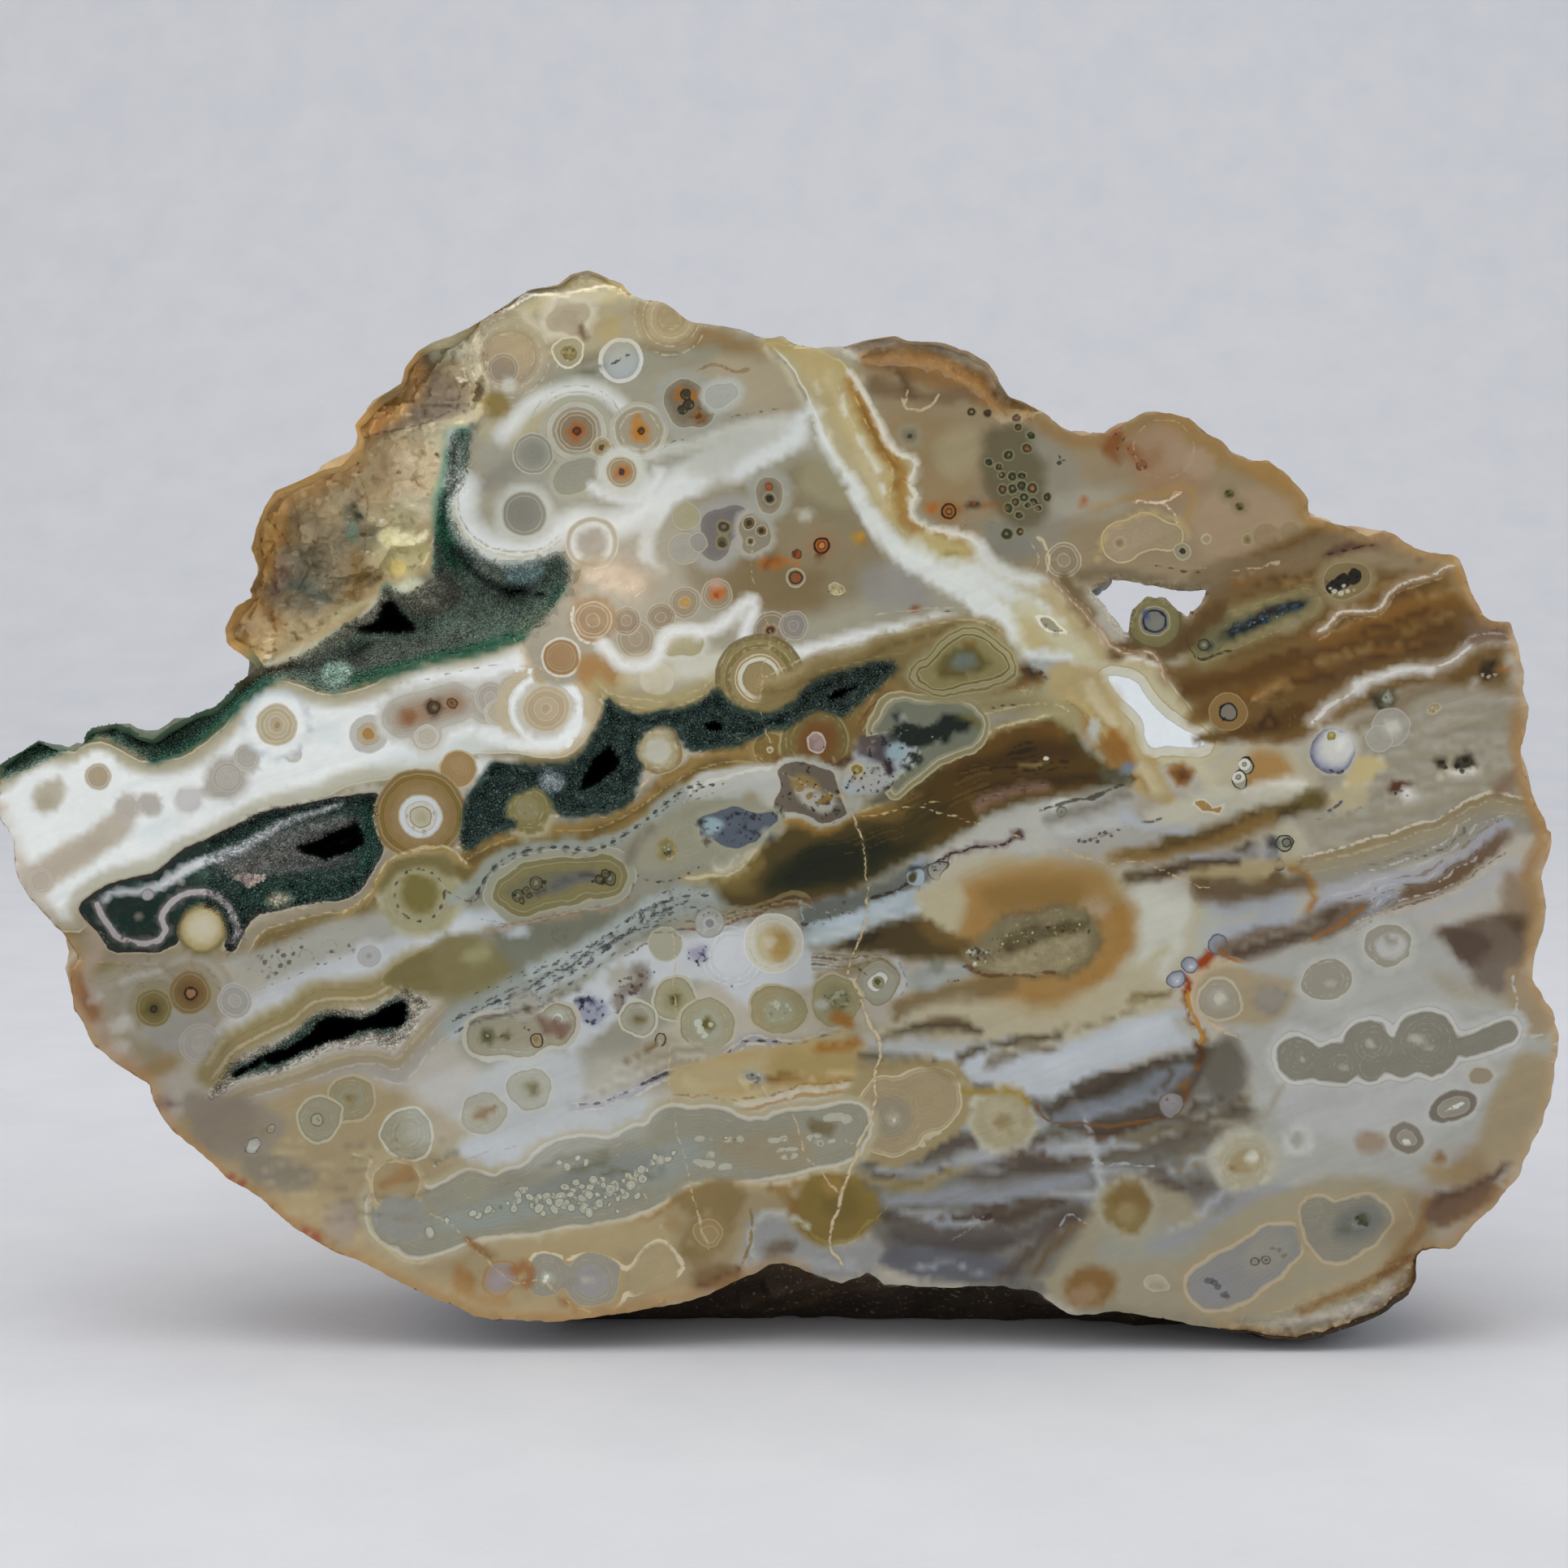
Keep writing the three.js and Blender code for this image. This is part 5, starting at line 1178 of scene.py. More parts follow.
# bright band running into the vein
WBAND = [(840, 585), (870, 596), (905, 590), (922, 566), (950, 552), (978, 540), (990, 516), (960, 510), (930, 522), (890, 540), (856, 560)]
wash(WBAND, (176, 178, 168), 6, 0.95, 1)
LB = [(808, 640), (822, 612), (850, 600), (884, 600), (908, 592), (920, 574), (944, 562), (968, 552), (984, 530), (988, 514)]
brush(LB, 10, (200, 204, 200), 4, 0.95, 1)
line([(x, y - 16) for x, y in LB[2:]], (190, 192, 184), 3, 0.6, 2, 2)
brush([(804, 640), (796, 668), (796, 690), (810, 706)], 10, (192, 194, 188), 5, 0.9, 1)
brush([(800, 560), (826, 552), (860, 548), (892, 532), (930, 522), (970, 515)], 7, (188, 190, 180), 4, 0.8, 1)

# ------------------------------------------------------------------ orbs in the middle of the upper mass
wash([(856, 612), (910, 604), (950, 580), (1000, 560), (1040, 600), (1066, 650), (1090, 700), (1060, 744), (980, 750), (900, 752), (856, 726), (840, 680)], (124, 114, 88), 14, 0.85)
wash([(900, 690), (960, 676), (1020, 700), (1010, 740), (940, 750), (900, 730)], (116, 98, 66), 12, 0.7)
lobes([(885, 650, 24), (905, 640, 20), (880, 672, 20)], (112, 110, 104), (150, 150, 142), 12, (150, 148, 138), inner=(104, 100, 98), gap=5)
fill(union(circ(892, 649, 9.5), circ(890, 668, 9.5), k=5), (84, 78, 56), soft=1.0, line=(122, 116, 88), w=2.6)
fill(union(circ(892, 649, 5.5), circ(890, 669, 5), k=2), (64, 60, 44), soft=0.9, line=(34, 32, 24), w=1.3)
rings(892, 649, (3,), (120, 112, 84), 0.8, 0.8)
lobes([(928, 650, 20), (938, 662, 14), (925, 672, 12)], (128, 122, 104), (158, 156, 146), 5, (158, 152, 132))
for x, y, r, c_ in ((923, 644, 9, (96, 84, 52)), (939, 654, 7.5, (110, 92, 58)), (924, 667, 6, (120, 106, 76)), (846, 636, 18, (150, 146, 118)), (842, 676, 20, (146, 146, 134)), (860, 668, 12, (134, 134, 126))):
    bead(x, y, r, c_, (162, 156, 134), core=(70, 60, 42) if r < 10 else None, rc=r * 0.45 if r < 10 else 0, eye=(44, 38, 26) if r < 10 else None, w=1.4)
lobes([(948, 604, 18), (947, 618, 16)], (134, 126, 108), (150, 150, 138), 10, (160, 156, 138), inner=(118, 110, 94), gap=5)
fill(circ(948, 599, 5), (146, 84, 36), soft=1.0, line=(112, 66, 34), w=1.4)
fill(circ(948, 614, 9), (96, 88, 66), soft=0.9, line=(138, 130, 104), w=2.4)
fill(circ(948, 614, 4.6), (52, 46, 34), soft=0.9, line=(30, 28, 22), w=1.2)
wash([(950, 640), (1000, 640), (1050, 650), (1060, 690), (1010, 720), (960, 700)], (132, 120, 94), 10, 0.8)
fill(circ(1013, 672, 17), (140, 114, 84), soft=5)
fill(circ(1013, 672, 11), (150, 84, 38), soft=0.9, line=(40, 26, 16), w=2.8)
fill(circ(1013, 672, 5.5), (170, 116, 72), soft=0.9, line=(66, 38, 20), w=1.2)
fill(circ(1011, 684, 4.5), (84, 54, 26), soft=2.0)
fill(caps(944, 694, 966, 692, 8, 6), (150, 96, 42), soft=2.6)
fill(caps(946, 694, 958, 692, 3.5, 3), (104, 58, 22), soft=1.6)
fill(circ(982, 683, 6.5), (132, 72, 32), soft=0.9, line=(84, 52, 30), w=1.6)
line([(966, 693), (978, 690), (984, 700), (981, 708)], (160, 108, 56), 3.0, 0.8, 1, 2)
fill(circ(980, 712, 12), (140, 128, 104), soft=1.0, line=(176, 168, 144), w=1.4)
fill(circ(980, 712, 8.5), (128, 82, 46), soft=0.9, line=(58, 44, 32), w=2.2)
fill(circ(980, 712, 3.4), (150, 86, 46), soft=0.9)
for x, y, r, c_ in ((883, 732, 20, (142, 130, 108)), (844, 743, 20, (138, 128, 106)), (783, 787, 24, (142, 132, 110)), (772, 765, 18, (130, 116, 92)), (950, 776, 24, (134, 124, 102)), (978, 771, 18, (134, 130, 122)), (815, 760, 18, (132, 120, 96))):
    bead(x, y, r, c_, (166, 158, 138), shade=tuple(int(v * 0.95) for v in c_), n=2, a=0.9)
fill(circ(881, 720, 8), (166, 140, 120), soft=3)
fill(union(circ(883, 733, 8), circ(890, 728, 5), k=3), (168, 96, 30), soft=1.8)
fill(circ(882, 733, 4), (140, 70, 24), soft=1.4)
fill(circ(844, 743, 6), (176, 130, 44), soft=2.4)
fill(circ(1059, 661, 7), (174, 130, 40), soft=2.2)
fill(circ(1062, 666, 3.5), (150, 106, 40), soft=1.6)
fill(oval(1128, 749, 9, 7, 10), (150, 94, 46), soft=1.0, line=(168, 128, 88), w=1.5)
fill(oval(1128, 748, 4, 3, 0), (96, 44, 20), soft=1.0)
fill(circ(950, 776, 8), (118, 92, 62), soft=0.9, line=(146, 126, 96), w=1.6)
fill(circ(950, 776, 4.4), (84, 56, 38), soft=0.9, line=(40, 28, 22), w=1.3)
fill(poly([(1018, 722), (1030, 716), (1040, 722), (1044, 730), (1032, 736), (1022, 730)], 1), (150, 140, 104), soft=1.0, line=(176, 166, 130), w=1.6)
dots([(1026, 724), (1034, 728), (1030, 731), (1038, 724), (1022, 728)], (70, 62, 40), 1.8, 0.9)
dots([(1029, 727), (1036, 730), (1033, 722)], (214, 208, 180), 1.5, 0.95)
wash([(1040, 700), (1100, 690), (1150, 730), (1130, 760), (1060, 750)], (136, 134, 128), 12, 0.8)
wash([(1000, 560), (1040, 600), (1050, 640), (1000, 620), (970, 590)], (146, 140, 112), 10, 0.8)
fill(poly([(980, 628), (1000, 624), (1002, 640), (986, 646)], 1), (170, 166, 150), soft=3)
line([(1080, 758), (1120, 752), (1150, 750), (1186, 746), (1196, 752)], (176, 168, 146), 1.2, 0.8)
dashes([(1148, 760), (1170, 750), (1200, 752), (1226, 770), (1240, 784)], (56, 50, 38), 1.4, 8, 6, 0.8)
# grey white rings at the left end
fill(circ(730, 669, 33), (160, 156, 138), soft=1.2, line=(186, 182, 164), w=1.6)
fill(circ(730, 669, 27), (196, 196, 188), soft=1.0, line=(180, 176, 158), w=1.4)
fill(circ(730, 669, 19), (150, 146, 134), soft=1.6, line=(176, 172, 158), w=1.4)
fill(circ(730, 669, 9), (142, 138, 126), soft=3)
wash([(740, 690), (800, 690), (830, 710), (800, 740), (760, 740)], (150, 140, 118), 8, 0.8)
brush([(706, 740), (716, 700), (740, 690)], 7, (146, 130, 100), 5, 0.8)
fill(circ(731, 764, 29), (146, 120, 84), soft=2.5)
bead(731, 764, 23, (144, 122, 90), (178, 166, 138), shade=(138, 114, 82), n=2)
line([(708, 748), (704, 764), (710, 784), (724, 794), (744, 792)], (202, 200, 186), 1.8, 0.9)
fill(circ(692, 810, 25), (140, 112, 74), soft=0.9, line=(196, 192, 176), w=3.2)
bead(692, 810, 18, (138, 112, 76), (156, 136, 100), shade=(146, 118, 82), n=1)
wash([(700, 826), (720, 800), (740, 812), (756, 840), (744, 858), (716, 852)], (150, 110, 58), 7, 0.9)
fill(circ(770, 838, 10), (170, 154, 112), soft=3)
fill(circ(810, 836, 22), (190, 188, 172), soft=1.2, line=(174, 166, 140), w=1.3)
fill(circ(810, 836, 14), (178, 172, 148), soft=3)
fill(circ(810, 834, 6), (196, 194, 178), soft=3)
wash([(752, 812), (790, 800), (820, 806), (852, 812), (880, 800), (900, 812), (880, 838), (840, 850), (800, 858), (764, 850)], (184, 178, 154), 9, 0.7)
# lower rim of the upper mass, from the tan band up to white
LOW = [(738, 862), (752, 876), (785, 879), (818, 886), (844, 876), (868, 866), (881, 852), (893, 862), (917, 880), (940, 888), (968, 880), (990, 858), (1006, 842), (1030, 830), (1060, 818), (1090, 812), (1130, 800), (1180, 786)]
brush([(x, y - 14) for x, y in LOW], 14, (158, 146, 104), 7, 0.9, 1)
brush([(x, y - 6) for x, y in LOW], 5, (146, 130, 92), 3, 0.9, 1)
line([(x, y - 1) for x, y in LOW], (182, 172, 144), 2.0, 0.95, 1, 1.0)
line([(x, y - 9) for x, y in LOW], (176, 166, 132), 1.3, 0.8)
line([(x, y - 19) for x, y in LOW], (180, 172, 138), 1.3, 0.6)
fill(union(circ(828, 792, 21), circ(850, 790, 22), k=10), (188, 190, 178), soft=4)
fill(union(circ(829, 792, 17), circ(850, 790, 19), k=8), (154, 148, 118), soft=1.0, line=(180, 174, 150), w=1.5, fine=(4.0, 0.03))
fill(union(circ(832, 792, 9), circ(850, 790, 11), k=8), (162, 154, 120), soft=2.0)
JW = [(743, 794), (756, 812), (776, 822), (800, 818), (812, 806), (819, 783), (842, 776), (872, 779), (894, 766), (915, 745), (930, 738), (928, 751), (915, 784), (922, 805), (946, 810), (972, 806), (1000, 800), (1021, 796), (1050, 786), (1071, 781), (1100, 777), (1131, 772), (1160, 762), (1190, 770)]
brush(JW, 9, (202, 204, 198), 4, 0.95, 1)
line(JW, (214, 216, 212), 3.5, 0.9, 1, 2.5)
line([(x, y + 13) for x, y in JW[13:]], (184, 180, 158), 2.5, 0.8, 1, 1.6)
wash([(820, 806), (860, 820), (900, 806), (916, 790), (930, 806), (904, 830), (860, 846), (826, 850)], (188, 188, 172), 6, 0.9)
wash([(990, 810), (1060, 792), (1130, 782), (1180, 776), (1150, 800), (1080, 812), (1010, 830)], (164, 156, 130), 6, 0.85)
# the ring orb on the border, with its olive skirts
for r_, c_ in ((56, (108, 98, 62)), (49, (134, 122, 82)), (42, (116, 104, 66)), (36, (142, 128, 90))):
    fill(circ(936, 836, r_), c_, soft=1.4, a=0.92, fine=(4.2, 0.05))
rings(936, 836, (52, 45, 39), (168, 156, 118), 1.2, 0.7)
fill(circ(936, 836, 30), (150, 134, 96), soft=0.9, line=(190, 184, 160), w=1.5)
fill(circ(936, 836, 26), (194, 190, 172), soft=0.9)
fill(circ(936, 836, 21), (140, 128, 92), soft=1.0, line=(120, 112, 86), w=1.3, fine=(3.8, 0.05))
fill(circ(934, 842, 15), (146, 128, 90), soft=4)

# ------------------------------------------------------------------ upper right: pinkish chalcedony
wash([(1050, 430), (1240, 470), (1260, 520), (1345, 545), (1410, 515), (1490, 530), (1610, 620), (1640, 690), (1500, 740), (1350, 730), (1290, 720), (1210, 690), (1130, 640), (1100, 540)], (140, 126, 100), 8, 1.0)
wash([(1060, 430), (1120, 425), (1190, 440), (1225, 470), (1235, 510), (1180, 480), (1110, 470), (1070, 460)], (126, 98, 62), 7, 0.95)
brush([(1080, 478), (1110, 486), (1150, 492), (1190, 478), (1220, 480)], 8, (108, 90, 66), 6, 0.8)
brush([(1130, 440), (1170, 452), (1205, 470), (1226, 500)], 9, (138, 106, 66), 7, 0.8)
brush([(1100, 455), (1118, 470), (1132, 486)], 5, (90, 70, 48), 4, 0.8)
wash([(1090, 520), (1150, 500), (1200, 540), (1210, 610), (1160, 650), (1120, 620), (1100, 560)], (138, 120, 88), 14, 0.85)
wash([(1150, 545), (1210, 520), (1220, 560), (1180, 590), (1150, 580)], (152, 142, 112), 12, 0.8)
wash([(1250, 520), (1340, 560), (1330, 640), (1290, 690), (1230, 670), (1270, 600)], (134, 130, 116), 12, 0.85)
wash([(1290, 600), (1370, 590), (1400, 620), (1360, 640), (1290, 640)], (152, 148, 132), 12, 0.8)
wash([(1210, 530), (1262, 520), (1290, 560), (1300, 640), (1250, 670), (1222, 620)], (94, 88, 66), 9, 0.85)
wash([(1205, 640), (1250, 650), (1290, 680), (1260, 700), (1215, 690)], (120, 122, 112), 9, 0.75)
line([(1111, 490), (1114, 503), (1125, 504), (1136, 506), (1150, 496), (1156, 486)], (186, 170, 138), 1.6, 0.8)
line([(1118, 478), (1116, 492), (1112, 502)], (186, 170, 138), 1.4, 0.8)
TOP_R = [(1240, 500), (1290, 522), (1330, 546), (1366, 542), (1400, 520), (1440, 514), (1480, 528), (1505, 550), (1550, 572), (1590, 596), (1608, 620), (1620, 650), (1660, 666)]
brush(TOP_R, 12, (136, 112, 76), 8, 0.95, 2)
brush(TOP_R[5:11], 20, (142, 116, 76), 9, 0.9, 2)
brush(TOP_R[8:11], 15, (150, 120, 74), 8, 0.8, 2)
wash([(1400, 530), (1450, 530), (1490, 560), (1480, 610), (1420, 620), (1390, 580)], (146, 120, 92), 10, 0.85)
wash([(1440, 540), (1490, 550), (1480, 580), (1440, 570)], (152, 132, 108), 8, 0.8)
wash([(1480, 600), (1560, 600), (1600, 640), (1560, 690), (1480, 690), (1460, 640)], (154, 134, 108), 10, 0.85)
fill(circ(1478, 572, 20), (156, 136, 112), soft=2.0, a=0.7)
brush([(1378, 530), (1384, 548), (1374, 556)], 9, (120, 74, 40), 5, 0.8)
brush([(1398, 556), (1410, 566), (1426, 560)], 7, (132, 86, 52), 5, 0.7)
fill(circ(1406, 573, 7), (124, 86, 56), soft=1.2, line=(98, 66, 44), w=1.5)
dots([(1374, 534), (1384, 540), (1380, 528), (1390, 552), (1378, 552), (1392, 545), (1402, 570), (1410, 576), (1396, 560)], (88, 46, 24), 2.2, 0.75)
line([(1350, 628), (1380, 612), (1430, 612), (1462, 596), (1470, 620), (1462, 650)], (156, 128, 82), 5, 0.7, 2, 4)
line([(1395, 622), (1402, 617), (1420, 620), (1434, 619), (1444, 614), (1455, 608)], (206, 186, 158), 1.7, 0.95)
line([(1432, 619), (1440, 626), (1447, 634), (1450, 644)], (206, 186, 158), 1.7, 0.95)
line([(1444, 614), (1446, 606), (1455, 607)], (190, 166, 132), 1.2, 0.8)
for x, y, r, c_ in ((1514, 608, 7.5, (104, 96, 64)), (1527, 624, 6.5, (110, 96, 66))):
    fill(circ(x, y, r + 5), (134, 118, 92), soft=2.5, a=0.8)
    fill(circ(x, y, r), c_, soft=0.9, line=(128, 116, 86), w=1.4)
    dots([(x - 2, y - 2), (x + 2, y + 1), (x, y + 3)], (48, 44, 28), 2.2, 0.8)
# soft orbs above the hole
fill(union(circ(1382, 668, 26), circ(1412, 655, 24), circ(1440, 662, 18), k=14), (150, 136, 108), soft=1.4, line=(182, 166, 128), w=1.8, fine=(4.4, 0.03))
fill(union(circ(1382, 668, 18), circ(1412, 655, 17), k=14), (154, 138, 114), soft=2.0, fine=(4.4, 0.03))
line([(1350, 690), (1362, 656), (1388, 640), (1420, 632), (1452, 642), (1466, 662)], (176, 156, 112), 3.0, 0.7, 2, 2.0)
bead(1379, 669, 8, (150, 132, 106), (168, 150, 120), core=(132, 112, 88), rc=3.5)
bead(1457, 680, 11, (140, 132, 110), (168, 156, 128), core=(78, 74, 56), rc=4, eye=(50, 46, 34))
bead(1486, 664, 7, (150, 136, 108), (170, 158, 130))
bead(1537, 665, 8, (138, 122, 90), (160, 146, 112), core=(112, 102, 74), rc=3.5)
bead(1310, 690, 22, (142, 130, 108), (172, 164, 142), shade=(132, 120, 98), n=2)
bead(1600, 706, 19, (132, 118, 84), (150, 138, 104), core=(104, 96, 66), rc=3, a=0.8)
lobes([(1560, 660, 16), (1590, 655, 12)], (142, 124, 96), (152, 136, 108), 4)
line([(1277, 658), (1288, 668), (1294, 682), (1294, 696), (1290, 708)], (190, 180, 146), 1.6, 0.85, 2, 1.2)
line([(1268, 664), (1278, 676), (1282, 690), (1278, 704)], (170, 160, 126), 1.3, 0.7, 2, 1.2)
rim(circ(1434, 553, 37), -1.0, 1.0, (176, 152, 124), a=0.6)
fill(circ(1434, 553, 30), (150, 130, 106), soft=6, a=0.5)
# ochre rings of the green cluster
CL = [(1197, 507, 6.5), (1216, 509, 6.5), (1253, 516, 6.5), (1255, 527, 5.5), (1270, 536, 6.5), (1218, 569, 6), (1230, 575, 6), (1234, 586, 6), (1243, 561, 7.5), (1265, 552, 7.5), (1248, 588, 7), (1259, 587, 6), (1235, 604, 7), (1248, 603, 7), (1259, 599, 7), (1272, 602, 8), (1262, 613, 6.5), (1290, 612, 6.5), (1252, 618, 6), (1243, 626, 7), (1273, 618, 6), (1279, 626, 5.5), (1256, 634, 6), (1240, 657, 8), (1256, 654, 6), (1266, 622, 5)]
for q, (x, y, r) in enumerate(CL):
    fill(circ(x, y, r * 1.05), (88, 88, 64), soft=0.9, line=(128, 124, 96), w=1.2)
    fill(circ(x, y, r * 0.72), (66, 68, 48) if q % 3 else (112, 72, 44), soft=0.9, line=(46, 50, 36), w=1.5)
    fill(circ(x, y, r * 0.28), (140, 120, 90), soft=0.9, a=0.8)
fill(circ(1216, 509, 3.2), (96, 40, 20), soft=0.9)
fill(circ(1253, 516, 3), (130, 56, 30), soft=0.9)
fill(oval(1147, 628, 8, 7, 0), (160, 96, 38), soft=1.8)
fill(circ(1169, 630, 15), (142, 112, 74), soft=4)
fill(circ(1169, 630, 10), (140, 88, 44), soft=0.9, line=(54, 38, 24), w=2.4)
fill(circ(1169, 630, 4.6), (128, 104, 66), soft=0.9, line=(58, 40, 26), w=1.3)
brush([(1190, 626), (1204, 622), (1222, 620), (1240, 622)], 5, (134, 90, 52), 4, 0.7)
fill(oval(1202, 622, 8, 5, 10), (72, 62, 44), soft=1.6)
fill(oval(1200, 621, 3, 2, 0), (140, 70, 34), soft=1.0)
fill(circ(1335, 617, 6), (150, 98, 58), soft=3.0)
fill(circ(1120, 538, 17), (140, 132, 108), soft=3, a=0.8)
fill(circ(1120, 538, 8), (108, 104, 84), soft=1.6, line=(92, 90, 70), w=1.6)
fill(circ(1120, 538, 3.5), (70, 68, 52), soft=1.4)
dots([(1306, 562), (1310, 567), (1305, 570)], (52, 50, 34), 2.6, 0.85)
dots([(1193, 643), (1199, 648), (1222, 643), (1190, 648)], (60, 50, 40), 1.6, 0.8)

# ------------------------------------------------------------------ the vein
VL = [(950, 424), (966, 442), (985, 466), (1000, 492), (1009, 519), (1014, 540), (1028, 560), (1041, 578), (1052, 598), (1060, 616), (1070, 634), (1083, 649), (1098, 668), (1117, 683), (1140, 700), (1159, 712), (1182, 722), (1201, 733), (1226, 754), (1247, 780), (1266, 803)]
VR = [(1049, 456), (1064, 474), (1070, 489), (1083, 515), (1088, 532), (1096, 544), (1110, 556), (1128, 560), (1129, 576), (1119, 590), (1122, 602), (1131, 609), (1122, 620), (1122, 632), (1138, 646), (1162, 654), (1184, 656), (1202, 666), (1212, 690), (1243, 706), (1285, 717), (1314, 738), (1340, 763), (1369, 797), (1392, 815), (1418, 812), (1440, 836), (1466, 872), (1500, 908)]
VEIN = [(938, 418)] + VL + [(1290, 830), (1330, 850), (1350, 880), (1380, 910), (1420, 940), (1470, 935), (1500, 912)] + VR[::-1][1:] + [(1030, 436), (980, 424)]
vein = poly(VEIN, 1)
fill(grow(vein, 5), (150, 146, 128), soft=4, wob=2)
fill(vein, (168, 158, 124), soft=1.2, line=(196, 192, 172), w=3, wob=2)
brush([(945, 424), (990, 440), (1040, 452)], 9, (164, 146, 96), 6, 0.85)
brush([(1000, 440), (1030, 470), (1052, 510), (1074, 552), (1090, 590), (1096, 620)], 18, (172, 156, 112), 10, 0.9)
brush([(1052, 464), (1066, 500), (1080, 536), (1100, 562), (1114, 580), (1106, 604), (1110, 636), (1130, 654), (1170, 668), (1196, 690)], 9, (152, 120, 66), 6, 0.95, 2)
brush([(1064, 500), (1078, 536), (1096, 560), (1108, 578), (1100, 606)], 4, (130, 98, 48), 3, 0.85, 2)
brush([(1020, 460), (1044, 510), (1062, 560), (1076, 600), (1090, 628)], 5, (184, 172, 134), 4, 0.8, 2)
line([(1038, 490), (1042, 506), (1044, 516)], (206, 204, 190), 2.6, 0.8, 1, 2.0)
line([(1058, 540), (1072, 566), (1084, 590), (1088, 606)], (208, 208, 196), 3.0, 0.85, 1, 2.0)
line([(1030, 470), (1050, 520), (1066, 556)], (190, 180, 140), 1.2, 0.6)
line([(1048, 476), (1062, 508), (1074, 542), (1094, 566), (1102, 584), (1094, 612), (1100, 640), (1120, 660)], (190, 170, 116), 1.2, 0.7)
line([(1056, 486), (1072, 526), (1086, 552), (1106, 566)], (116, 84, 38), 1.1, 0.6)
# white selvages
brush(VL[3:], [3, 4, 5, 6, 7, 8, 9, 10, 11, 12, 13, 14, 15, 15, 16, 17, 17, 14], (204, 208, 202), 3.5, 0.95, 2)
brush(VR[:18], 3.5, (204, 200, 184), 1.8, 0.95, 2)
brush(VR[17:23], 9, (198, 200, 190), 5, 0.95, 2)
brush([(1140, 668), (1180, 690), (1216, 716), (1260, 738), (1300, 762)], 12, (200, 204, 198), 7, 0.95, 2)
line([(940, 422), (962, 446), (980, 470), (996, 498), (1004, 520)], (184, 176, 150), 2.4, 0.8, 2, 1.6)
line([(1010, 470), (1016, 500), (1018, 524), (1030, 552), (1046, 580)], (196, 190, 166), 2.0, 0.7, 2, 1.6)
fill(poly([(1123, 655), (1176, 664), (1196, 682), (1186, 694), (1150, 684)], 1), (170, 156, 108), soft=4, wob=2)
fill(oval(1172, 683, 12, 5, -8), (146, 136, 84), soft=3)
# pale lower part with its druse diamond
wash([(1240, 742), (1290, 745), (1330, 775), (1360, 815), (1350, 850), (1300, 830), (1270, 800)], (184, 180, 150), 7, 0.95)
wash([(1260, 760), (1290, 775), (1320, 800), (1300, 816), (1272, 790)], (172, 158, 116), 6, 0.85)
brush([(1300, 730), (1330, 760), (1362, 796), (1384, 816), (1410, 826)], 9, (168, 152, 112), 6, 0.85)
brush([(1318, 738), (1344, 768), (1372, 800), (1392, 817), (1416, 814), (1436, 836)], 3, (206, 200, 186), 1.6, 0.9, 2)
wash([(1330, 800), (1390, 828), (1430, 845), (1480, 900), (1500, 915), (1450, 940), (1400, 930), (1360, 880)], (186, 184, 164), 7, 0.95)
fill(poly([(1270, 755), (1292, 763), (1312, 778), (1318, 787), (1296, 781), (1278, 770)], 0), (146, 142, 120), soft=0.9, line=(210, 206, 184), w=2.6, wob=2)
dots([(1284, 765), (1290, 769), (1296, 773), (1302, 778), (1288, 772), (1298, 778)], (90, 86, 66), 1.7, 0.85)
# the bright white heart
HEART = [(1362, 833), (1372, 829), (1402, 838), (1412, 858), (1430, 876), (1446, 890), (1488, 912), (1482, 923), (1452, 922), (1434, 920), (1417, 926), (1408, 906), (1408, 890), (1392, 872), (1376, 856)]
hs = poly(HEART, 1)
fill(grow(hs, 20), (178, 170, 140), soft=5, a=0.85, wob=1)
fill(grow(hs, 12), (190, 188, 170), soft=1.2, line=(166, 150, 112), w=1.6, wob=1)
fill(hs, (214, 220, 222), soft=1.0, line=(176, 176, 168), w=1.4, wob=1)
# grey druse where the vein pinches
fill(poly([(1264, 802), (1300, 806), (1336, 816), (1334, 842), (1310, 852), (1282, 846), (1262, 830)], 1), (150, 152, 146), soft=4, wob=2)
brush([(1268, 806), (1290, 808), (1320, 812), (1330, 824)], 5, (202, 206, 202), 3, 0.9, 2)
fill(oval(1302, 838, 22, 9, 8), (110, 110, 104), soft=4, a=0.9)
dots([(1284, 830), (1292, 838), (1298, 835), (1306, 838), (1288, 836), (1312, 842), (1322, 836), (1280, 838)], (46, 46, 40), 2.6, 0.8)
fill(circ(1266, 848, 13), (176, 184, 176), soft=4)
fill(circ(1265, 849, 7), (104, 106, 96), soft=3)
brush([(1256, 812), (1264, 822), (1250, 826)], 8, (72, 52, 30), 5, 0.9)

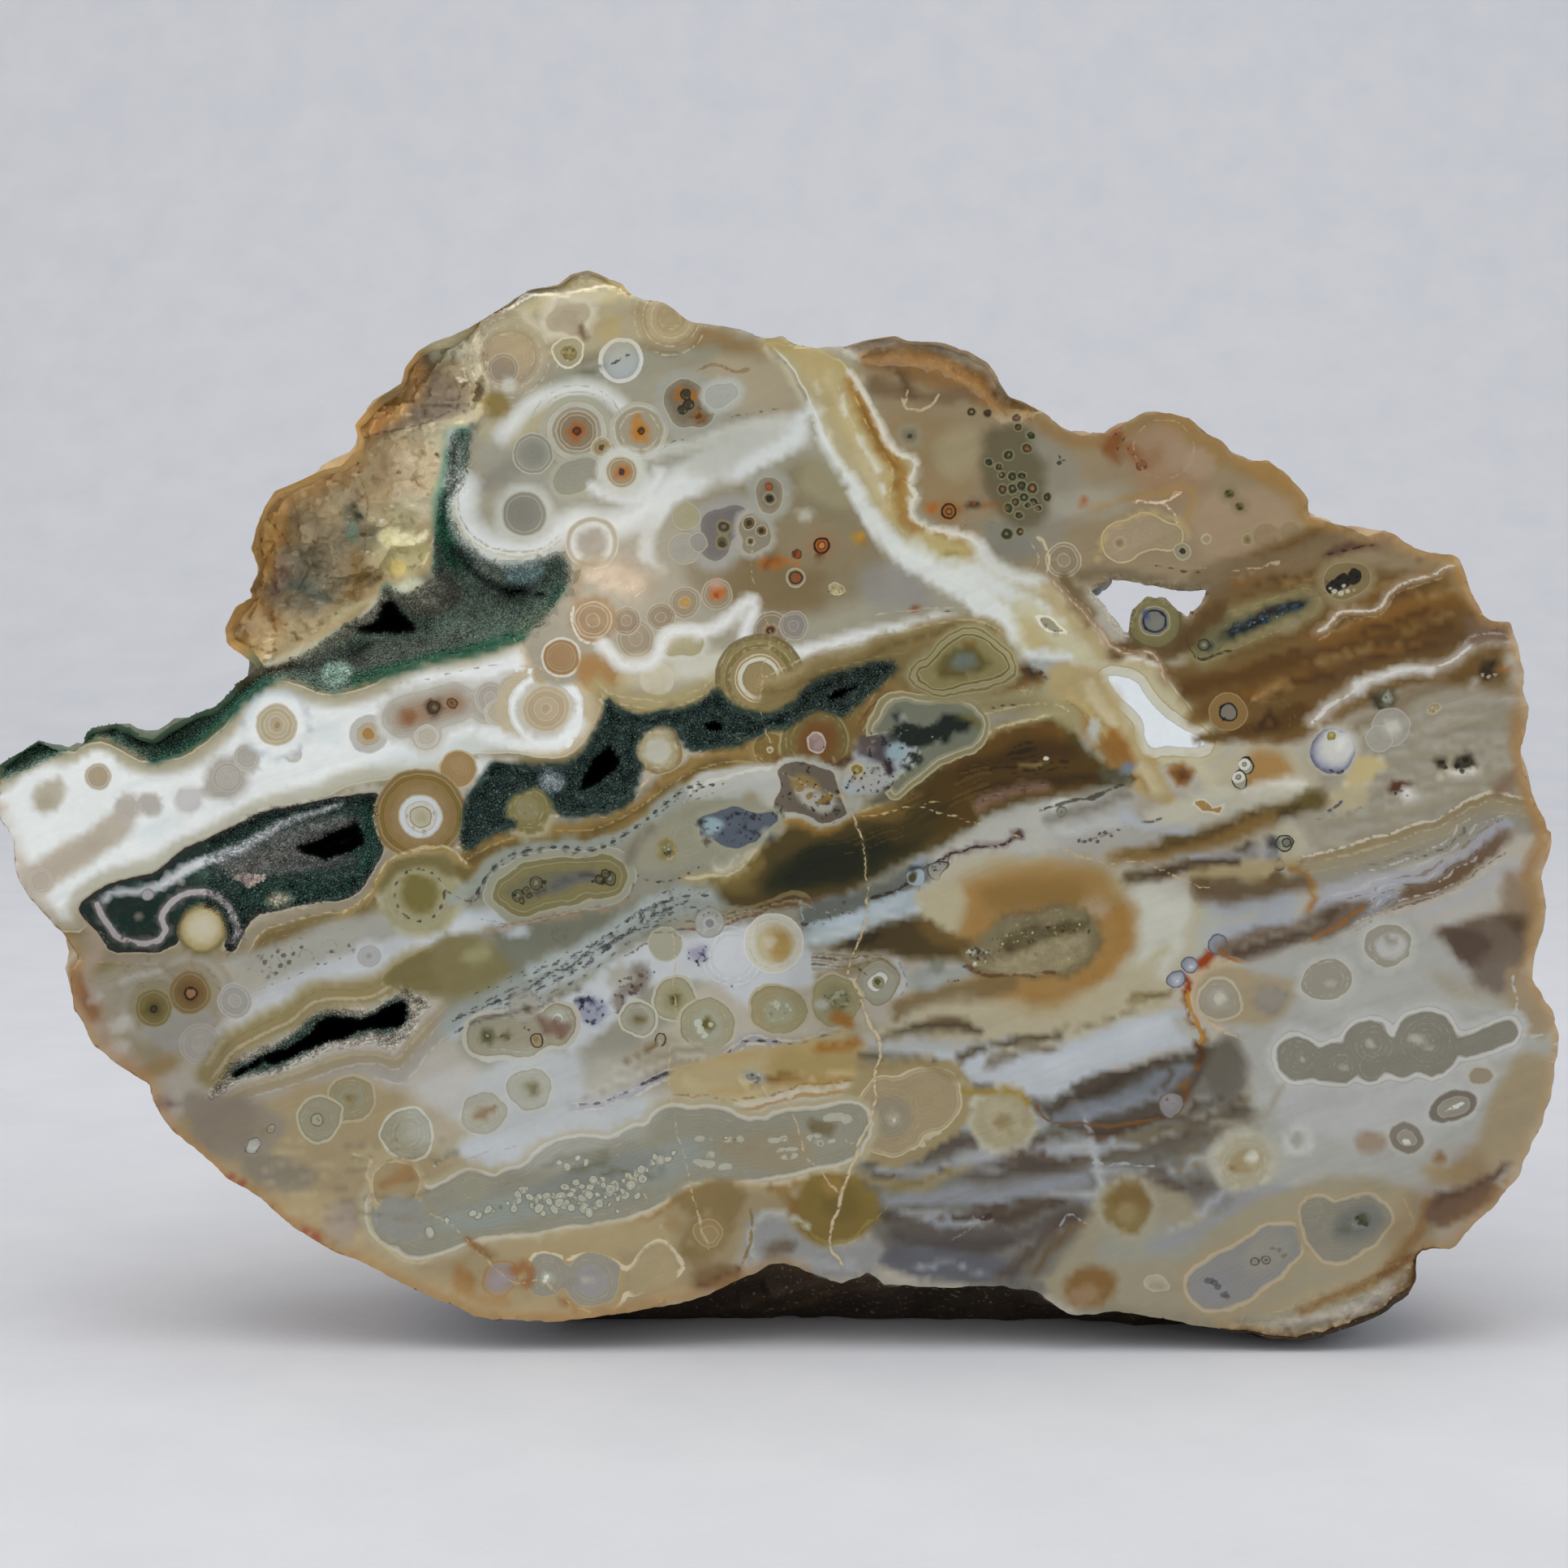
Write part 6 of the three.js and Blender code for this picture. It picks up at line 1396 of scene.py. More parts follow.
# ------------------------------------------------------------------ right: brown translucent streaks
wash([(1500, 690), (1600, 650), (1700, 650), (1800, 690), (1850, 770), (1880, 860), (1800, 850), (1700, 860), (1620, 900), (1560, 930), (1500, 900), (1440, 840), (1420, 790), (1480, 740)], (104, 82, 48), 9, 1.0)
RB = [((1470, 700), (1560, 690), (1640, 668), (1700, 660)), ((1480, 716), (1560, 706), (1640, 684), (1720, 672)), ((1500, 730), (1600, 706), (1700, 700), (1790, 690)), ((1640, 700), (1720, 690), (1800, 700)), ((1640, 745), (1700, 730), (1780, 716), (1812, 706)),
      ((1600, 800), (1660, 782), (1740, 744), (1820, 740)), ((1520, 830), (1600, 812), (1700, 780), (1800, 750)), ((1460, 850), (1560, 830), (1680, 800), (1780, 780)), ((1470, 880), (1560, 850), (1640, 830), (1760, 800)),
      ((1640, 840), (1720, 812), (1800, 790), (1860, 780)), ((1440, 820), (1500, 824), (1560, 810), (1620, 800)), ((1480, 905), (1540, 905), (1600, 880)), ((1680, 690), (1740, 684), (1780, 690))]
RC = [(118, 104, 80), (128, 110, 84), (112, 92, 62), (136, 122, 96), (122, 94, 56), (126, 92, 48), (112, 82, 42), (88, 64, 32), (102, 76, 38), (94, 72, 46), (112, 92, 58), (84, 62, 30), (140, 126, 100)]
for q, (p_, c_) in enumerate(zip(RB, RC)):
    brush(list(p_), 9, c_, 5, 0.85)
for q in range(44):
    x0 = 1470 + (q * 97 % 330)
    y0 = 905 - (x0 - 1470) * 0.35 - (q * 53 % 190)
    ln_ = 40 + (q * 31 % 70)
    if y0 < 690 or (1480 < x0 < 1640 and 730 < y0 < 800):
        continue
    c_ = [(142, 116, 74), (74, 52, 26), (150, 128, 92), (92, 68, 38), (122, 88, 44)][q % 5]
    brush([(x0, y0), (x0 + ln_ * 0.5, y0 - ln_ * 0.15), (x0 + ln_, y0 - ln_ * 0.30)], 1.6 + (q % 3), c_, 1.6, 0.6)
brush([(1634, 688), (1660, 680), (1690, 672), (1704, 668)], 5, (88, 66, 56), 4, 0.85)
dashes([(1634, 684), (1664, 676), (1694, 670)], (58, 38, 36), 2.2, 14, 4, 0.8)
line([(1518, 704), (1536, 700), (1552, 702), (1568, 694), (1580, 690), (1572, 698)], (178, 156, 128), 1.3, 0.8)
dashes([(1424, 698), (1440, 700), (1460, 704), (1480, 706)], (70, 46, 38), 2.0, 9, 6, 0.8)
line([(1412, 694), (1450, 698), (1486, 700)], (150, 130, 104), 1.6, 0.7)
# upper edge on the right
brush([(1690, 664), (1740, 676), (1790, 690), (1810, 740), (1838, 768)], 7, (138, 120, 90), 5, 0.8)
brush([(1790, 690), (1806, 712), (1818, 740), (1832, 764)], 6, (150, 116, 66), 4, 0.8)
# teal druse in its olive capsule
cap = union(caps(1484, 793, 1520, 775, 16), caps(1520, 775, 1608, 744, 15, 13), k=6)
fill(grow(cap, 13), (124, 112, 78), soft=6, wob=2)
fill(grow(cap, 7), (130, 120, 86), soft=3.0, wob=2)
rim(grow(cap, 6), -1.0, 1.0, (150, 138, 102), a=0.55)
fill(cap, (108, 104, 76), soft=2.0, line=(138, 128, 94), w=1.3, wob=2, fine=(4.0, 0.04))
line([(1463, 784), (1466, 799), (1480, 812), (1492, 808), (1503, 801), (1519, 803)], (54, 48, 34), 2.0, 0.85, 2, 1.2)
TD = [(1507, 784), (1514, 775), (1528, 768), (1542, 763), (1556, 753), (1572, 747), (1590, 741), (1604, 740), (1606, 748), (1590, 755), (1574, 760), (1556, 770), (1540, 776), (1524, 781), (1512, 788)]
tdr = poly(TD, 1)
fill(grow(tdr, 2), (84, 84, 62), soft=2.0, wob=2)
fill(tdr, (34, 42, 48), soft=1.6, wob=2)
brush([(1491, 791), (1500, 786), (1510, 780)], 2.6, (40, 50, 58), 2.0, 0.9)
for q in range(60):
    x0 = 1510 + (q * 37 % 93)
    y0 = 779 - (x0 - 1508) * 0.36 + (q * 23 % 13) - 7
    dots([(x0, y0)], [(136, 146, 142), (10, 14, 18), (62, 84, 92)][q % 3], 1.3 + (q % 3) * 0.5, 0.75)
fill(circ(1483, 794, 8), (92, 92, 72), soft=0.9, line=(52, 52, 44), w=1.7)
fill(circ(1483, 794, 3.5), (128, 126, 102), soft=1.2)
fill(oval(1588, 772, 16, 9, 12), (140, 130, 102), soft=5, a=0.7)
# dark bead pocket
lobes([(1654, 716, 24), (1670, 712, 20)], (122, 108, 78), (136, 122, 92), 6, (144, 130, 98))
fill(union(caps(1640, 722, 1652, 714, 8), circ(1668, 709, 9), k=5), (40, 40, 34), soft=1.4, wob=2)
dots([(1644, 728), (1652, 731), (1660, 728), (1668, 727), (1640, 724), (1656, 722)], (186, 180, 158), 2.6, 0.85)
dots([(1642, 716), (1650, 711), (1664, 706), (1672, 710), (1660, 714), (1648, 720)], (16, 18, 16), 2.6, 0.9)
fill(circ(1448, 806, 17), (150, 140, 116), soft=4)
fill(circ(1448, 806, 12), (176, 174, 156), soft=2.5, line=(150, 142, 118), w=1.4)
fill(circ(1450, 804, 5), (142, 140, 120), soft=2.5)
# the orb that stands in the hole, and the brown ground round it
brush([(1376, 800), (1400, 790), (1424, 806), (1450, 794), (1472, 770), (1500, 748)], 12, (88, 68, 42), 6, 0.9)
brush([(1340, 712), (1370, 704), (1420, 708), (1470, 716), (1500, 722)], 7, (112, 100, 78), 5, 0.85)
brush([(1318, 716), (1330, 736), (1346, 760)], 8, (106, 90, 60), 5, 0.85)
fill(circ(1423, 765, 36), (96, 84, 58), soft=4)
fill(circ(1423, 765, 33), (112, 106, 74), soft=1.4, line=(92, 84, 58), w=1.4, fine=(4.0, 0.05))
fill(circ(1423, 765, 26), (118, 112, 78), soft=2.0, fine=(4.0, 0.05))
fill(circ(1423, 765, 19), (120, 118, 98), soft=1.2, line=(156, 152, 130), w=1.3)
fill(circ(1423, 765, 15), (112, 112, 104), soft=0.9, line=(40, 46, 62), w=2.8)
fill(circ(1424, 767, 9), (120, 120, 110), soft=4)
fill(oval(1412, 758, 3, 7, 25), (68, 80, 108), soft=2.0)
PKL = [(1300, 716), (1320, 740), (1341, 762), (1352, 774), (1362, 785), (1374, 798), (1385, 808), (1399, 808), (1412, 804), (1423, 812), (1430, 826), (1433, 839)]
brush(PKL, 4, (150, 128, 98), 3, 0.8, 2)
line(PKL, (186, 166, 146), 1.4, 0.85, 2)
line([(x + 5, y - 4) for x, y in PKL[:8]], (168, 150, 124), 1.0, 0.7, 2)
# amber triangles, orbs and the ring on the brown
fill(circ(1513, 877, 24), (128, 104, 66), soft=1.2, line=(140, 122, 88), w=1.6, fine=(4.0, 0.05))
fill(circ(1513, 877, 11.5), (118, 112, 100), soft=0.9, line=(40, 38, 40), w=2.2)
dots([(1508, 886), (1518, 868), (1504, 871)], (20, 20, 20), 2.0, 0.8)
fill(poly([(1563, 868), (1582, 898), (1540, 902)], 2), (60, 44, 22), soft=5, wob=2)
fill(poly([(1563, 878), (1573, 896), (1552, 897)], 1), (98, 72, 40), soft=2.5, wob=2)
rings(1563, 890, (34, 27), (124, 98, 60), 1.2, 0.5)
line([(1545, 862), (1556, 854), (1572, 848)], (176, 146, 100), 2.2, 0.7, 1, 1.6)
brush([(1556, 862), (1580, 846), (1592, 850)], 7, (140, 112, 72), 5, 0.7)
# white jagged lines
W1 = [(1624, 781), (1640, 774), (1648, 758), (1672, 756), (1697, 750), (1708, 734), (1722, 724), (1745, 716), (1764, 709), (1792, 696)]
brush(W1, 4.5, (166, 150, 126), 3.0, 0.8, 2)
line(W1, (200, 190, 176), 1.8, 0.9, 2)
line([(x + 2, y + 8) for x, y in W1], (160, 140, 108), 1.3, 0.7, 2)
W2 = [(1618, 892), (1632, 876), (1652, 862), (1676, 848), (1700, 834), (1732, 822), (1760, 826), (1789, 814), (1808, 796), (1828, 784), (1856, 788)]
brush(W2, 8, (170, 164, 152), 5, 0.9, 2)
brush(W2[3:7], 7, (198, 198, 190), 4, 0.9, 2)
line(W2, (206, 202, 194), 1.8, 0.85, 2)
line([(x + 4, y + 11) for x, y in W2[1:]], (128, 106, 78), 2.6, 0.7, 2, 1.6)
wash([(1794, 776), (1830, 770), (1862, 772), (1868, 800), (1840, 796), (1810, 800)], (112, 92, 74), 5, 0.9)
line([(1800, 800), (1812, 784), (1840, 780), (1868, 786)], (150, 142, 132), 1.6, 0.8)
dashes([(1806, 790), (1824, 780), (1850, 776)], (70, 44, 36), 1.5, 10, 5, 0.7)
# grey-beige field below them
GAIN = 1.105 * 0.93
wash([(1630, 900), (1700, 862), (1780, 846), (1870, 850), (1880, 920), (1876, 960), (1890, 1000), (1780, 1010), (1700, 1040), (1620, 1050), (1600, 980), (1600, 940)], (158, 152, 134), 8, 1.0)
for q in range(26):
    y0 = 862 + q * 6.3
    c_ = [(168, 164, 150), (146, 138, 118), (176, 172, 158), (152, 142, 118), (140, 134, 120)][q % 5]
    brush([(1640, y0 + 34), (1720, y0 + 22), (1800, y0 + 6), (1880, y0 + 2)], 2.4, c_, 2.2, 0.55)
brush([(1640, 906), (1700, 876), (1760, 856), (1840, 846), (1880, 852)], 6, (134, 118, 90), 5, 0.7)
fill(union(circ(1700, 867, 9), circ(1712, 861, 9), k=4), (58, 56, 42), soft=2.0, wob=2)
fill(circ(1707, 862, 13), (84, 86, 70), soft=4, a=0.6)
fill(circ(1710, 861, 7), (168, 174, 158), soft=2.0)
fill(circ(1708, 860, 3), (96, 104, 84), soft=1.2)
fill(circ(1836, 824, 15), (110, 92, 66), soft=5)
fill(circ(1834, 824, 11), (54, 48, 32), soft=2.0, wob=2)
fill(oval(1852, 825, 7, 5, 0), (160, 110, 58), soft=2.5)
dots([(1826, 832), (1834, 834), (1842, 832)], (190, 182, 156), 2.4, 0.8)
fill(circ(1768, 875, 8), (160, 148, 118), soft=1.2, line=(186, 174, 140), w=1.3, wob=2)
dots([(1766, 872), (1771, 877), (1764, 878)], (196, 186, 146), 1.8, 0.9)
dots([(1767, 876)], (84, 72, 48), 1.6, 0.9)
fill(oval(1813, 842, 8, 4, 10), (196, 192, 184), soft=3)
for x, y, r in ((1714, 896, 24), (1700, 910, 17)):
    fill(circ(x, y, r), (164, 160, 148), soft=1.2, line=(182, 178, 166), w=1.4, a=0.9)
fill(circ(1716, 896, 10), (196, 194, 182), soft=4)
GAIN = 1.105
# pearl with its lavender crescent
fill(circ(1644, 925, 33), (168, 162, 144), soft=3)
fill(circ(1642, 926, 28), (96, 98, 120), soft=1.2, wob=1)
fill(circ(1644, 924, 26), (158, 160, 166), soft=3)
fill(circ(1647, 921, 22), (190, 190, 182), soft=4)
fill(circ(1640, 908, 6), (170, 158, 96), soft=1.2, line=(132, 120, 64), w=1.3)
fill(circ(1652, 917, 7), (206, 206, 198), soft=3)
line([(1638, 948), (1648, 955), (1656, 950)], (36, 36, 48), 1.6, 0.8)
fill(poly([(1664, 952), (1672, 938), (1682, 927), (1700, 936), (1712, 945), (1700, 952), (1690, 966), (1670, 972), (1656, 968)], 1), (178, 164, 120), soft=2.0, line=(200, 192, 164), w=1.8, wob=2)
wash([(1640, 960), (1700, 960), (1680, 990), (1640, 990)], (176, 164, 130), 6, 0.7)
# amber spot with its double orbs
wash([(1500, 930), (1560, 920), (1600, 920), (1640, 960), (1600, 990), (1520, 990), (1490, 960)], (170, 162, 138), 7, 0.95)
wash([(1540, 930), (1580, 926), (1600, 948), (1570, 962), (1540, 974), (1530, 960)], (152, 118, 70), 9, 0.9)
for x, y in ((1533, 941), (1526, 958)):
    fill(circ(x, y, 11), (150, 146, 128), soft=0.9, line=(40, 40, 36), w=1.9, wob=2)
    fill(circ(x, y, 7.5), (196, 194, 182), soft=1.2)
    fill(circ(x, y, 3.6), (150, 142, 124), soft=0.9, line=(96, 90, 76), w=1.0)
fill(poly([(1434, 940), (1478, 944), (1470, 958), (1456, 972), (1444, 958)], 1), (128, 90, 44), soft=3.0, wob=1)
fill(circ(1458, 956, 7), (88, 62, 36), soft=3)
brush([(1418, 930), (1424, 960), (1440, 978), (1460, 982)], 7, (164, 138, 84), 5, 0.9)
brush([(1470, 934), (1490, 950), (1500, 970)], 8, (182, 176, 148), 5, 0.8)
wash([(1440, 980), (1500, 960), (1560, 975), (1620, 962), (1600, 985), (1520, 1000), (1450, 1012), (1400, 1000)], (188, 186, 168), 5, 0.95)
fill(poly([(1466, 990), (1480, 984), (1492, 996), (1512, 988), (1500, 1004), (1478, 1006)], 0), (160, 132, 82), soft=0.9, line=(206, 200, 184), w=2.2, wob=2)
brush([(1540, 974), (1580, 962), (1612, 966)], 6, (204, 202, 190), 3.5, 0.9)
# dark lobes on the right
fill(circ(1579 + 200, 946, 16), (150, 142, 122), soft=5)
fill(union(circ(1776, 943, 8), caps(1800, 944, 1812, 938, 9), k=5), (66, 62, 48), soft=2.0, wob=2)
brush([(1770, 956), (1790, 958), (1812, 956), (1818, 950)], 5, (206, 202, 190), 3, 0.9)
dots([(1776, 940), (1796, 944), (1806, 936), (1814, 942), (1782, 946), (1802, 950)], (34, 34, 26), 3.0, 0.85)
fill(oval(1724, 972, 14, 6, 20), (84, 58, 40), soft=2.0, wob=2)
fill(circ(1736, 978, 9), (196, 194, 186), soft=3.5)
dots([(1728, 974), (1734, 978), (1720, 977)], (40, 26, 20), 2.0, 0.85)
line([(1656, 984), (1650, 991), (1642, 996), (1634, 1000)], (70, 72, 92), 1.8, 0.85)
dashes([(1620, 1010), (1660, 1000), (1690, 990)], (120, 108, 96), 1.5, 9, 8, 0.6)
# long cream line and the bands beneath
GAIN = 1.105 * 0.91
W3 = [(1600, 1058), (1626, 1051), (1652, 1046), (1667, 1043), (1690, 1032), (1710, 1026), (1748, 1013), (1789, 1002), (1812, 988), (1836, 975), (1850, 976), (1870, 981), (1896, 984)]
brush([(x, y + 16) for x, y in W3], 15, (156, 146, 120), 8, 0.95, 2)
brush([(x, y + 36) for x, y in W3], 10, (146, 142, 128), 7, 0.9, 2)
brush([(x, y + 5) for x, y in W3], 4, (150, 132, 96), 3, 0.8, 2)
line(W3, (206, 198, 176), 2.0, 0.9, 2)
line([(x, y + 11) for x, y in W3], (186, 174, 142), 1.3, 0.7, 2)
line([(x, y + 24) for x, y in W3], (170, 160, 132), 1.3, 0.6, 2)
brush([(1850, 970), (1872, 950), (1884, 960)], 8, (130, 108, 86), 6, 0.8)
# bluish, white and brown streaks going down to the right edge
DS = [((1626, 1112), (1700, 1090), (1780, 1060), (1850, 1024)), ((1640, 1096), (1720, 1072), (1800, 1050)), ((1640, 1140), (1700, 1112), (1760, 1090), (1840, 1050)), ((1700, 1150), (1760, 1124), (1830, 1090), (1880, 1070)), ((1740, 1090), (1800, 1062), (1850, 1042)),
      ((1760, 1160), (1820, 1120), (1870, 1100)), ((1620, 1130), (1680, 1120), (1720, 1100))]
DC = [(166, 168, 176), (172, 172, 176), (104, 84, 62), (176, 176, 176), (112, 92, 70), (180, 178, 172), (156, 160, 170)]
for p_, c_ in zip(DS, DC):
    brush(list(p_), 9, c_, 5, 0.9)
for q in range(22):
    x0, y0 = 1630 + (q * 41 % 190), 1150 - (q * 29 % 90)
    y0 -= (x0 - 1630) * 0.3 - 10
    brush([(x0, y0), (x0 + 30, y0 - 12), (x0 + 64, y0 - 27)], 1.5, [(90, 66, 44), (188, 188, 184), (130, 110, 84), (196, 196, 192)][q % 4], 1.4, 0.65)
brush([(1880, 880), (1884, 960), (1896, 1010), (1894, 1060), (1894, 1120), (1884, 1180)], 11, (158, 128, 88), 8, 0.9)
brush([(1870, 1090), (1878, 1130), (1860, 1170)], 14, (140, 120, 96), 8, 0.8)
wash([(1766, 1150), (1812, 1138), (1886, 1120), (1892, 1150), (1844, 1190), (1780, 1200)], (98, 82, 64), 6, 0.95)
brush([(1780, 1180), (1830, 1160), (1880, 1140)], 4, (74, 58, 44), 3, 0.8)
GAIN = 1.105
# ring cluster and the dark olive bands in the middle right
fill(circ(1586, 1040, 24), (176, 172, 150), soft=5)
fill(circ(1586, 1038, 12), (150, 150, 136), soft=1.0, line=(52, 54, 48), w=2.2, wob=2)
fill(circ(1586, 1038, 6.5), (120, 120, 104), soft=0.9, line=(40, 42, 38), w=1.7)
brush([(1570, 1030), (1566, 1046), (1572, 1060)], 6, (58, 60, 62), 3, 0.85)
fill(circ(1577, 1066, 7), (96, 98, 92), soft=0.9, line=(44, 44, 40), w=1.6, wob=2)
DO = [((1390, 1046), (1440, 1034), (1511, 1018), (1570, 1000), (1630, 978)), ((1380, 1062), (1432, 1040), (1515, 1021), (1600, 990)), ((1392, 1092), (1432, 1079), (1471, 1069), (1541, 1042)), ((1480, 1086), (1520, 1090), (1570, 1080))]
DOC = [(92, 80, 46), (70, 58, 32), (76, 62, 42), (100, 84, 54)]
for p_, c_, w_ in zip(DO, DOC, (12, 6, 9, 14)):
    brush(list(p_), w_, c_, 6, 0.95)
brush([(1440, 1054), (1480, 1046), (1530, 1030)], 5, (166, 164, 158), 4, 0.85)
brush([(1450, 1060), (1470, 1050), (1490, 1052)], 4, (150, 156, 168), 3, 0.8)
brush([(1500, 1070), (1540, 1058), (1570, 1062), (1540, 1078), (1490, 1082)], 5, (176, 164, 128), 4, 0.8)
line([(1590, 1072), (1612, 1080), (1618, 1100), (1612, 1124)], (146, 104, 48), 4.0, 0.85, 2, 3.0)
brush([(1500, 1110), (1560, 1100), (1600, 1110), (1560, 1140), (1500, 1150)], 16, (150, 156, 162), 9, 0.85)
brush([(1380, 1130), (1440, 1120), (1500, 1130), (1480, 1170), (1420, 1200)], 18, (160, 164, 154), 10, 0.85)
fill(circ(1442, 1106, 18), (180, 182, 172), soft=4)
fill(circ(1442, 1105, 11), (164, 166, 152), soft=1.0, line=(196, 196, 186), w=1.6, wob=2)
fill(circ(1444, 1107, 5.5), (108, 108, 96), soft=0.9, line=(62, 62, 54), w=1.4)
dots([(1442, 1098), (1447, 1108)], (34, 34, 30), 1.8, 0.9)

# ------------------------------------------------------------------ middle: grounds
wash([(560, 1010), (700, 990), (850, 940), (960, 930), (1120, 950), (1260, 870), (1350, 900), (1400, 980), (1300, 1060), (1150, 1140), (1000, 1180), (860, 1200), (760, 1330), (600, 1330), (540, 1240)], (138, 136, 122), 10, 1.0)
wash([(540, 1150), (620, 1160), (640, 1200), (600, 1240), (540, 1245)], (118, 110, 74), 13, 0.9)
fill(oval(588, 1176, 18, 10, 10), (142, 138, 104), soft=6)
wash([(620, 1130), (760, 1112), (840, 1100), (820, 1140), (720, 1180), (640, 1220), (610, 1180)], (112, 114, 98), 8, 0.9)
brush([(545, 1142), (580, 1132), (615, 1126), (650, 1136)], 11, (182, 190, 194), 6, 0.95)
brush([(540, 1152), (570, 1150), (600, 1140)], 8, (188, 192, 192), 5, 0.9)
# white and lavender field
wash([(640, 1234), (700, 1225), (760, 1180), (820, 1150), (900, 1148), (960, 1140), (985, 1150), (1000, 1190), (1050, 1200), (1050, 1214), (1000, 1214), (960, 1224), (930, 1240), (905, 1236), (870, 1215), (800, 1215), (770, 1240), (745, 1270), (710, 1290), (690, 1300)], (178, 182, 182), 6, 1.0)
wash([(600, 1300), (700, 1290), (720, 1320), (760, 1345), (820, 1356), (900, 1364), (940, 1380), (860, 1380), (780, 1395), (700, 1400), (620, 1420), (560, 1400)], (166, 168, 164), 8, 1.0)
fill(circ(902, 1178, 27), (186, 188, 190), soft=6, a=0.9)
rings(902, 1178, (27, 34, 41), (166, 168, 170), 1.4, 0.5)
rings(902, 1178, (30, 37), (198, 200, 202), 1.4, 0.5)
# ground between the white band, the vein and the dark field
wash([(930, 836), (1000, 800), (1080, 786), (1150, 768), (1200, 760), (1236, 778), (1268, 806), (1300, 850), (1292, 872), (1230, 880), (1190, 896), (1120, 900), (1060, 940), (1000, 960), (930, 930)], (126, 112, 74), 8, 1.0)
wash([(940, 840), (1010, 806), (1090, 790), (1160, 774), (1210, 772), (1160, 800), (1100, 806), (1020, 822), (960, 850)], (134, 118, 78), 6, 0.9)
brush([(930, 842), (1000, 808), (1080, 790), (1150, 772), (1200, 766), (1240, 786)], 4, (152, 138, 102), 3, 0.85)
brush([(940, 852), (1010, 820), (1090, 802), (1140, 790), (1180, 776), (1210, 780), (1250, 804)], 3, (112, 96, 60), 2.5, 0.85)
line([(936, 838), (1000, 804), (1080, 786), (1150, 768), (1200, 761), (1240, 782)], (176, 164, 130), 1.2, 0.8)
line([(1010, 826), (1090, 808), (1130, 800)], (150, 134, 96), 1.1, 0.75)
wash([(1236, 800), (1262, 800), (1290, 830), (1284, 850), (1250, 836)], (92, 72, 46), 5, 0.95)
wash([(1262, 812), (1284, 818), (1288, 836), (1268, 830)], (62, 48, 34), 4, 0.95)
brush([(1046, 894), (1062, 872), (1080, 856), (1104, 846), (1150, 858), (1200, 856), (1244, 846), (1282, 838)], 8, (124, 98, 58), 5, 0.95)
brush([(1050, 884), (1070, 862), (1098, 843), (1150, 851), (1200, 848), (1240, 836)], 2.4, (148, 122, 80), 2, 0.85)
line([(1058, 892), (1074, 868), (1100, 852), (1150, 864), (1200, 862), (1250, 850)], (104, 80, 48), 1.6, 0.8)
line([(1062, 902), (1080, 874), (1104, 860), (1150, 871), (1200, 868), (1262, 852)], (164, 150, 112), 1.4, 0.8)
brush([(1068, 912), (1084, 882), (1106, 868), (1140, 880), (1190, 876), (1230, 866), (1270, 852), (1300, 842)], 7, (148, 144, 116), 5, 0.95)
brush([(1200, 884), (1240, 874), (1290, 860), (1312, 858)], 6, (154, 150, 124), 5, 0.9)
# ground between the grey knot, the pale lens and the field's right end
wash([(1286, 820), (1330, 806), (1366, 836), (1392, 880), (1420, 930), (1446, 980), (1420, 984), (1390, 960), (1350, 906), (1310, 866)], (166, 150, 110), 8, 1.0)
wash([(1300, 862), (1336, 858), (1372, 890), (1398, 930), (1420, 972), (1390, 960), (1352, 914)], (140, 112, 68), 6, 0.95)
brush([(1326, 850), (1356, 880), (1384, 924), (1408, 966)], 4, (176, 156, 110), 3, 0.85)
brush([(1340, 838), (1372, 876), (1402, 926), (1424, 968)], 5, (184, 174, 142), 4, 0.9)
brush([(1376, 900), (1392, 914), (1400, 928)], 5, (148, 100, 44), 4, 0.85)
line([(1312, 862), (1344, 884), (1370, 920), (1396, 956)], (110, 84, 48), 1.4, 0.75)
# dark olive field
GAIN = 1.105 * 0.94
DARK = [(884, 1080), (930, 1056), (944, 1036), (969, 1016), (1000, 1010), (1042, 1012), (1066, 998), (1100, 985), (1134, 958), (1158, 938), (1188, 922), (1221, 900), (1262, 884), (1296, 876), (1312, 884), (1326, 906), (1344, 930), (1390, 950), (1404, 962), (1360, 968), (1310, 976), (1270, 988), (1230, 1000), (1192, 1022), (1163, 1036), (1133, 1051), (1104, 1066), (1076, 1084), (1045, 1096), (1004, 1104), (966, 1118), (930, 1120), (898, 1114), (860, 1104), (840, 1098)]
dk = poly(DARK, 1)
fill(dk, (88, 76, 42), soft=2.5, wob=2)
wash([(1120, 980), (1190, 930), (1290, 882), (1330, 920), (1390, 954), (1300, 976), (1220, 1000), (1150, 1036)], (88, 68, 30), 10, 0.95)
wash([(930, 1086), (990, 1040), (1060, 1014), (1120, 1010), (1150, 1030), (1080, 1078), (1000, 1100), (950, 1110)], (46, 48, 24), 11, 0.98)
wash([(960, 1080), (1010, 1046), (1080, 1030), (1100, 1040), (1040, 1086), (980, 1100)], (38, 42, 22), 9, 0.9)
wash([(1070, 1020), (1120, 990), (1160, 990), (1180, 1008), (1130, 1040), (1090, 1044)], (76, 64, 30), 9, 0.8)
wash([(1060, 1000), (1100, 986), (1130, 965), (1140, 985), (1090, 1010)], (120, 98, 54), 6, 0.8)
brush([(1170, 944), (1230, 910), (1290, 890), (1312, 900)], 9, (112, 84, 38), 6, 0.85)
brush([(1190, 960), (1250, 930), (1320, 916)], 9, (74, 56, 22), 7, 0.8)
brush([(1210, 984), (1260, 966), (1330, 950), (1380, 958)], 7, (64, 50, 26), 6, 0.8)
wash([(870, 1086), (910, 1076), (930, 1090), (900, 1108), (860, 1100)], (112, 98, 56), 6, 0.9)
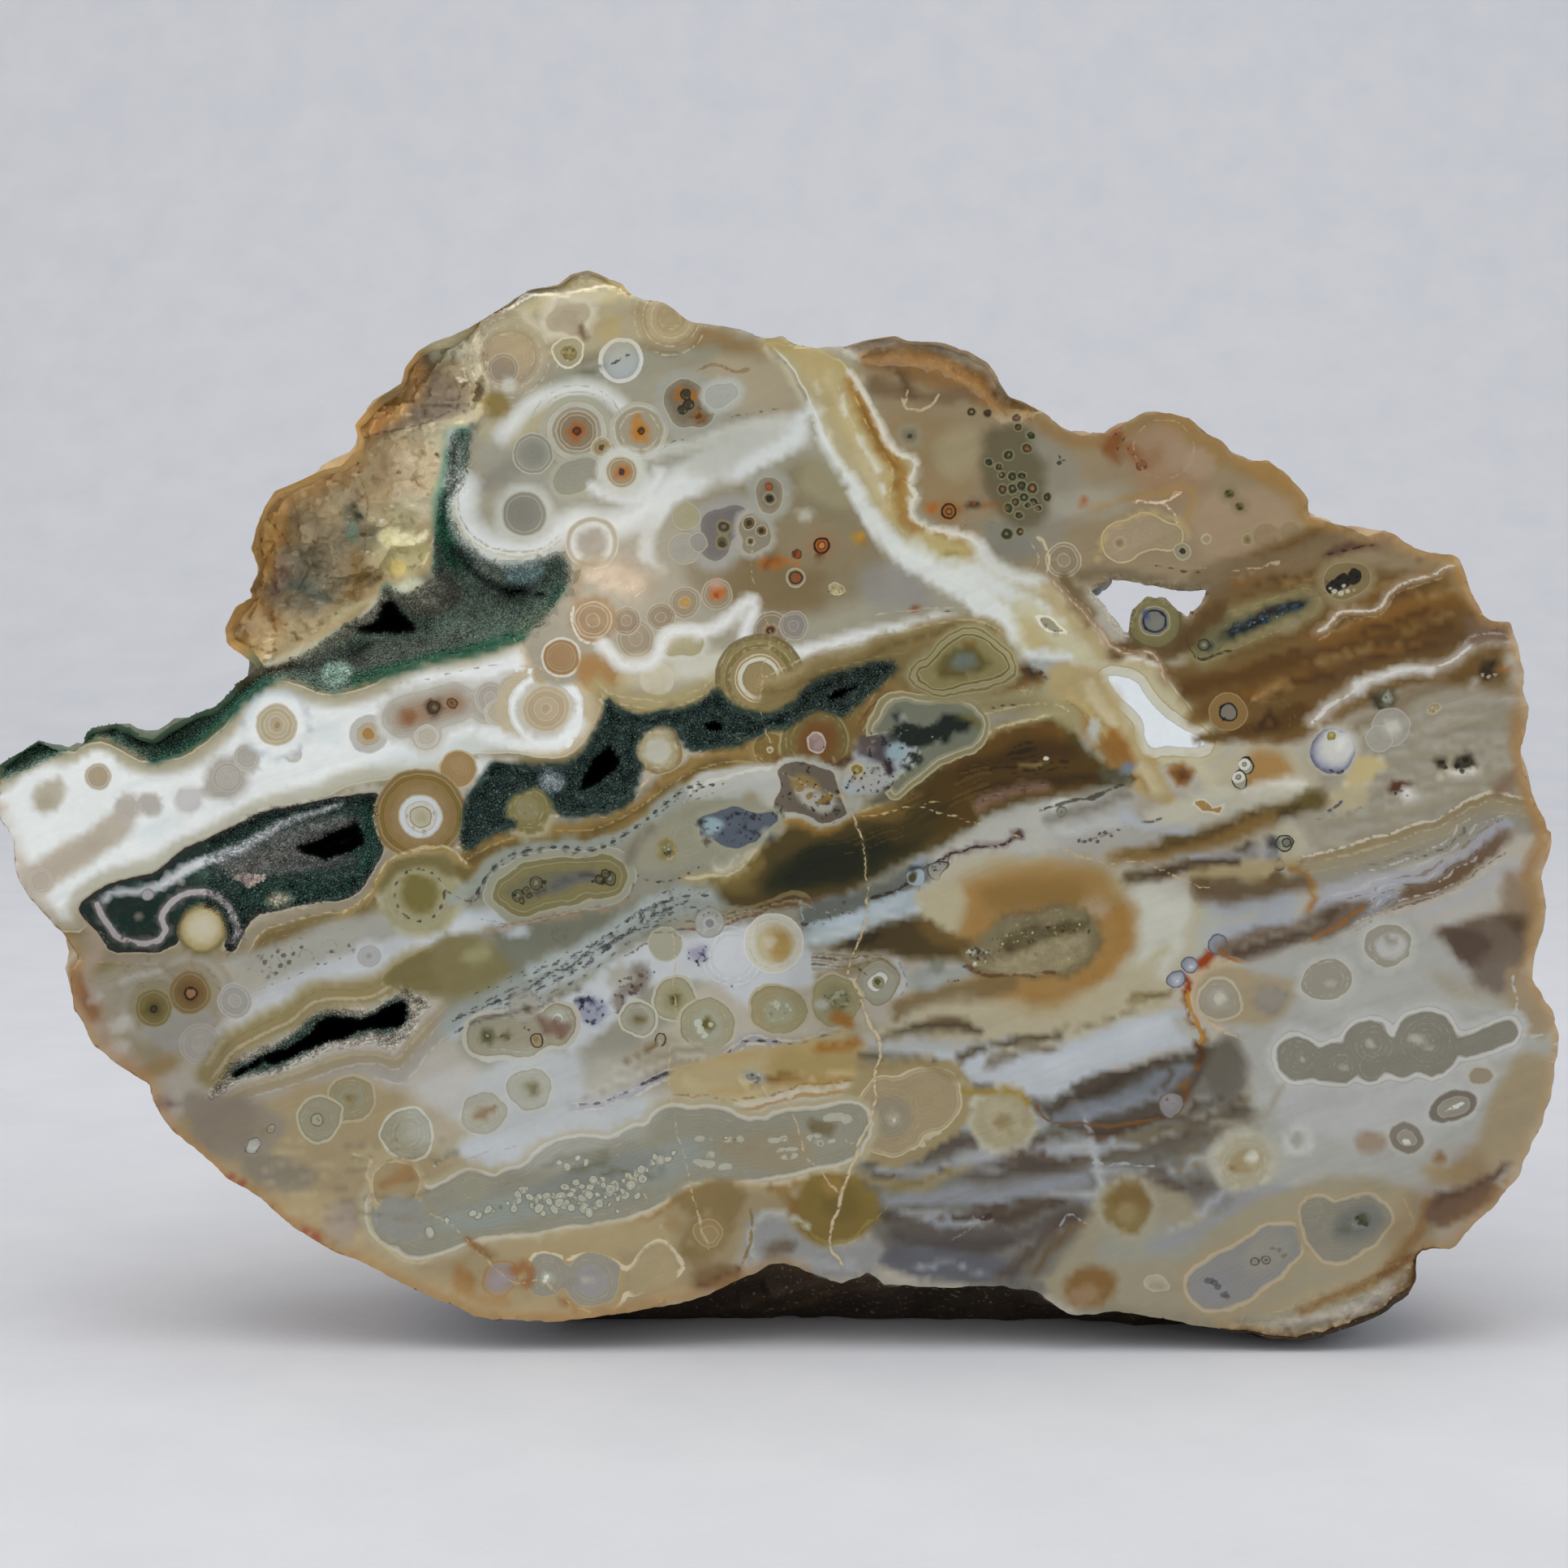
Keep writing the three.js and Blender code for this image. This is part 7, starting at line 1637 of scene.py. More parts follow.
brush([(856, 1096), (888, 1088), (920, 1076), (940, 1058)], 6, (136, 118, 70), 5, 0.85)
for q in range(34):
    x0 = 960 + (q * 67 % 330)
    y0 = 1092 - (x0 - 960) * 0.44 - (q * 29 % 46)
    ln_ = 26 + (q * 17 % 46)
    c_ = [(26, 30, 12), (92, 76, 36), (64, 58, 28), (110, 88, 44), (20, 24, 10)][q % 5]
    brush([(x0, y0), (x0 + ln_ * 0.5, y0 - ln_ * 0.17), (x0 + ln_, y0 - ln_ * 0.36)], 1.1 + (q % 3) * 0.7, c_, 1.5, 0.55)
GAIN = 1.105
# contour lines of the field's left end
for q, (c_, w_) in enumerate((((134, 118, 84), 2.2), ((76, 66, 42), 1.4), ((150, 134, 100), 1.6), ((92, 80, 54), 1.4), ((152, 140, 110), 1.8))):
    g_ = q * 5.5
    line([(860 - g_, 1122 + g_ * 0.8), (900, 1122 + g_ * 0.5), (936, 1114 + g_ * 0.5), (966, 1103 + g_ * 0.5), (984, 1098 + g_ * 0.6), (1000, 1106 + g_ * 0.4)], c_, w_, 0.75, 2, 1.0)
line([(842, 1144), (858, 1146), (899, 1136), (937, 1124), (966, 1112), (1000, 1104), (1020, 1102)], (110, 78, 62), 1.8, 0.85, 2)
line([(769, 1178), (797, 1161), (826, 1146), (842, 1145)], (88, 84, 84), 1.6, 0.8, 2)
# cream lines along its top
TOPL = [(842, 1084), (880, 1078), (893, 1082), (914, 1070), (928, 1052), (940, 1036), (955, 1016), (969, 1006), (981, 1001), (1000, 1008), (1019, 1018), (1042, 1008), (1056, 999), (1098, 984), (1116, 971), (1133, 954), (1157, 936), (1186, 922), (1221, 898), (1262, 884), (1292, 876), (1310, 880)]
brush(TOPL, 5, (166, 152, 110), 4, 0.9, 2)
line(TOPL, (192, 184, 152), 2.0, 0.9, 2, 1.2)
brush([(x - 1, y + 7) for x, y in TOPL[6:14]], 5, (152, 118, 60), 4, 0.85, 2)
brush([(x, y - 7) for x, y in TOPL[1:9]], 5, (186, 180, 156), 4, 0.85, 2)
line([(x - 2, y - 12) for x, y in TOPL[1:9]], (162, 156, 130), 1.5, 0.7, 2)
lobes([(890, 1062, 9), (900, 1050, 7)], (176, 172, 150), (196, 192, 172), 4)
# ------------------------------------------------------------------ golden humps over the dark field
HUMP = [(560, 1052), (600, 1030), (660, 1010), (720, 1014), (774, 992), (810, 962), (846, 938), (890, 922), (930, 912), (948, 900), (972, 908), (996, 872), (1040, 868), (1062, 896), (1052, 930), (1030, 942), (960, 950), (900, 958), (860, 962), (800, 1000), (740, 1034), (660, 1044), (600, 1070), (560, 1100)]
fill(poly(HUMP, 1), (124, 104, 62), soft=3, wob=2)
brush([(575, 1050), (620, 1026), (680, 1014), (730, 1018), (780, 996), (830, 952), (890, 930), (940, 928)], 5, (140, 116, 70), 4, 0.85)
brush([(570, 1070), (620, 1042), (690, 1030), (740, 1028), (800, 990), (850, 956), (900, 944)], 5, (98, 82, 46), 4, 0.85)
line([(575, 1058), (620, 1034), (690, 1022), (735, 1024), (788, 996), (836, 956), (890, 938), (930, 940)], (164, 144, 100), 1.3, 0.7)
line([(560, 1046), (599, 1026), (659, 1004), (718, 1006), (770, 986), (806, 956), (842, 932), (886, 918), (926, 906)], (190, 174, 136), 1.7, 0.9, 2)
lobes([(949, 924, 22), (955, 930, 16)], (118, 98, 56), (140, 122, 82), 4, (150, 132, 92), 6)
rings(949, 926, (13, 17), (140, 124, 86), 1.1, 0.6)
bead(949, 924, 4.5, (150, 140, 110), (172, 162, 132), core=(120, 108, 80), rc=2)
dome = poly([(962, 940), (958, 912), (968, 886), (986, 872), (1008, 868), (1032, 876), (1044, 892), (1052, 906), (1048, 934), (1020, 944)], 1)
fill(dome, (116, 102, 62), soft=1.4, line=(150, 140, 104), w=2.4, wob=2)
rings(1008, 913, (34, 40), (144, 132, 94), 1.4, 0.8)
fill(circ(1008, 913, 29), (118, 90, 50), soft=2.5, line=(136, 118, 80), w=1.2)
fill(circ(1008, 913, 19), (118, 82, 44), soft=3)
fill(circ(1008, 913, 13.2), (150, 128, 122), soft=1.0, line=(196, 184, 170), w=2.2, wob=2)
dots([(1004, 908), (1011, 914), (1008, 919)], (172, 148, 148), 4, 0.6)
dots([(1015, 921)], (40, 24, 20), 1.6, 0.9)
brush([(956, 940), (990, 950), (1030, 944), (1050, 926)], 7, (108, 80, 44), 5, 0.85)
brush([(1010, 946), (1036, 944), (1052, 930)], 7, (74, 56, 44), 5, 0.8)
line([(1019, 917), (1026, 930), (1030, 946)], (180, 158, 116), 0.9, 0.7)
# orbs under the left end of the humps
for x, y, r, b_, e_, i_ in ((651, 997, 30, (122, 114, 74), (158, 152, 124), (132, 126, 92)), (516, 1102, 50, (146, 142, 112), (160, 156, 134), (136, 130, 92))):
    fill(circ(x, y, r + 5), e_, soft=3, wob=2)
    fill(circ(x, y, r), b_, soft=1.6, line=(164, 158, 128), w=1.3, wob=2)
    rings(x, y, (r * 0.82, r * 0.66), e_, 1.1, 0.6)
    fill(circ(x, y, r * 0.52), i_, soft=2)
fill(circ(516, 1102, 23), (112, 104, 62), soft=2.0, wob=2)
dashes([(548, 1096), (546, 1114), (534, 1130), (516, 1136), (498, 1130), (486, 1114), (485, 1094), (494, 1078), (512, 1070), (530, 1074), (543, 1086)], (44, 46, 44), 2.2, 9, 7, 0.8)
GLN = [(420, 1128), (440, 1113), (460, 1098), (466, 1078), (479, 1062), (493, 1052), (519, 1045), (539, 1045), (558, 1052), (576, 1062)]
brush([(x, y + 15) for x, y in GLN[3:]], 9, (104, 94, 58), 5, 0.8, 2)
brush([(x, y + 4) for x, y in GLN], 3.5, (150, 132, 88), 2.5, 0.8, 2)
line(GLN, (186, 170, 130), 1.5, 0.85, 2)
# light orb on the green druse
fill(circ(812, 924, 33), (134, 118, 84), soft=1.4, line=(168, 156, 122), w=1.6, wob=2)
fill(circ(812, 924, 26), (156, 146, 114), soft=1.6, line=(172, 164, 138), w=1.3, wob=2)
fill(circ(812, 924, 18), (176, 174, 158), soft=2.0, wob=2)
rings(812, 924, (22, 13), (184, 180, 160), 1.1, 0.6)
# ------------------------------------------------------------------ white jagged band with its speckled bodies
wash([(840, 972), (870, 956), (920, 952), (962, 940), (1000, 940), (1036, 950), (1060, 946), (1060, 1000), (1000, 1000), (950, 992), (900, 992), (850, 996)], (176, 178, 170), 5, 1.0)
wash([(826, 1010), (850, 990), (900, 988), (950, 996), (950, 1020), (930, 1044), (890, 1070), (850, 1072), (826, 1050)], (146, 146, 126), 6, 0.95)
line([(840, 988), (858, 972), (880, 964), (896, 958), (930, 952), (955, 944)], (196, 196, 184), 2.4, 0.85, 2, 1.5)
dashes([(846, 984), (862, 970), (884, 966), (898, 964)], (44, 44, 42), 2.0, 7, 4, 0.85)
dashes([(842, 998), (856, 984), (880, 976)], (54, 54, 52), 1.3, 6, 4, 0.7)
fill(circ(926, 982, 9), (150, 144, 120), soft=3)
# brown and white body
BWS = union(poly([(953, 950), (966, 938), (986, 934), (1010, 940), (1026, 950), (1030, 966), (1044, 990), (1052, 1002), (1036, 1010), (1018, 1016), (998, 1004), (980, 998), (958, 1006), (950, 990), (958, 972)], 1), k=1)
fill(grow(BWS, 4), (178, 178, 166), soft=2.0, wob=2)
fill(BWS, (108, 100, 88), soft=1.4, line=(178, 176, 164), w=2.0, wob=2)
fill(poly([(968, 962), (982, 950), (1000, 956), (1010, 972), (1000, 990), (984, 984)], 1), (142, 124, 82), soft=3, wob=2)
fill(poly([(974, 972), (992, 966), (1010, 978), (1026, 976), (1036, 990), (1022, 1000), (1004, 996), (990, 986)], 1), (180, 178, 168), soft=3, wob=2)
dots([(1017, 986), (1012, 988), (1021, 983)], (146, 116, 58), 4.5, 0.9)
dots([(998, 981), (986, 972)], (150, 122, 68), 4.0, 0.9)
# blue white body
BB = poly([(1034, 960), (1044, 948), (1058, 938), (1056, 924), (1062, 910), (1080, 906), (1100, 900), (1122, 904), (1136, 922), (1134, 938), (1116, 948), (1100, 962), (1090, 976), (1064, 980), (1046, 984), (1036, 974)], 1)
fill(grow(BB, 3), (160, 158, 138), soft=2.5, wob=2)
fill(BB, (168, 176, 178), soft=1.8, wob=2)
fill(poly([(1060, 908), (1084, 902), (1100, 914), (1100, 940), (1086, 950), (1070, 934), (1058, 930)], 1), (84, 80, 82), soft=4, wob=2)
fill(poly([(1066, 942), (1090, 944), (1100, 952), (1090, 972), (1060, 978), (1048, 968)], 1), (172, 174, 170), soft=3, wob=2)
fill(circ(1066, 915, 10), (98, 88, 82), soft=2, line=(150, 142, 132), w=1.5)
fill(poly([(1090, 936), (1100, 938), (1102, 952), (1094, 956), (1088, 946)], 1), (58, 48, 50), soft=2.5, wob=2)
fill(circ(1055, 950, 13), (178, 174, 158), soft=2)
fill(circ(1055, 951, 9), (142, 122, 66), soft=1.2, line=(192, 186, 160), w=1.8, wob=2)
fill(circ(1056, 949, 3), (176, 166, 118), soft=1.2)
fill(oval(1104, 926, 14, 12, 40), (150, 172, 178), soft=5)
wash([(1085, 972), (1110, 962), (1116, 976), (1090, 986), (1070, 986)], (96, 94, 76), 5, 0.9)
# greyish halo and rings of the dark druse pocket
PK = [(1076, 904), (1084, 882), (1094, 864), (1112, 862), (1130, 868), (1156, 866), (1186, 864), (1206, 876), (1210, 896), (1200, 914), (1176, 922), (1150, 934), (1136, 946), (1116, 964), (1098, 976)]
for x, y, r in ((1100, 884, 20), (1130, 888, 22), (1160, 886, 22), (1188, 890, 22), (1176, 908, 18)):
    pass
pk = poly(PK, 1)
fill(cut(grow(pk, 11), BB), (146, 138, 104), soft=1.2, line=(178, 172, 142), w=2.0, wob=2)
fill(cut(grow(pk, 4), BB), (150, 148, 126), soft=1.0, line=(186, 182, 158), w=1.6, wob=2)
fill(cut(pk, BB), (120, 124, 108), soft=1.2, line=(142, 140, 114), w=1.5, wob=2)
fill(union(poly([(1100, 896), (1110, 890), (1130, 894), (1158, 892), (1166, 880), (1180, 878), (1196, 884), (1200, 896), (1184, 900), (1166, 904), (1150, 914), (1130, 920), (1108, 918), (1098, 908)], 1), circ(1106, 882, 6), circ(1167, 909, 7), k=4), (34, 42, 36), soft=1.6, wob=2)
fill(circ(1112, 884, 6), (150, 156, 150), soft=3)
fill(circ(1106, 882, 4), (40, 46, 46), soft=2)
brush([(1182, 884), (1200, 892), (1204, 900)], 4, (110, 104, 60), 3, 0.8)
fill(union(poly([(1120, 928), (1128, 924), (1138, 928), (1136, 938), (1124, 940)], 1), circ(1116, 944, 5), k=3), (46, 54, 44), soft=1.6, wob=2)
# dark blue grey body
DB = poly([(862, 1016), (868, 1006), (886, 1006), (896, 998), (908, 994), (924, 1000), (946, 1002), (958, 1000), (962, 1010), (950, 1020), (938, 1034), (922, 1040), (902, 1046), (884, 1034), (866, 1030)], 1)
fill(grow(DB, 7), (152, 152, 132), soft=2.5, wob=2)
fill(DB, (90, 98, 108), soft=1.5, wob=2)
fill(poly([(864, 1012), (878, 1008), (892, 1012), (894, 1024), (880, 1030), (866, 1022)], 1), (146, 168, 174), soft=2.5, wob=2)
fill(circ(871, 1036, 6), (96, 96, 82), soft=1.6, line=(162, 160, 140), w=1.2)
fill(circ(864, 1014, 5), (54, 66, 62), soft=2)
line([(942, 1026), (950, 1034), (960, 1030), (968, 1020)], (168, 166, 150), 2.5, 0.8, 2, 2.0)
fill(circ(950, 1031, 3.5), (84, 88, 92), soft=2)


def speck(shape_pts, n, cols, r0=0.8, r1=2.4, seed=0, a=0.85):
    """Scattered small mineral grains inside a polygon."""
    sh = poly(shape_pts, 1)
    x0, y0, x1, y1 = sh.box
    got, k = [], 0
    groups = {}
    while len(got) < n and k < n * 12:
        k += 1
        u = x0 + (x1 - x0) * (0.5 + 0.5 * float(hash3(k, 3, seed, 71)))
        v = y0 + (y1 - y0) * (0.5 + 0.5 * float(hash3(k, 5, seed, 72)))
        if sh.f(np.array([[u, v]]))[0] < 0:
            continue
        q = 0.5 + 0.5 * float(hash3(k, 7, seed, 73))
        r = r0 + (r1 - r0) * q * q
        ci = int((0.5 + 0.5 * float(hash3(k, 9, seed, 74))) * len(cols)) % len(cols)
        groups.setdefault(ci, []).append((u, v, r))
        got.append((u, v))
    for ci, lst in groups.items():
        for g in range(0, len(lst), 14):
            part = lst[g:g + 14]
            fill(union(*[circ(u, v, r) for u, v, r in part], k=0.4), cols[ci], soft=0.9, a=a)


INKS = [(24, 24, 26), (38, 40, 46), (30, 32, 30)]
speck([(634, 990), (650, 982), (668, 992), (664, 1008), (644, 1010)], 26, [(150, 136, 126), (118, 104, 92), (166, 154, 140)], 0.8, 2.2, 31, 0.8)
speck([(953, 950), (986, 936), (1026, 950), (1044, 990), (1040, 1010), (1018, 1014), (980, 998), (956, 1002)], 150, INKS, 0.7, 2.2, 1)
speck([(955, 985), (985, 996), (1015, 1010), (1040, 1005), (1034, 990), (1000, 990)], 40, INKS, 0.8, 2.2, 2)
speck([(1036, 962), (1060, 945), (1100, 945), (1106, 962), (1090, 976), (1050, 982)], 120, INKS, 0.7, 2.2, 3)
speck([(1058, 908), (1098, 902), (1104, 940), (1076, 946)], 40, INKS, 0.8, 2.2, 4)
speck([(1104, 912), (1134, 920), (1136, 942), (1112, 950)], 46, [(30, 36, 32), (52, 62, 52), (24, 28, 26)], 0.8, 2.3, 5)
speck([(898, 998), (948, 1002), (938, 1034), (902, 1044), (884, 1030)], 130, INKS, 0.7, 2.3, 6)
speck([(862, 1008), (884, 1008), (884, 1030), (864, 1026)], 30, INKS, 0.7, 1.9, 7)
speck([(955, 990), (940, 1000), (962, 1012), (976, 1000)], 30, INKS, 0.7, 1.8, 8)
speck([(1098, 892), (1160, 890), (1198, 882), (1200, 896), (1140, 918), (1104, 916)], 60, [(176, 184, 170), (120, 140, 130), (8, 12, 12)], 0.6, 1.8, 9, 0.9)
speck([(1122, 928), (1136, 928), (1134, 938), (1122, 938)], 12, [(190, 196, 180), (10, 14, 12)], 0.6, 1.3, 10)
# field to the right of the pocket, under the nested lens
wash([(1128, 850), (1200, 852), (1262, 842), (1330, 856), (1352, 886), (1320, 900), (1300, 874), (1250, 878), (1216, 886), (1206, 864), (1160, 862)], (150, 142, 106), 5, 0.9)
brush([(1212, 872), (1250, 866), (1300, 860)], 6, (140, 132, 96), 4, 0.85)
line([(1212, 880), (1250, 870), (1300, 864), (1318, 876)], (184, 174, 132), 1.5, 0.8)
dashes([(1222, 872), (1236, 869), (1252, 868)], (58, 62, 52), 1.8, 6, 5, 0.8)
NL = [(1136, 838), (1129, 828), (1153, 817), (1173, 793), (1197, 782), (1213, 790), (1246, 820), (1230, 834), (1188, 843), (1158, 849)]
nl = poly(NL, 1)
fill(grow(nl, 16), (146, 138, 104), soft=2.5, wob=2)
for g_, c_ in ((12, (128, 118, 80)), (8, (152, 146, 112)), (4, (118, 108, 68)), (0, (140, 132, 92))):
    fill(grow(nl, g_), c_, soft=1.0, line=(166, 158, 122), w=1.1, wob=2)
fill(poly([(1150, 832), (1166, 806), (1196, 794), (1222, 816), (1210, 828), (1176, 838)], 1), (102, 92, 54), soft=3, wob=2)
fill(poly([(1166, 822), (1180, 806), (1198, 802), (1208, 816), (1190, 826)], 1), (112, 122, 112), soft=4, wob=2)
fill(poly([(1186, 794), (1198, 790), (1206, 798), (1196, 800)], 1), (122, 96, 52), soft=2.5, wob=1)
# the lens in the brown, and the bead spots at the vein's foot
fill(poly([(1340, 880), (1350, 884), (1356, 902), (1352, 918), (1342, 916), (1336, 898)], 1), (170, 170, 158), soft=2.5, wob=2)
wash([(1356, 906), (1376, 898), (1400, 910), (1398, 932), (1376, 938)], (132, 96, 50), 8, 0.9)
wash([(1348, 940), (1372, 938), (1400, 950), (1396, 966), (1360, 964)], (84, 84, 68), 5, 0.9)
fill(circ(1389, 946, 8), (110, 122, 132), soft=4)
dots([(1289, 935)], (206, 206, 196), 3.0, 0.9)
brush([(1256, 940), (1274, 936), (1288, 936)], 2.5, (140, 122, 82), 2, 0.8)
brush([(1206, 1000), (1240, 984), (1286, 966)], 7, (124, 102, 84), 5, 0.9)
for q in range(9):
    brush([(1196 + q * 6, 1004 - q * 3), (1226 + q * 7, 990 - q * 3.2), (1262 + q * 5, 974 - q * 2)], 1.4, [(78, 56, 50), (146, 128, 112), (98, 74, 62)][q % 3], 1.3, 0.6)
# ------------------------------------------------------------------ blue grey and white bands below
wash([(985, 1118), (1030, 1108), (1080, 1090), (1130, 1062), (1160, 1050), (1168, 1086), (1130, 1106), (1080, 1122), (1030, 1134), (994, 1150)], (100, 104, 98), 5, 0.98)
wash([(1130, 1062), (1190, 1026), (1270, 990), (1340, 974), (1400, 972), (1400, 1010), (1440, 1024), (1420, 1050), (1340, 1046), (1260, 1050), (1200, 1058), (1160, 1060)], (166, 166, 158), 7, 1.0)
wash([(1160, 1052), (1240, 1050), (1320, 1056), (1360, 1080), (1330, 1100), (1250, 1090), (1180, 1110), (1150, 1140), (1130, 1150), (1120, 1120), (1150, 1096)], (168, 164, 142), 7, 1.0)
BW = [(990, 1142), (1028, 1124), (1066, 1112), (1104, 1101), (1133, 1092), (1160, 1086), (1162, 1104), (1133, 1120), (1089, 1142), (1045, 1154), (1000, 1168), (992, 1160)]
fill(poly(BW, 1), (160, 172, 176), soft=2.0, wob=2)
wash([(1020, 1136), (1070, 1120), (1120, 1104), (1110, 1118), (1060, 1140), (1020, 1150)], (178, 190, 196), 4, 0.9)
brush([(1000, 1162), (1044, 1152), (1090, 1138), (1136, 1114)], 3, (188, 194, 192), 2.5, 0.9)
speck([(1000, 1126), (1040, 1116), (1050, 1128), (1010, 1142), (994, 1144)], 36, [(60, 66, 56), (84, 84, 60), (150, 158, 150)], 0.7, 2.0, 11, 0.8)
line([(986, 1112), (988, 1130), (990, 1146)], (152, 164, 162), 1.2, 0.8)
line([(984, 1111), (1004, 1120), (1022, 1124)], (146, 156, 152), 1.2, 0.8)
dots([(1040, 1112), (988, 1139), (993, 1140)], (54, 50, 40), 2.4, 0.8)
MN = [(1072, 1105), (1092, 1102), (1116, 1092), (1130, 1082), (1139, 1074), (1152, 1062), (1163, 1056), (1171, 1048), (1186, 1051), (1207, 1046), (1233, 1044), (1242, 1038), (1248, 1032), (1256, 1024)]
brush(MN[6:], 3.5, (104, 88, 80), 3, 0.8, 2)
line(MN, (60, 46, 42), 1.9, 0.9, 2)
fill(oval(1257, 1028, 8, 5, -30), (86, 66, 62), soft=2.5)
fill(poly([(1142, 1070), (1158, 1058), (1172, 1062), (1166, 1078), (1162, 1092), (1148, 1086)], 1), (136, 136, 128), soft=1.4, line=(70, 60, 54), w=1.8, wob=2)
speck([(1140, 1072), (1160, 1056), (1174, 1060), (1166, 1094), (1146, 1084)], 26, INKS, 0.7, 1.9, 12)
fill(circ(1128, 1080, 11), (146, 158, 164), soft=1.5)
fill(circ(1128, 1081, 6.5), (76, 72, 48), soft=1.2, line=(106, 104, 84), w=1.6, wob=2)
brush([(1122, 1072), (1132, 1064), (1142, 1060)], 3, (50, 54, 60), 2.5, 0.85)
fill(oval(1134, 1060, 8, 4, 25), (140, 148, 156), soft=3)
fill(circ(1308, 1000, 17), (182, 184, 174), soft=4)
fill(circ(1308, 1000, 7), (150, 152, 136), soft=1.0, line=(96, 98, 86), w=1.8)
fill(circ(1308, 1000, 2.6), (96, 96, 80), soft=1.2)
brush([(1284, 1002), (1320, 992), (1352, 986), (1390, 974)], 5, (120, 118, 108), 4, 0.8)
line([(1282, 998), (1320, 986), (1352, 980), (1387, 968)], (66, 60, 54), 1.7, 0.85, 2)
line([(1405, 1014), (1418, 1014), (1431, 1009)], (74, 64, 58), 1.7, 0.8)
dots([(1329, 1036), (1336, 1037), (1343, 1035), (1352, 1036), (1355, 1027), (1362, 1025), (1378, 1022), (1393, 1020), (1370, 1030)], (70, 58, 56), 2.4, 0.85)
line([(1322, 1040), (1338, 1036), (1356, 1030), (1380, 1022)], (110, 98, 92), 1.3, 0.7)
brush([(1300, 1020), (1340, 1012), (1390, 1000)], 6, (188, 192, 192), 5, 0.9)
brush([(1380, 1000), (1430, 1016), (1480, 1010)], 5, (176, 184, 194), 4, 0.8)
line([(1280, 994), (1286, 1012)], (150, 140, 112), 1.0, 0.7)
# cream and white ground round the amber cloud
wash([(1120, 1120), (1170, 1060), (1260, 1050), (1360, 1072), (1430, 1092), (1500, 1112), (1470, 1180), (1450, 1240), (1400, 1276), (1300, 1290), (1180, 1310), (1090, 1290), (1100, 1240), (1130, 1190)], (168, 162, 140), 9, 1.0)
wash([(1390, 1100), (1430, 1084), (1480, 1110), (1460, 1170), (1430, 1210), (1400, 1210), (1408, 1150)], (184, 184, 172), 9, 0.95)
brush([(1410, 1196), (1424, 1184), (1436, 1170)], 8, (166, 160, 130), 6, 0.8)
# golden and brown streaks running up to the right
brush([(1372, 1062), (1430, 1050), (1480, 1036), (1530, 1018), (1570, 1004)], 11, (130, 106, 62), 8, 0.9)
brush([(1420, 1044), (1470, 1030), (1520, 1010), (1564, 992)], 4, (88, 70, 40), 4, 0.85)
brush([(1392, 1092), (1430, 1084), (1470, 1068), (1520, 1058)], 6, (78, 64, 46), 5, 0.9)
brush([(1440, 1060), (1480, 1052), (1530, 1046), (1570, 1044)], 5, (158, 160, 162), 4, 0.8)
brush([(1470, 1082), (1520, 1070), (1560, 1060), (1590, 1052)], 7, (166, 152, 116), 5, 0.9)
brush([(1480, 1102), (1520, 1096), (1570, 1090), (1610, 1080)], 9, (98, 82, 60), 7, 0.9)
# amber cloud
wash([(1172, 1132), (1178, 1104), (1194, 1074), (1239, 1060), (1290, 1062), (1336, 1070), (1366, 1082), (1384, 1106), (1400, 1140), (1400, 1168), (1384, 1192), (1366, 1210), (1347, 1232), (1309, 1241), (1251, 1238), (1210, 1226), (1190, 1190)], (152, 128, 88), 14, 0.95)
wash([(1184, 1150), (1190, 1110), (1206, 1078), (1250, 1070), (1310, 1066), (1352, 1080), (1384, 1112), (1392, 1150), (1370, 1196), (1320, 1226), (1256, 1230), (1206, 1196)], (146, 116, 70), 20, 0.95)
wash([(1220, 1088), (1300, 1078), (1350, 1100), (1350, 1130), (1270, 1120), (1216, 1126)], (128, 103, 60), 15, 0.9)
wash([(1336, 1104), (1372, 1110), (1366, 1134), (1344, 1130)], (160, 142, 116), 9, 0.9)
brush([(1376, 1130), (1388, 1150), (1384, 1172), (1366, 1196), (1340, 1214)], 9, (148, 112, 62), 8, 0.85)
brush([(1260, 1226), (1300, 1232), (1340, 1222), (1360, 1206)], 7, (142, 108, 60), 6, 0.8)
dots([(1332, 1110), (1338, 1112), (1344, 1111), (1350, 1109), (1330, 1107), (1372, 1120)], (78, 56, 36), 1.5, 0.8)
wash([(1130, 1110), (1170, 1080), (1196, 1096), (1186, 1140), (1150, 1150), (1124, 1140)], (168, 160, 132), 8, 0.95)
# brown body and its neighbours
GAIN = 1.105 * 0.86
wash([(1010, 1172), (1060, 1156), (1110, 1138), (1130, 1130), (1160, 1150), (1200, 1154), (1190, 1170), (1140, 1180), (1100, 1186), (1050, 1180)], (88, 74, 44), 6, 0.98)
wash([(1030, 1166), (1070, 1154), (1090, 1158), (1060, 1172)], (52, 46, 26), 5, 0.9)
wash([(1120, 1130), (1150, 1140), (1200, 1150), (1180, 1166), (1130, 1160)], (120, 98, 56), 6, 0.9)
for q in range(5):
    line([(1000, 1176 + q * 5.2), (1045, 1174 + q * 4.6), (1078, 1176 + q * 4), (1097, 1186 + q * 3), (1108 + q * 2, 1198 + q * 3)], [(150, 138, 110), (108, 94, 66), (166, 156, 130), (118, 104, 78), (176, 166, 140)][q], 2.0, 0.85, 2, 1.2)
brush([(1000, 1204), (1050, 1200), (1080, 1196)], 6, (152, 140, 108), 4, 0.85)
wash([(1110, 1190), (1150, 1184), (1190, 1176), (1210, 1190), (1160, 1216), (1120, 1230)], (164, 168, 162), 6, 0.95)
fill(circ(1154, 1192, 10), (140, 142, 130), soft=4)
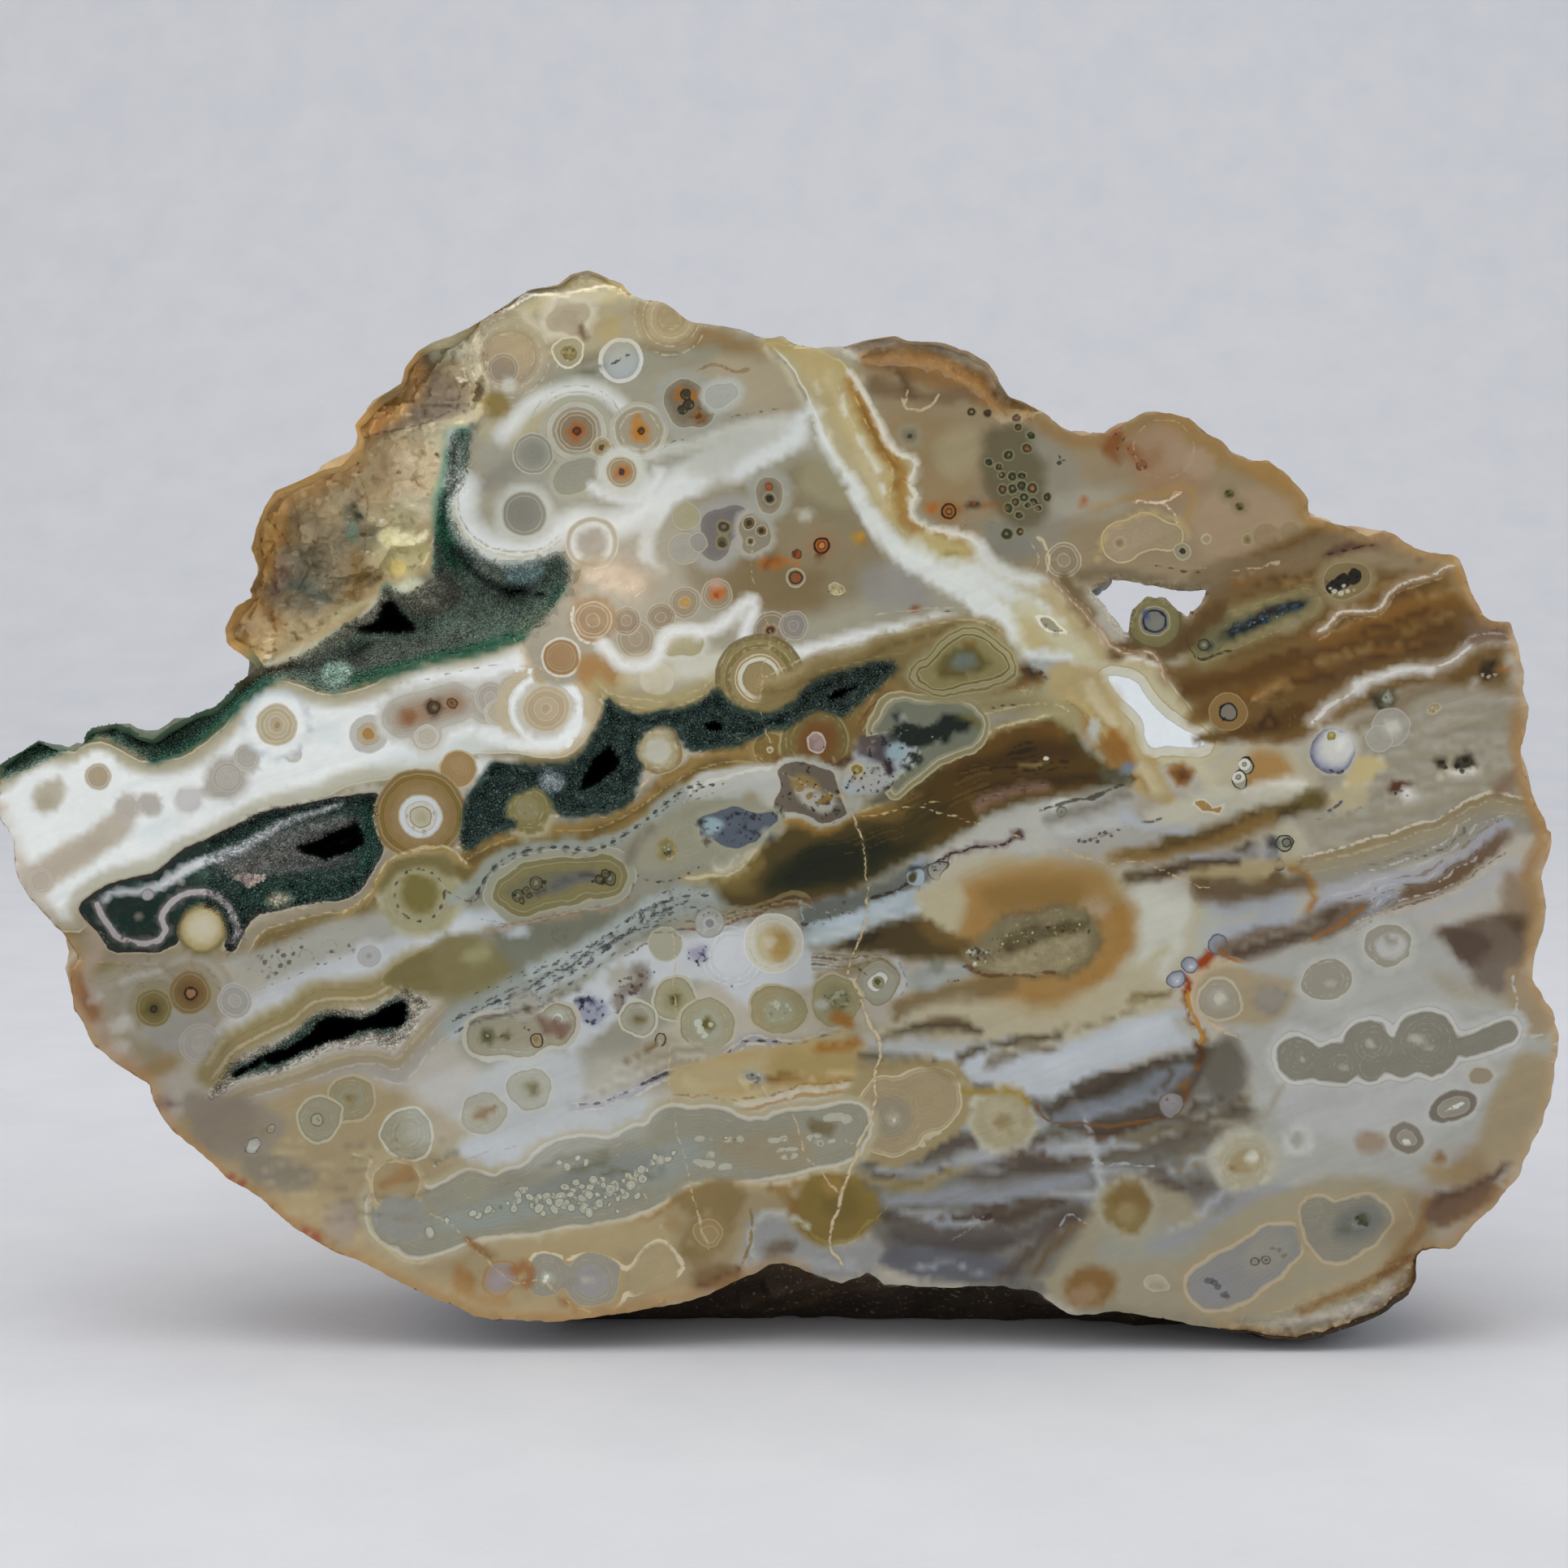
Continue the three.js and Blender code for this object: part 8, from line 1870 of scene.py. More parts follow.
brush([(1105, 1188), (1113, 1198), (1116, 1213), (1110, 1228)], 4, (204, 206, 200), 2.5, 0.95, 2)
brush([(1113, 1192), (1121, 1204), (1122, 1220)], 2.4, (178, 182, 182), 1.8, 0.9, 2)
line([(1109, 1188), (1118, 1202), (1119, 1218), (1112, 1232)], (130, 128, 118), 1.1, 0.7, 2)
brush([(1116, 1240), (1150, 1226), (1200, 1214), (1240, 1208)], 11, (132, 112, 76), 8, 0.9)
brush([(1108, 1252), (1140, 1240), (1190, 1228)], 4, (108, 90, 60), 4, 0.8)
dots([(1168, 1209), (1175, 1209), (1180, 1208)], (86, 66, 40), 2.0, 0.8)
wash([(1120, 1210), (1150, 1200), (1170, 1206), (1150, 1220)], (176, 180, 174), 5, 0.85)
# ring orb at the foot of the crack
GAIN = 1.105
fill(circ(1084, 1213, 27), (146, 142, 124), soft=1.4, line=(128, 120, 96), w=1.4, wob=2)
fill(circ(1084, 1211, 20), (150, 150, 134), soft=1.2)
fill(circ(1084, 1211, 13), (196, 198, 188), soft=1.2, line=(140, 138, 120), w=1.3, wob=2)
fill(circ(1083, 1210, 8), (132, 130, 104), soft=1.5)
fill(circ(1082, 1209, 4), (84, 84, 50), soft=1.2)
dots([(1086, 1212)], (200, 200, 180), 1.8, 0.8)
line([(1054, 1190), (1062, 1196), (1068, 1202)], (56, 48, 36), 1.2, 0.8)
# ------------------------------------------------------------------ the lens with its ring clusters
LC = [(601, 1104), (609, 1084), (634, 1066), (660, 1058), (694, 1055), (715, 1058), (734, 1053), (756, 1054), (769, 1064), (772, 1079), (767, 1094), (750, 1106), (697, 1114), (660, 1130), (633, 1132), (614, 1120)]
lc = poly(LC, 1)
brush([(560, 1106), (590, 1082), (604, 1064), (636, 1048), (690, 1040), (718, 1048), (750, 1042), (784, 1020), (806, 996), (840, 978)], 9, (146, 152, 142), 5, 0.95, 2)
fill(grow(lc, 9), (150, 150, 134), soft=1.4, line=(170, 168, 150), w=1.6, wob=2)
fill(lc, (124, 118, 86), soft=1.0, line=(162, 158, 130), w=2.2, wob=2)
fill(grow(lc, -8), (128, 120, 82), soft=1.0, line=(146, 140, 108), w=1.4, wob=2, fine=(4.6, 0.04))
fill(grow(lc, -17), (114, 112, 88), soft=2.5, line=(132, 124, 88), w=1.2, wob=2)
wash([(664, 1092), (690, 1076), (730, 1072), (740, 1082), (700, 1096), (672, 1104)], (104, 104, 100), 5, 0.95)
line([(660, 1100), (696, 1086), (736, 1080)], (70, 68, 72), 2.0, 0.75, 2, 2.0)
for x, y, r in ((640, 1104, 9), (650, 1097, 6), (663, 1088, 7.5), (647, 1110, 5), (656, 1103, 4.5), (747, 1081, 8), (736, 1084, 6), (742, 1076, 5)):
    fill(circ(x, y, r), (108, 104, 74), soft=0.9, line=(56, 54, 38), w=1.6, wob=2)
    fill(circ(x, y, r * 0.5), (128, 128, 110), soft=1.0, line=(76, 74, 54), w=1.0, wob=2)
dots([(634, 1102), (668, 1092), (671, 1086), (730, 1086), (752, 1076), (742, 1088)], (38, 36, 24), 2.2, 0.85)
# manganese double line
for off, c_, w_ in ((0, (40, 42, 42), 2.4), (5, (70, 74, 74), 1.3), (-4, (86, 90, 90), 1.1)):
    dashes([(578, 1112 + off), (590, 1099 + off), (597, 1082 + off), (611, 1064 + off), (636, 1050 + off), (676, 1044 + off), (697, 1042 + off), (719, 1051 + off), (740, 1046 + off), (761, 1036 + off), (783, 1020 + off), (799, 1006 + off), (826, 986 + off), (848, 970 + off), (866, 966 + off)], c_, w_, 11, 4, 0.85)
dashes([(548, 1098), (566, 1106), (580, 1112), (588, 1108)], (66, 70, 68), 1.6, 8, 4, 0.75)
dashes([(782, 1077), (800, 1086), (826, 1087), (850, 1076), (870, 1062)], (54, 54, 52), 1.7, 9, 4, 0.85)
dashes([(780, 1084), (778, 1100), (772, 1110)], (66, 66, 62), 1.4, 6, 4, 0.75)
# the grey beige body with its speckled spot
wash([(776, 1060), (786, 1032), (812, 1014), (836, 1012), (852, 1030), (856, 1060), (840, 1080), (806, 1080)], (148, 146, 126), 5, 0.9)
brush([(784, 1064), (792, 1040), (812, 1024)], 5, (112, 108, 98), 5, 0.7)
fill(oval(822, 1047, 11, 15, 10), (134, 122, 68), soft=1.6, line=(150, 142, 100), w=1.2)
fill(oval(822, 1047, 6.5, 10.5, 15), (120, 118, 84), soft=1.2)
speck([(816, 1040), (828, 1040), (828, 1056), (818, 1056)], 20, [(40, 40, 28), (196, 196, 180), (56, 54, 36)], 0.8, 1.7, 13)
for x, y, r in ((860, 1050, 22), (846, 1032, 17)):
    rings(x, y, (r, r + 6), (162, 160, 140), 1.2, 0.5)
# teal white streaked band with its dashes
TB = [(556, 1262), (600, 1236), (652, 1212), (692, 1194), (726, 1176), (756, 1152), (790, 1128), (836, 1112), (870, 1112)]
brush(TB, 17, (142, 148, 142), 8, 0.95, 2)
brush([(x + 3, y - 12) for x, y in TB[2:]], 8, (158, 166, 162), 5, 0.85, 2)
brush([(x, y + 13) for x, y in TB[:6]], 6, (166, 172, 170), 5, 0.85, 2)
for q in range(11):
    k0, off = q % 4, (q - 5) * 4.2
    seg = [(x + (q * 7 % 9), y + off * (1 - 0.06 * i)) for i, (x, y) in enumerate(TB[k0:k0 + 5 + q % 3])]
    dashes(seg, [(40, 42, 42), (74, 78, 76), (56, 58, 58)][q % 3], 1.2 + 0.5 * (q % 3), 9 + q % 5 * 2, 6 + q % 4 * 3, 0.8)
line([(556, 1256), (600, 1240), (652, 1218), (700, 1190), (740, 1170), (772, 1150), (800, 1138)], (60, 60, 58), 1.6, 0.8, 2)
for q in range(10):
    x0, y0 = 782 + (q * 29 % 66), 1146 - (q * 13 % 40)
    dashes([(x0, y0), (x0 + 16, y0 - 8), (x0 + 34, y0 - 13)], (50, 52, 52), 1.5, 7, 5, 0.75)
brush([(600, 1146), (640, 1140), (690, 1128), (740, 1120), (780, 1108)], 3, (150, 132, 108), 2.5, 0.75, 2)
line([(590, 1134), (622, 1140), (660, 1136), (702, 1120), (748, 1114)], (128, 104, 84), 1.2, 0.6, 2)
dashes([(616, 1142), (650, 1140), (700, 1124), (740, 1118)], (84, 72, 62), 1.2, 9, 8, 0.6)
rings(689, 1150, (7, 11), (96, 98, 84), 1.4, 0.6)
rings(788, 1128, (4, 7), (46, 48, 44), 1.4, 0.8)
rings(812, 1120, (6, 10), (54, 56, 52), 1.4, 0.7)
# ringed grey disc on the line
fill(circ(874, 1137, 19), (150, 152, 144), soft=1.4, line=(132, 132, 120), w=1.3, wob=1)
rings(874, 1137, (15, 11.5), (176, 178, 172), 1.1, 0.8)
fill(circ(874, 1137, 8), (166, 166, 160), soft=1.0)
fill(circ(874, 1138, 5.5), (128, 124, 128), soft=1.5)
dashes([(860, 1134), (866, 1126), (876, 1124), (886, 1130)], (48, 46, 46), 1.3, 4, 2.5, 0.85)
# orbs of the white field
fill(circ(819, 1163, 22), (150, 148, 130), soft=1.2, line=(164, 160, 142), w=1.6)
line([(804, 1150), (826, 1146), (838, 1156)], (90, 84, 76), 1.3, 0.6)
fill(circ(953, 1162, 37), (184, 182, 168), soft=1.3, line=(196, 196, 188), w=1.6)
rings(953, 1162, (31, 26), (168, 160, 134), 1.2, 0.7)
fill(circ(955, 1162, 24), (172, 162, 132), soft=2.5)
fill(oval(960, 1164, 14, 21, 0), (158, 134, 84), soft=3.5)
fill(circ(948, 1160, 8), (186, 178, 154), soft=4)
dots([(1004, 1138)], (58, 46, 36), 1.8, 0.9)
fill(circ(765, 1205, 17), (156, 154, 144), soft=3)
fill(circ(784, 1206, 10), (160, 156, 142), soft=1.2)
RUST = [(786, 1196), (792, 1206), (788, 1218), (776, 1220), (764, 1224), (760, 1236), (768, 1244)]
brush(RUST, [9, 10, 8, 6, 7, 8, 6], (116, 108, 98), 4, 0.8, 2)
speck([(772, 1190), (798, 1190), (798, 1222), (774, 1230), (770, 1250), (752, 1248), (756, 1222)], 46, [(72, 60, 50), (104, 88, 74), (92, 78, 66)], 1.2, 3.6, 44)
speck([(776, 1196), (792, 1196), (792, 1218), (770, 1226), (766, 1244), (756, 1244), (760, 1224)], 34, [(54, 42, 34), (128, 108, 90)], 0.9, 2.2, 14)
fill(poly([(712, 1234), (726, 1226), (740, 1232), (750, 1240), (744, 1256), (736, 1266), (722, 1258), (710, 1250)], 1), (142, 146, 158), soft=4, wob=2)
speck([(708, 1232), (728, 1226), (750, 1236), (752, 1246), (740, 1264), (724, 1262), (710, 1250)], 66, [(26, 28, 44), (52, 54, 76), (36, 36, 46)], 0.9, 2.7, 15)
brush([(708, 1236), (720, 1228), (734, 1230)], 2.5, (40, 42, 58), 2, 0.85)
fill(poly([(844, 1172), (858, 1166), (872, 1166), (870, 1182), (862, 1192), (850, 1184)], 1), (146, 144, 158), soft=4, wob=2)
speck([(842, 1170), (858, 1172), (872, 1164), (872, 1182), (864, 1194), (850, 1186)], 26, [(28, 28, 40), (66, 64, 88)], 0.9, 2.4, 16)
dots([(902, 1215), (900, 1214), (801, 1193), (806, 1197), (812, 1196)], (70, 74, 80), 1.6, 0.8)


def eyeorb(x, y, r, body, edge, line_, inner=None, core=None, asp=1.0, deg=0, n=1):
    """A ringed orb: pale edge, body, thin ring, mottled heart."""
    fill(oval(x, y, r + 3.5, (r + 3.5) * asp, deg), edge, soft=1.3, wob=2)
    fill(oval(x, y, r, r * asp, deg), body, soft=0.9, line=line_, w=1.3, wob=2, fine=(4.2, 0.03))
    for q in range(n):
        g_ = 0.82 - q * 0.16
        rim(oval(x, y, r * g_, r * asp * g_, deg), -0.6, 0.6, edge, a=0.55)
    if inner:
        fill(oval(x, y, r * 0.55, r * 0.55 * asp, deg), inner, soft=2.2, wob=2)
    if core:
        fill(oval(x + 1, y, r * 0.3, r * 0.22, deg + 15), core, soft=1.6, wob=2)


GB, GE, GL = (146, 142, 120), (172, 170, 152), (126, 122, 100)
eyeorb(829, 1233, 25, (148, 144, 118), (170, 168, 150), GL, (138, 134, 104), (84, 78, 40), n=2)
eyeorb(784, 1257, 22, (150, 148, 132), (176, 174, 158), GL, (138, 134, 116), (102, 92, 54))
eyeorb(869, 1263, 33, (148, 144, 120), (168, 164, 142), GL, (150, 152, 132), (100, 92, 46), n=2)
dots([(862, 1268), (868, 1274), (876, 1262), (860, 1260)], (186, 190, 174), 4, 0.75)
eyeorb(957, 1245, 36, (144, 136, 104), (166, 158, 130), GL, (146, 146, 122), None, 0.78, -12, 1)
speck([(934, 1244), (950, 1232), (976, 1232), (974, 1250), (950, 1262)], 30, [(176, 178, 156), (104, 102, 70), (190, 192, 172)], 1.0, 2.8, 17, 0.75)
eyeorb(1031, 1233, 33, (142, 136, 104), (164, 156, 128), GL, (126, 122, 94), None, 0.94, 0, 1)
speck([(1012, 1222), (1046, 1220), (1052, 1236), (1036, 1248), (1014, 1242)], 60, [(78, 78, 56), (150, 154, 132), (96, 98, 84), (110, 106, 60)], 1.0, 3.0, 18, 0.8)
fill(oval(1012, 1238, 9, 7, 0), (160, 162, 148), soft=3)
eyeorb(652, 1342, 26, (150, 148, 128), (172, 172, 160), GL, (142, 138, 112), (92, 82, 44), n=2)
eyeorb(595, 1371, 27, (146, 142, 120), (170, 168, 154), GL, (146, 140, 112), (120, 92, 56), n=2)
brush([(584, 1374), (596, 1370), (608, 1366)], 3.2, (112, 80, 46), 2.2, 0.9)
# chain capsule
ch = union(caps(600, 1276, 650, 1270, 25), circ(686, 1262, 27), circ(640, 1276, 24), k=10)
fill(grow(ch, 6), (170, 168, 154), soft=1.3, wob=2)
fill(ch, (144, 140, 120), soft=0.9, line=(124, 120, 100), w=1.5, wob=2, fine=(4.2, 0.03))
rim(grow(ch, -6), -0.7, 0.7, (168, 164, 144), a=0.7)
fill(circ(601, 1277, 9), (92, 90, 62), soft=2.5)
fill(circ(601, 1277, 4), (128, 124, 98), soft=1.5, line=(66, 64, 42), w=1.4)
fill(circ(623, 1277, 6), (102, 96, 70), soft=2)
dots([(618, 1276), (628, 1279), (646, 1266), (652, 1268)], (86, 72, 48), 2.4, 0.8)
fill(circ(661, 1280, 8), (142, 130, 100), soft=0.9, line=(78, 62, 40), w=2.0, wob=2)
fill(circ(661, 1280, 3.6), (150, 142, 118), soft=1.2, line=(112, 98, 68), w=1.0)
fill(circ(688, 1256, 14), (158, 160, 148), soft=3)
fill(circ(688, 1255, 7), (146, 150, 134), soft=1.2, line=(186, 190, 178), w=1.4, wob=2)
for p_ in ([(668, 1264), (676, 1270)], [(690, 1274), (700, 1268)], [(682, 1266), (690, 1270)]):
    brush(p_, 4, (112, 86, 74), 3, 0.85)
fill(circ(646, 1238, 20), (150, 148, 136), soft=2.5, a=0.8)
rings(646, 1240, (21,), (120, 118, 108), 1.2, 0.6)
fill(oval(650, 1243, 6, 4, 0), (92, 76, 52), soft=2)
line([(580, 1262), (610, 1252), (650, 1242), (690, 1226), (720, 1214)], (82, 78, 76), 1.8, 0.7, 2, 1.6)
# soft grey bands below, with the little brown ring and its streak
GBD = [(706, 1372), (730, 1340), (726, 1312), (760, 1300), (800, 1288), (826, 1286), (850, 1300), (900, 1292), (930, 1276), (980, 1280), (1015, 1270), (1040, 1266)]
wash([(714, 1360), (716, 1318), (740, 1298), (790, 1292), (812, 1270), (850, 1296), (900, 1292), (930, 1272), (1000, 1280), (1010, 1290), (920, 1300), (860, 1330), (780, 1350)], (152, 146, 128), 6, 1.0)
for q in range(5):
    line([(716 + q * 6, 1360 - q * 8), (736 + q * 4, 1352 - q * 9), (780, 1340 - q * 9), (826, 1322 - q * 8), (862, 1312 - q * 6)], [(166, 162, 148), (134, 126, 106), (172, 168, 152), (140, 132, 112), (168, 162, 142)][q], 2.2, 0.8, 2, 1.8)
fill(circ(812, 1284, 8), (146, 140, 116), soft=0.9, line=(78, 70, 46), w=2.2, wob=2)
fill(circ(812, 1285, 4), (166, 166, 152), soft=1.4)
brush([(804, 1290), (788, 1298), (770, 1308), (760, 1312)], 3, (112, 94, 66), 2.5, 0.85)
LB = [(708, 1362), (756, 1356), (804, 1328), (844, 1319), (876, 1311), (901, 1294), (919, 1280), (944, 1283), (983, 1287), (1015, 1276), (1040, 1271)]
brush(LB, 6, (142, 140, 142), 4, 0.9, 2)
line([(x, y - 4) for x, y in LB], (176, 172, 156), 1.6, 0.8, 2)
line([(x, y + 6) for x, y in LB], (180, 174, 158), 1.8, 0.85, 2)
dashes(LB, (42, 42, 48), 2.0, 12, 7, 0.85)
line([(786, 1335), (806, 1328), (826, 1322), (850, 1317)], (40, 40, 44), 2.4, 0.8, 2)
# amber below the orbs
wash([(826, 1318), (876, 1318), (920, 1294), (980, 1294), (1020, 1282), (1050, 1262), (1066, 1280), (1076, 1320), (1070, 1352), (1000, 1350), (920, 1362), (870, 1362), (826, 1352)], (164, 150, 114), 7, 1.0)
wash([(960, 1300), (1030, 1288), (1060, 1290), (1064, 1330), (1000, 1346), (950, 1340)], (150, 132, 88), 12, 0.9)
brush([(900, 1312), (950, 1300), (1000, 1298), (1040, 1290)], 5, (158, 138, 94), 6, 0.8)
brush([(960, 1344), (1000, 1334), (1050, 1330)], 5, (148, 122, 74), 5, 0.8)
brush([(850, 1340), (880, 1350), (930, 1350)], 5, (172, 160, 126), 5, 0.8)
for q in range(12):
    x0, y0 = 850 + (q * 61 % 170), 1326 + (q * 17 % 26)
    brush([(x0, y0), (x0 + 26, y0 - 3), (x0 + 56, y0 - 10)], 2.2, [(166, 146, 104), (112, 84, 40), (176, 158, 120)][q % 3], 2.2, 0.6)
brush([(1040, 1256), (1056, 1262), (1064, 1276), (1052, 1290), (1020, 1296)], 7, (142, 100, 46), 5, 0.9)
fill(oval(928, 1327, 15, 8, -12), (148, 146, 130), soft=2.5)
fill(oval(928, 1327, 11, 5.5, -14), (120, 118, 108), soft=1.0, wob=2)
speck([(918, 1328), (928, 1321), (940, 1324), (934, 1332), (922, 1333)], 22, [(46, 46, 42), (196, 198, 188), (60, 58, 50)], 0.8, 1.9, 19)
WL = [(826, 1354), (861, 1357), (897, 1365), (933, 1357), (986, 1344), (1040, 1337), (1076, 1339)]
brush(WL, 4, (184, 178, 160), 3, 0.9, 2)
line([(x, y + 6) for x, y in WL], (156, 128, 82), 2.4, 0.85, 2)
line([(x, y - 6) for x, y in WL], (134, 104, 56), 1.6, 0.7, 2)
line([(x, y + 12) for x, y in WL], (184, 176, 156), 1.8, 0.8, 2)
# ------------------------------------------------------------------ recess at the right of the middle
rc = poly([(1184, 1176), (1200, 1166), (1222, 1150), (1238, 1132), (1262, 1124), (1300, 1120), (1330, 1120), (1350, 1136), (1356, 1166), (1344, 1186), (1310, 1196), (1270, 1200), (1236, 1198), (1206, 1194)], 1)
fill(grow(rc, 5), (110, 96, 66), soft=3.5, wob=2)
fill(rc, (116, 108, 82), soft=2.0, wob=2)
brush([(1240, 1160), (1290, 1144), (1340, 1142)], 9, (84, 76, 50), 4, 0.85)
brush([(1226, 1186), (1280, 1172), (1340, 1166)], 9, (128, 120, 96), 6, 0.85)
speck([(1190, 1172), (1240, 1146), (1300, 1138), (1346, 1140), (1344, 1152), (1280, 1158), (1226, 1176), (1200, 1188)], 150, [(36, 32, 22), (150, 138, 98), (60, 52, 34), (196, 190, 160)], 0.8, 2.4, 20, 0.8)
speck([(1186, 1174), (1206, 1164), (1222, 1174), (1216, 1190), (1196, 1190)], 46, [(206, 206, 192), (180, 178, 160), (60, 54, 40)], 0.9, 2.4, 21, 0.85)
line([(1190, 1190), (1220, 1200), (1256, 1202), (1300, 1198)], (92, 66, 46), 2.4, 0.8, 2)
# ------------------------------------------------------------------ colours of the dark druse and of the chamber walls
for nm, cc in (("lens_b", (30, 52, 46)), ("slot", (58, 78, 68))):
    if nm in _SH:
        fill(grow(_SH[nm], 3), cc, soft=3.0, wob=2)
fill(oval(678, 963, 20, 13, 10), (128, 140, 144), soft=4, wob=2)
fill(oval(676, 961, 9, 6, 10), (150, 160, 160), soft=2.5, wob=2)

# ------------------------------------------------------------------ lower right: gneiss-like streaks
GAIN = 1.105 * 0.86
wash([(1060, 1280), (1160, 1300), (1260, 1330), (1340, 1340), (1440, 1310), (1480, 1290), (1510, 1290), (1560, 1400), (1540, 1500), (1460, 1560), (1340, 1560), (1290, 1600), (1060, 1560), (1060, 1400)], (126, 124, 114), 9, 1.0)
wash([(1110, 1250), (1180, 1222), (1260, 1236), (1330, 1226), (1400, 1196), (1440, 1190), (1450, 1240), (1380, 1262), (1260, 1282), (1150, 1300), (1090, 1290)], (192, 182, 152), 10, 0.9)
wash([(1130, 1262), (1160, 1250), (1196, 1254), (1186, 1266), (1150, 1270)], (124, 106, 76), 5, 0.9)
brush([(1124, 1268), (1156, 1260), (1188, 1258)], 3.5, (98, 80, 54), 3, 0.85)
brush([(1300, 1270), (1350, 1262), (1400, 1252)], 6, (196, 188, 160), 6, 0.8)
brush([(1404, 1226), (1424, 1222), (1444, 1220)], 5, (150, 138, 92), 5, 0.8)
wash([(1259, 1296), (1324, 1272), (1400, 1250), (1466, 1244), (1480, 1268), (1484, 1292), (1406, 1310), (1335, 1328), (1306, 1344), (1286, 1356), (1243, 1339), (1189, 1325), (1134, 1306), (1084, 1300), (1080, 1284), (1160, 1280)], (198, 204, 208), 7, 1.0)
brush([(1090, 1292), (1140, 1284), (1200, 1280), (1250, 1270)], 5, (182, 186, 182), 4, 0.85)
brush([(1290, 1312), (1360, 1288), (1440, 1268)], 12, (210, 216, 220), 8, 0.85)
brush([(1110, 1272), (1150, 1264), (1200, 1262)], 4.5, (92, 82, 62), 4, 0.9)
brush([(1096, 1282), (1120, 1276), (1150, 1274)], 3, (116, 108, 86), 3, 0.8)
brush([(1176, 1292), (1220, 1282), (1270, 1274), (1300, 1270)], 5, (88, 78, 58), 4, 0.9)
brush([(1214, 1300), (1260, 1290), (1300, 1284)], 3.5, (120, 110, 88), 3.5, 0.8)
brush([(1300, 1262), (1350, 1256), (1400, 1244)], 3, (130, 120, 92), 3, 0.7)
brush([(1398, 1232), (1430, 1224), (1450, 1216)], 5, (124, 110, 72), 4, 0.8)
wash([(1440, 1258), (1474, 1250), (1500, 1274), (1490, 1290), (1460, 1276)], (188, 188, 178), 5, 0.9)
DKB = [(1286, 1370), (1308, 1354), (1322, 1338), (1352, 1324), (1384, 1316), (1428, 1310), (1466, 1296), (1500, 1280), (1530, 1284), (1540, 1310), (1500, 1324), (1470, 1340), (1456, 1362), (1428, 1378), (1379, 1394), (1341, 1396), (1300, 1390)]
fill(poly(DKB, 1), (92, 84, 72), soft=2.5, wob=2)
wash([(1500, 1284), (1548, 1278), (1560, 1310), (1540, 1340), (1500, 1350), (1480, 1330)], (116, 110, 98), 6, 0.95)
brush([(1300, 1374), (1330, 1362), (1376, 1350), (1430, 1338), (1462, 1326)], 9, (132, 138, 144), 5, 0.95)
brush([(1330, 1368), (1376, 1358), (1420, 1348)], 4, (152, 158, 164), 3.5, 0.8)
brush([(1300, 1356), (1340, 1340), (1400, 1326), (1450, 1312)], 4, (74, 64, 52), 3.5, 0.85)
brush([(1330, 1392), (1380, 1386), (1430, 1372), (1470, 1360)], 5, (84, 66, 46), 4, 0.85)
GN = [((1062, 1400), (1130, 1386), (1200, 1392), (1280, 1380)), ((1080, 1420), (1160, 1410), (1240, 1416), (1300, 1402)), ((1180, 1430), (1260, 1424), (1330, 1410), (1390, 1402)), ((1080, 1452), (1150, 1444), (1230, 1446), (1310, 1430)),
      ((1090, 1476), (1170, 1468), (1250, 1470), (1330, 1450)), ((1080, 1500), (1160, 1494), (1250, 1498), (1330, 1480)), ((1300, 1430), (1360, 1420), (1420, 1410), (1480, 1398)), ((1380, 1400), (1440, 1392), (1490, 1376), (1540, 1350)),
      ((1360, 1440), (1410, 1446), (1450, 1440), (1500, 1420)), ((1100, 1520), (1180, 1514), (1250, 1520), (1320, 1506)), ((1430, 1440), (1450, 1460), (1480, 1470), (1510, 1450)), ((1440, 1500), (1480, 1490), (1520, 1470)), ((1460, 1380), (1500, 1370), (1540, 1370))]
GC = [(172, 176, 176), (96, 86, 74), (176, 180, 182), (92, 82, 72), (154, 158, 164), (84, 74, 64), (110, 100, 86), (132, 122, 100), (170, 172, 172), (100, 92, 86), (112, 106, 98), (150, 152, 156), (104, 94, 78)]
for p_, c_ in zip(GN, GC):
    brush(list(p_), 8, c_, 5, 0.9)
for q in range(70):
    x0 = 1070 + (q * 89 % 360)
    y0 = 1404 + (q * 47 % 126)
    ln_ = 30 + (q * 37 % 60)
    c_ = [(74, 62, 52), (176, 180, 182), (110, 98, 84), (150, 156, 164), (90, 72, 56), (190, 192, 190)][q % 6]
    brush([(x0, y0), (x0 + ln_ * 0.5, y0 - 3 - q % 5), (x0 + ln_, y0 - 5 - q % 9)], 1.5 + (q % 3) * 0.9, c_, 1.8, 0.6)
for q in range(22):
    x0 = 1400 + (q * 53 % 130)
    y0 = 1350 + (q * 31 % 96)
    brush([(x0, y0), (x0 + 22, y0 - 10), (x0 + 46, y0 - 18)], 1.6 + (q % 2), [(88, 74, 56), (176, 174, 162), (130, 108, 70), (104, 96, 84)][q % 4], 1.6, 0.65)
wash([(1070, 1540), (1160, 1530), (1240, 1536), (1280, 1560), (1200, 1580), (1080, 1574)], (104, 106, 112), 6, 0.95)
wash([(1080, 1530), (1180, 1520), (1260, 1520), (1240, 1534), (1120, 1540)], (84, 76, 72), 5, 0.85)
brush([(1130, 1560), (1180, 1556), (1220, 1562), (1250, 1574)], 2.4, (176, 180, 184), 2, 0.7)
brush([(1240, 1566), (1290, 1520), (1340, 1500)], 7, (92, 80, 68), 5, 0.85)
brush([(1276, 1560), (1310, 1524), (1340, 1510)], 5, (110, 88, 60), 4, 0.8)
dots([(1218, 1499), (1212, 1500)], (76, 52, 50), 4.0, 0.8)
dots([(1240, 1511)], (40, 32, 30), 1.8, 0.8)
line([(1170, 1530), (1190, 1518), (1214, 1498)], (156, 156, 152), 1.4, 0.5)
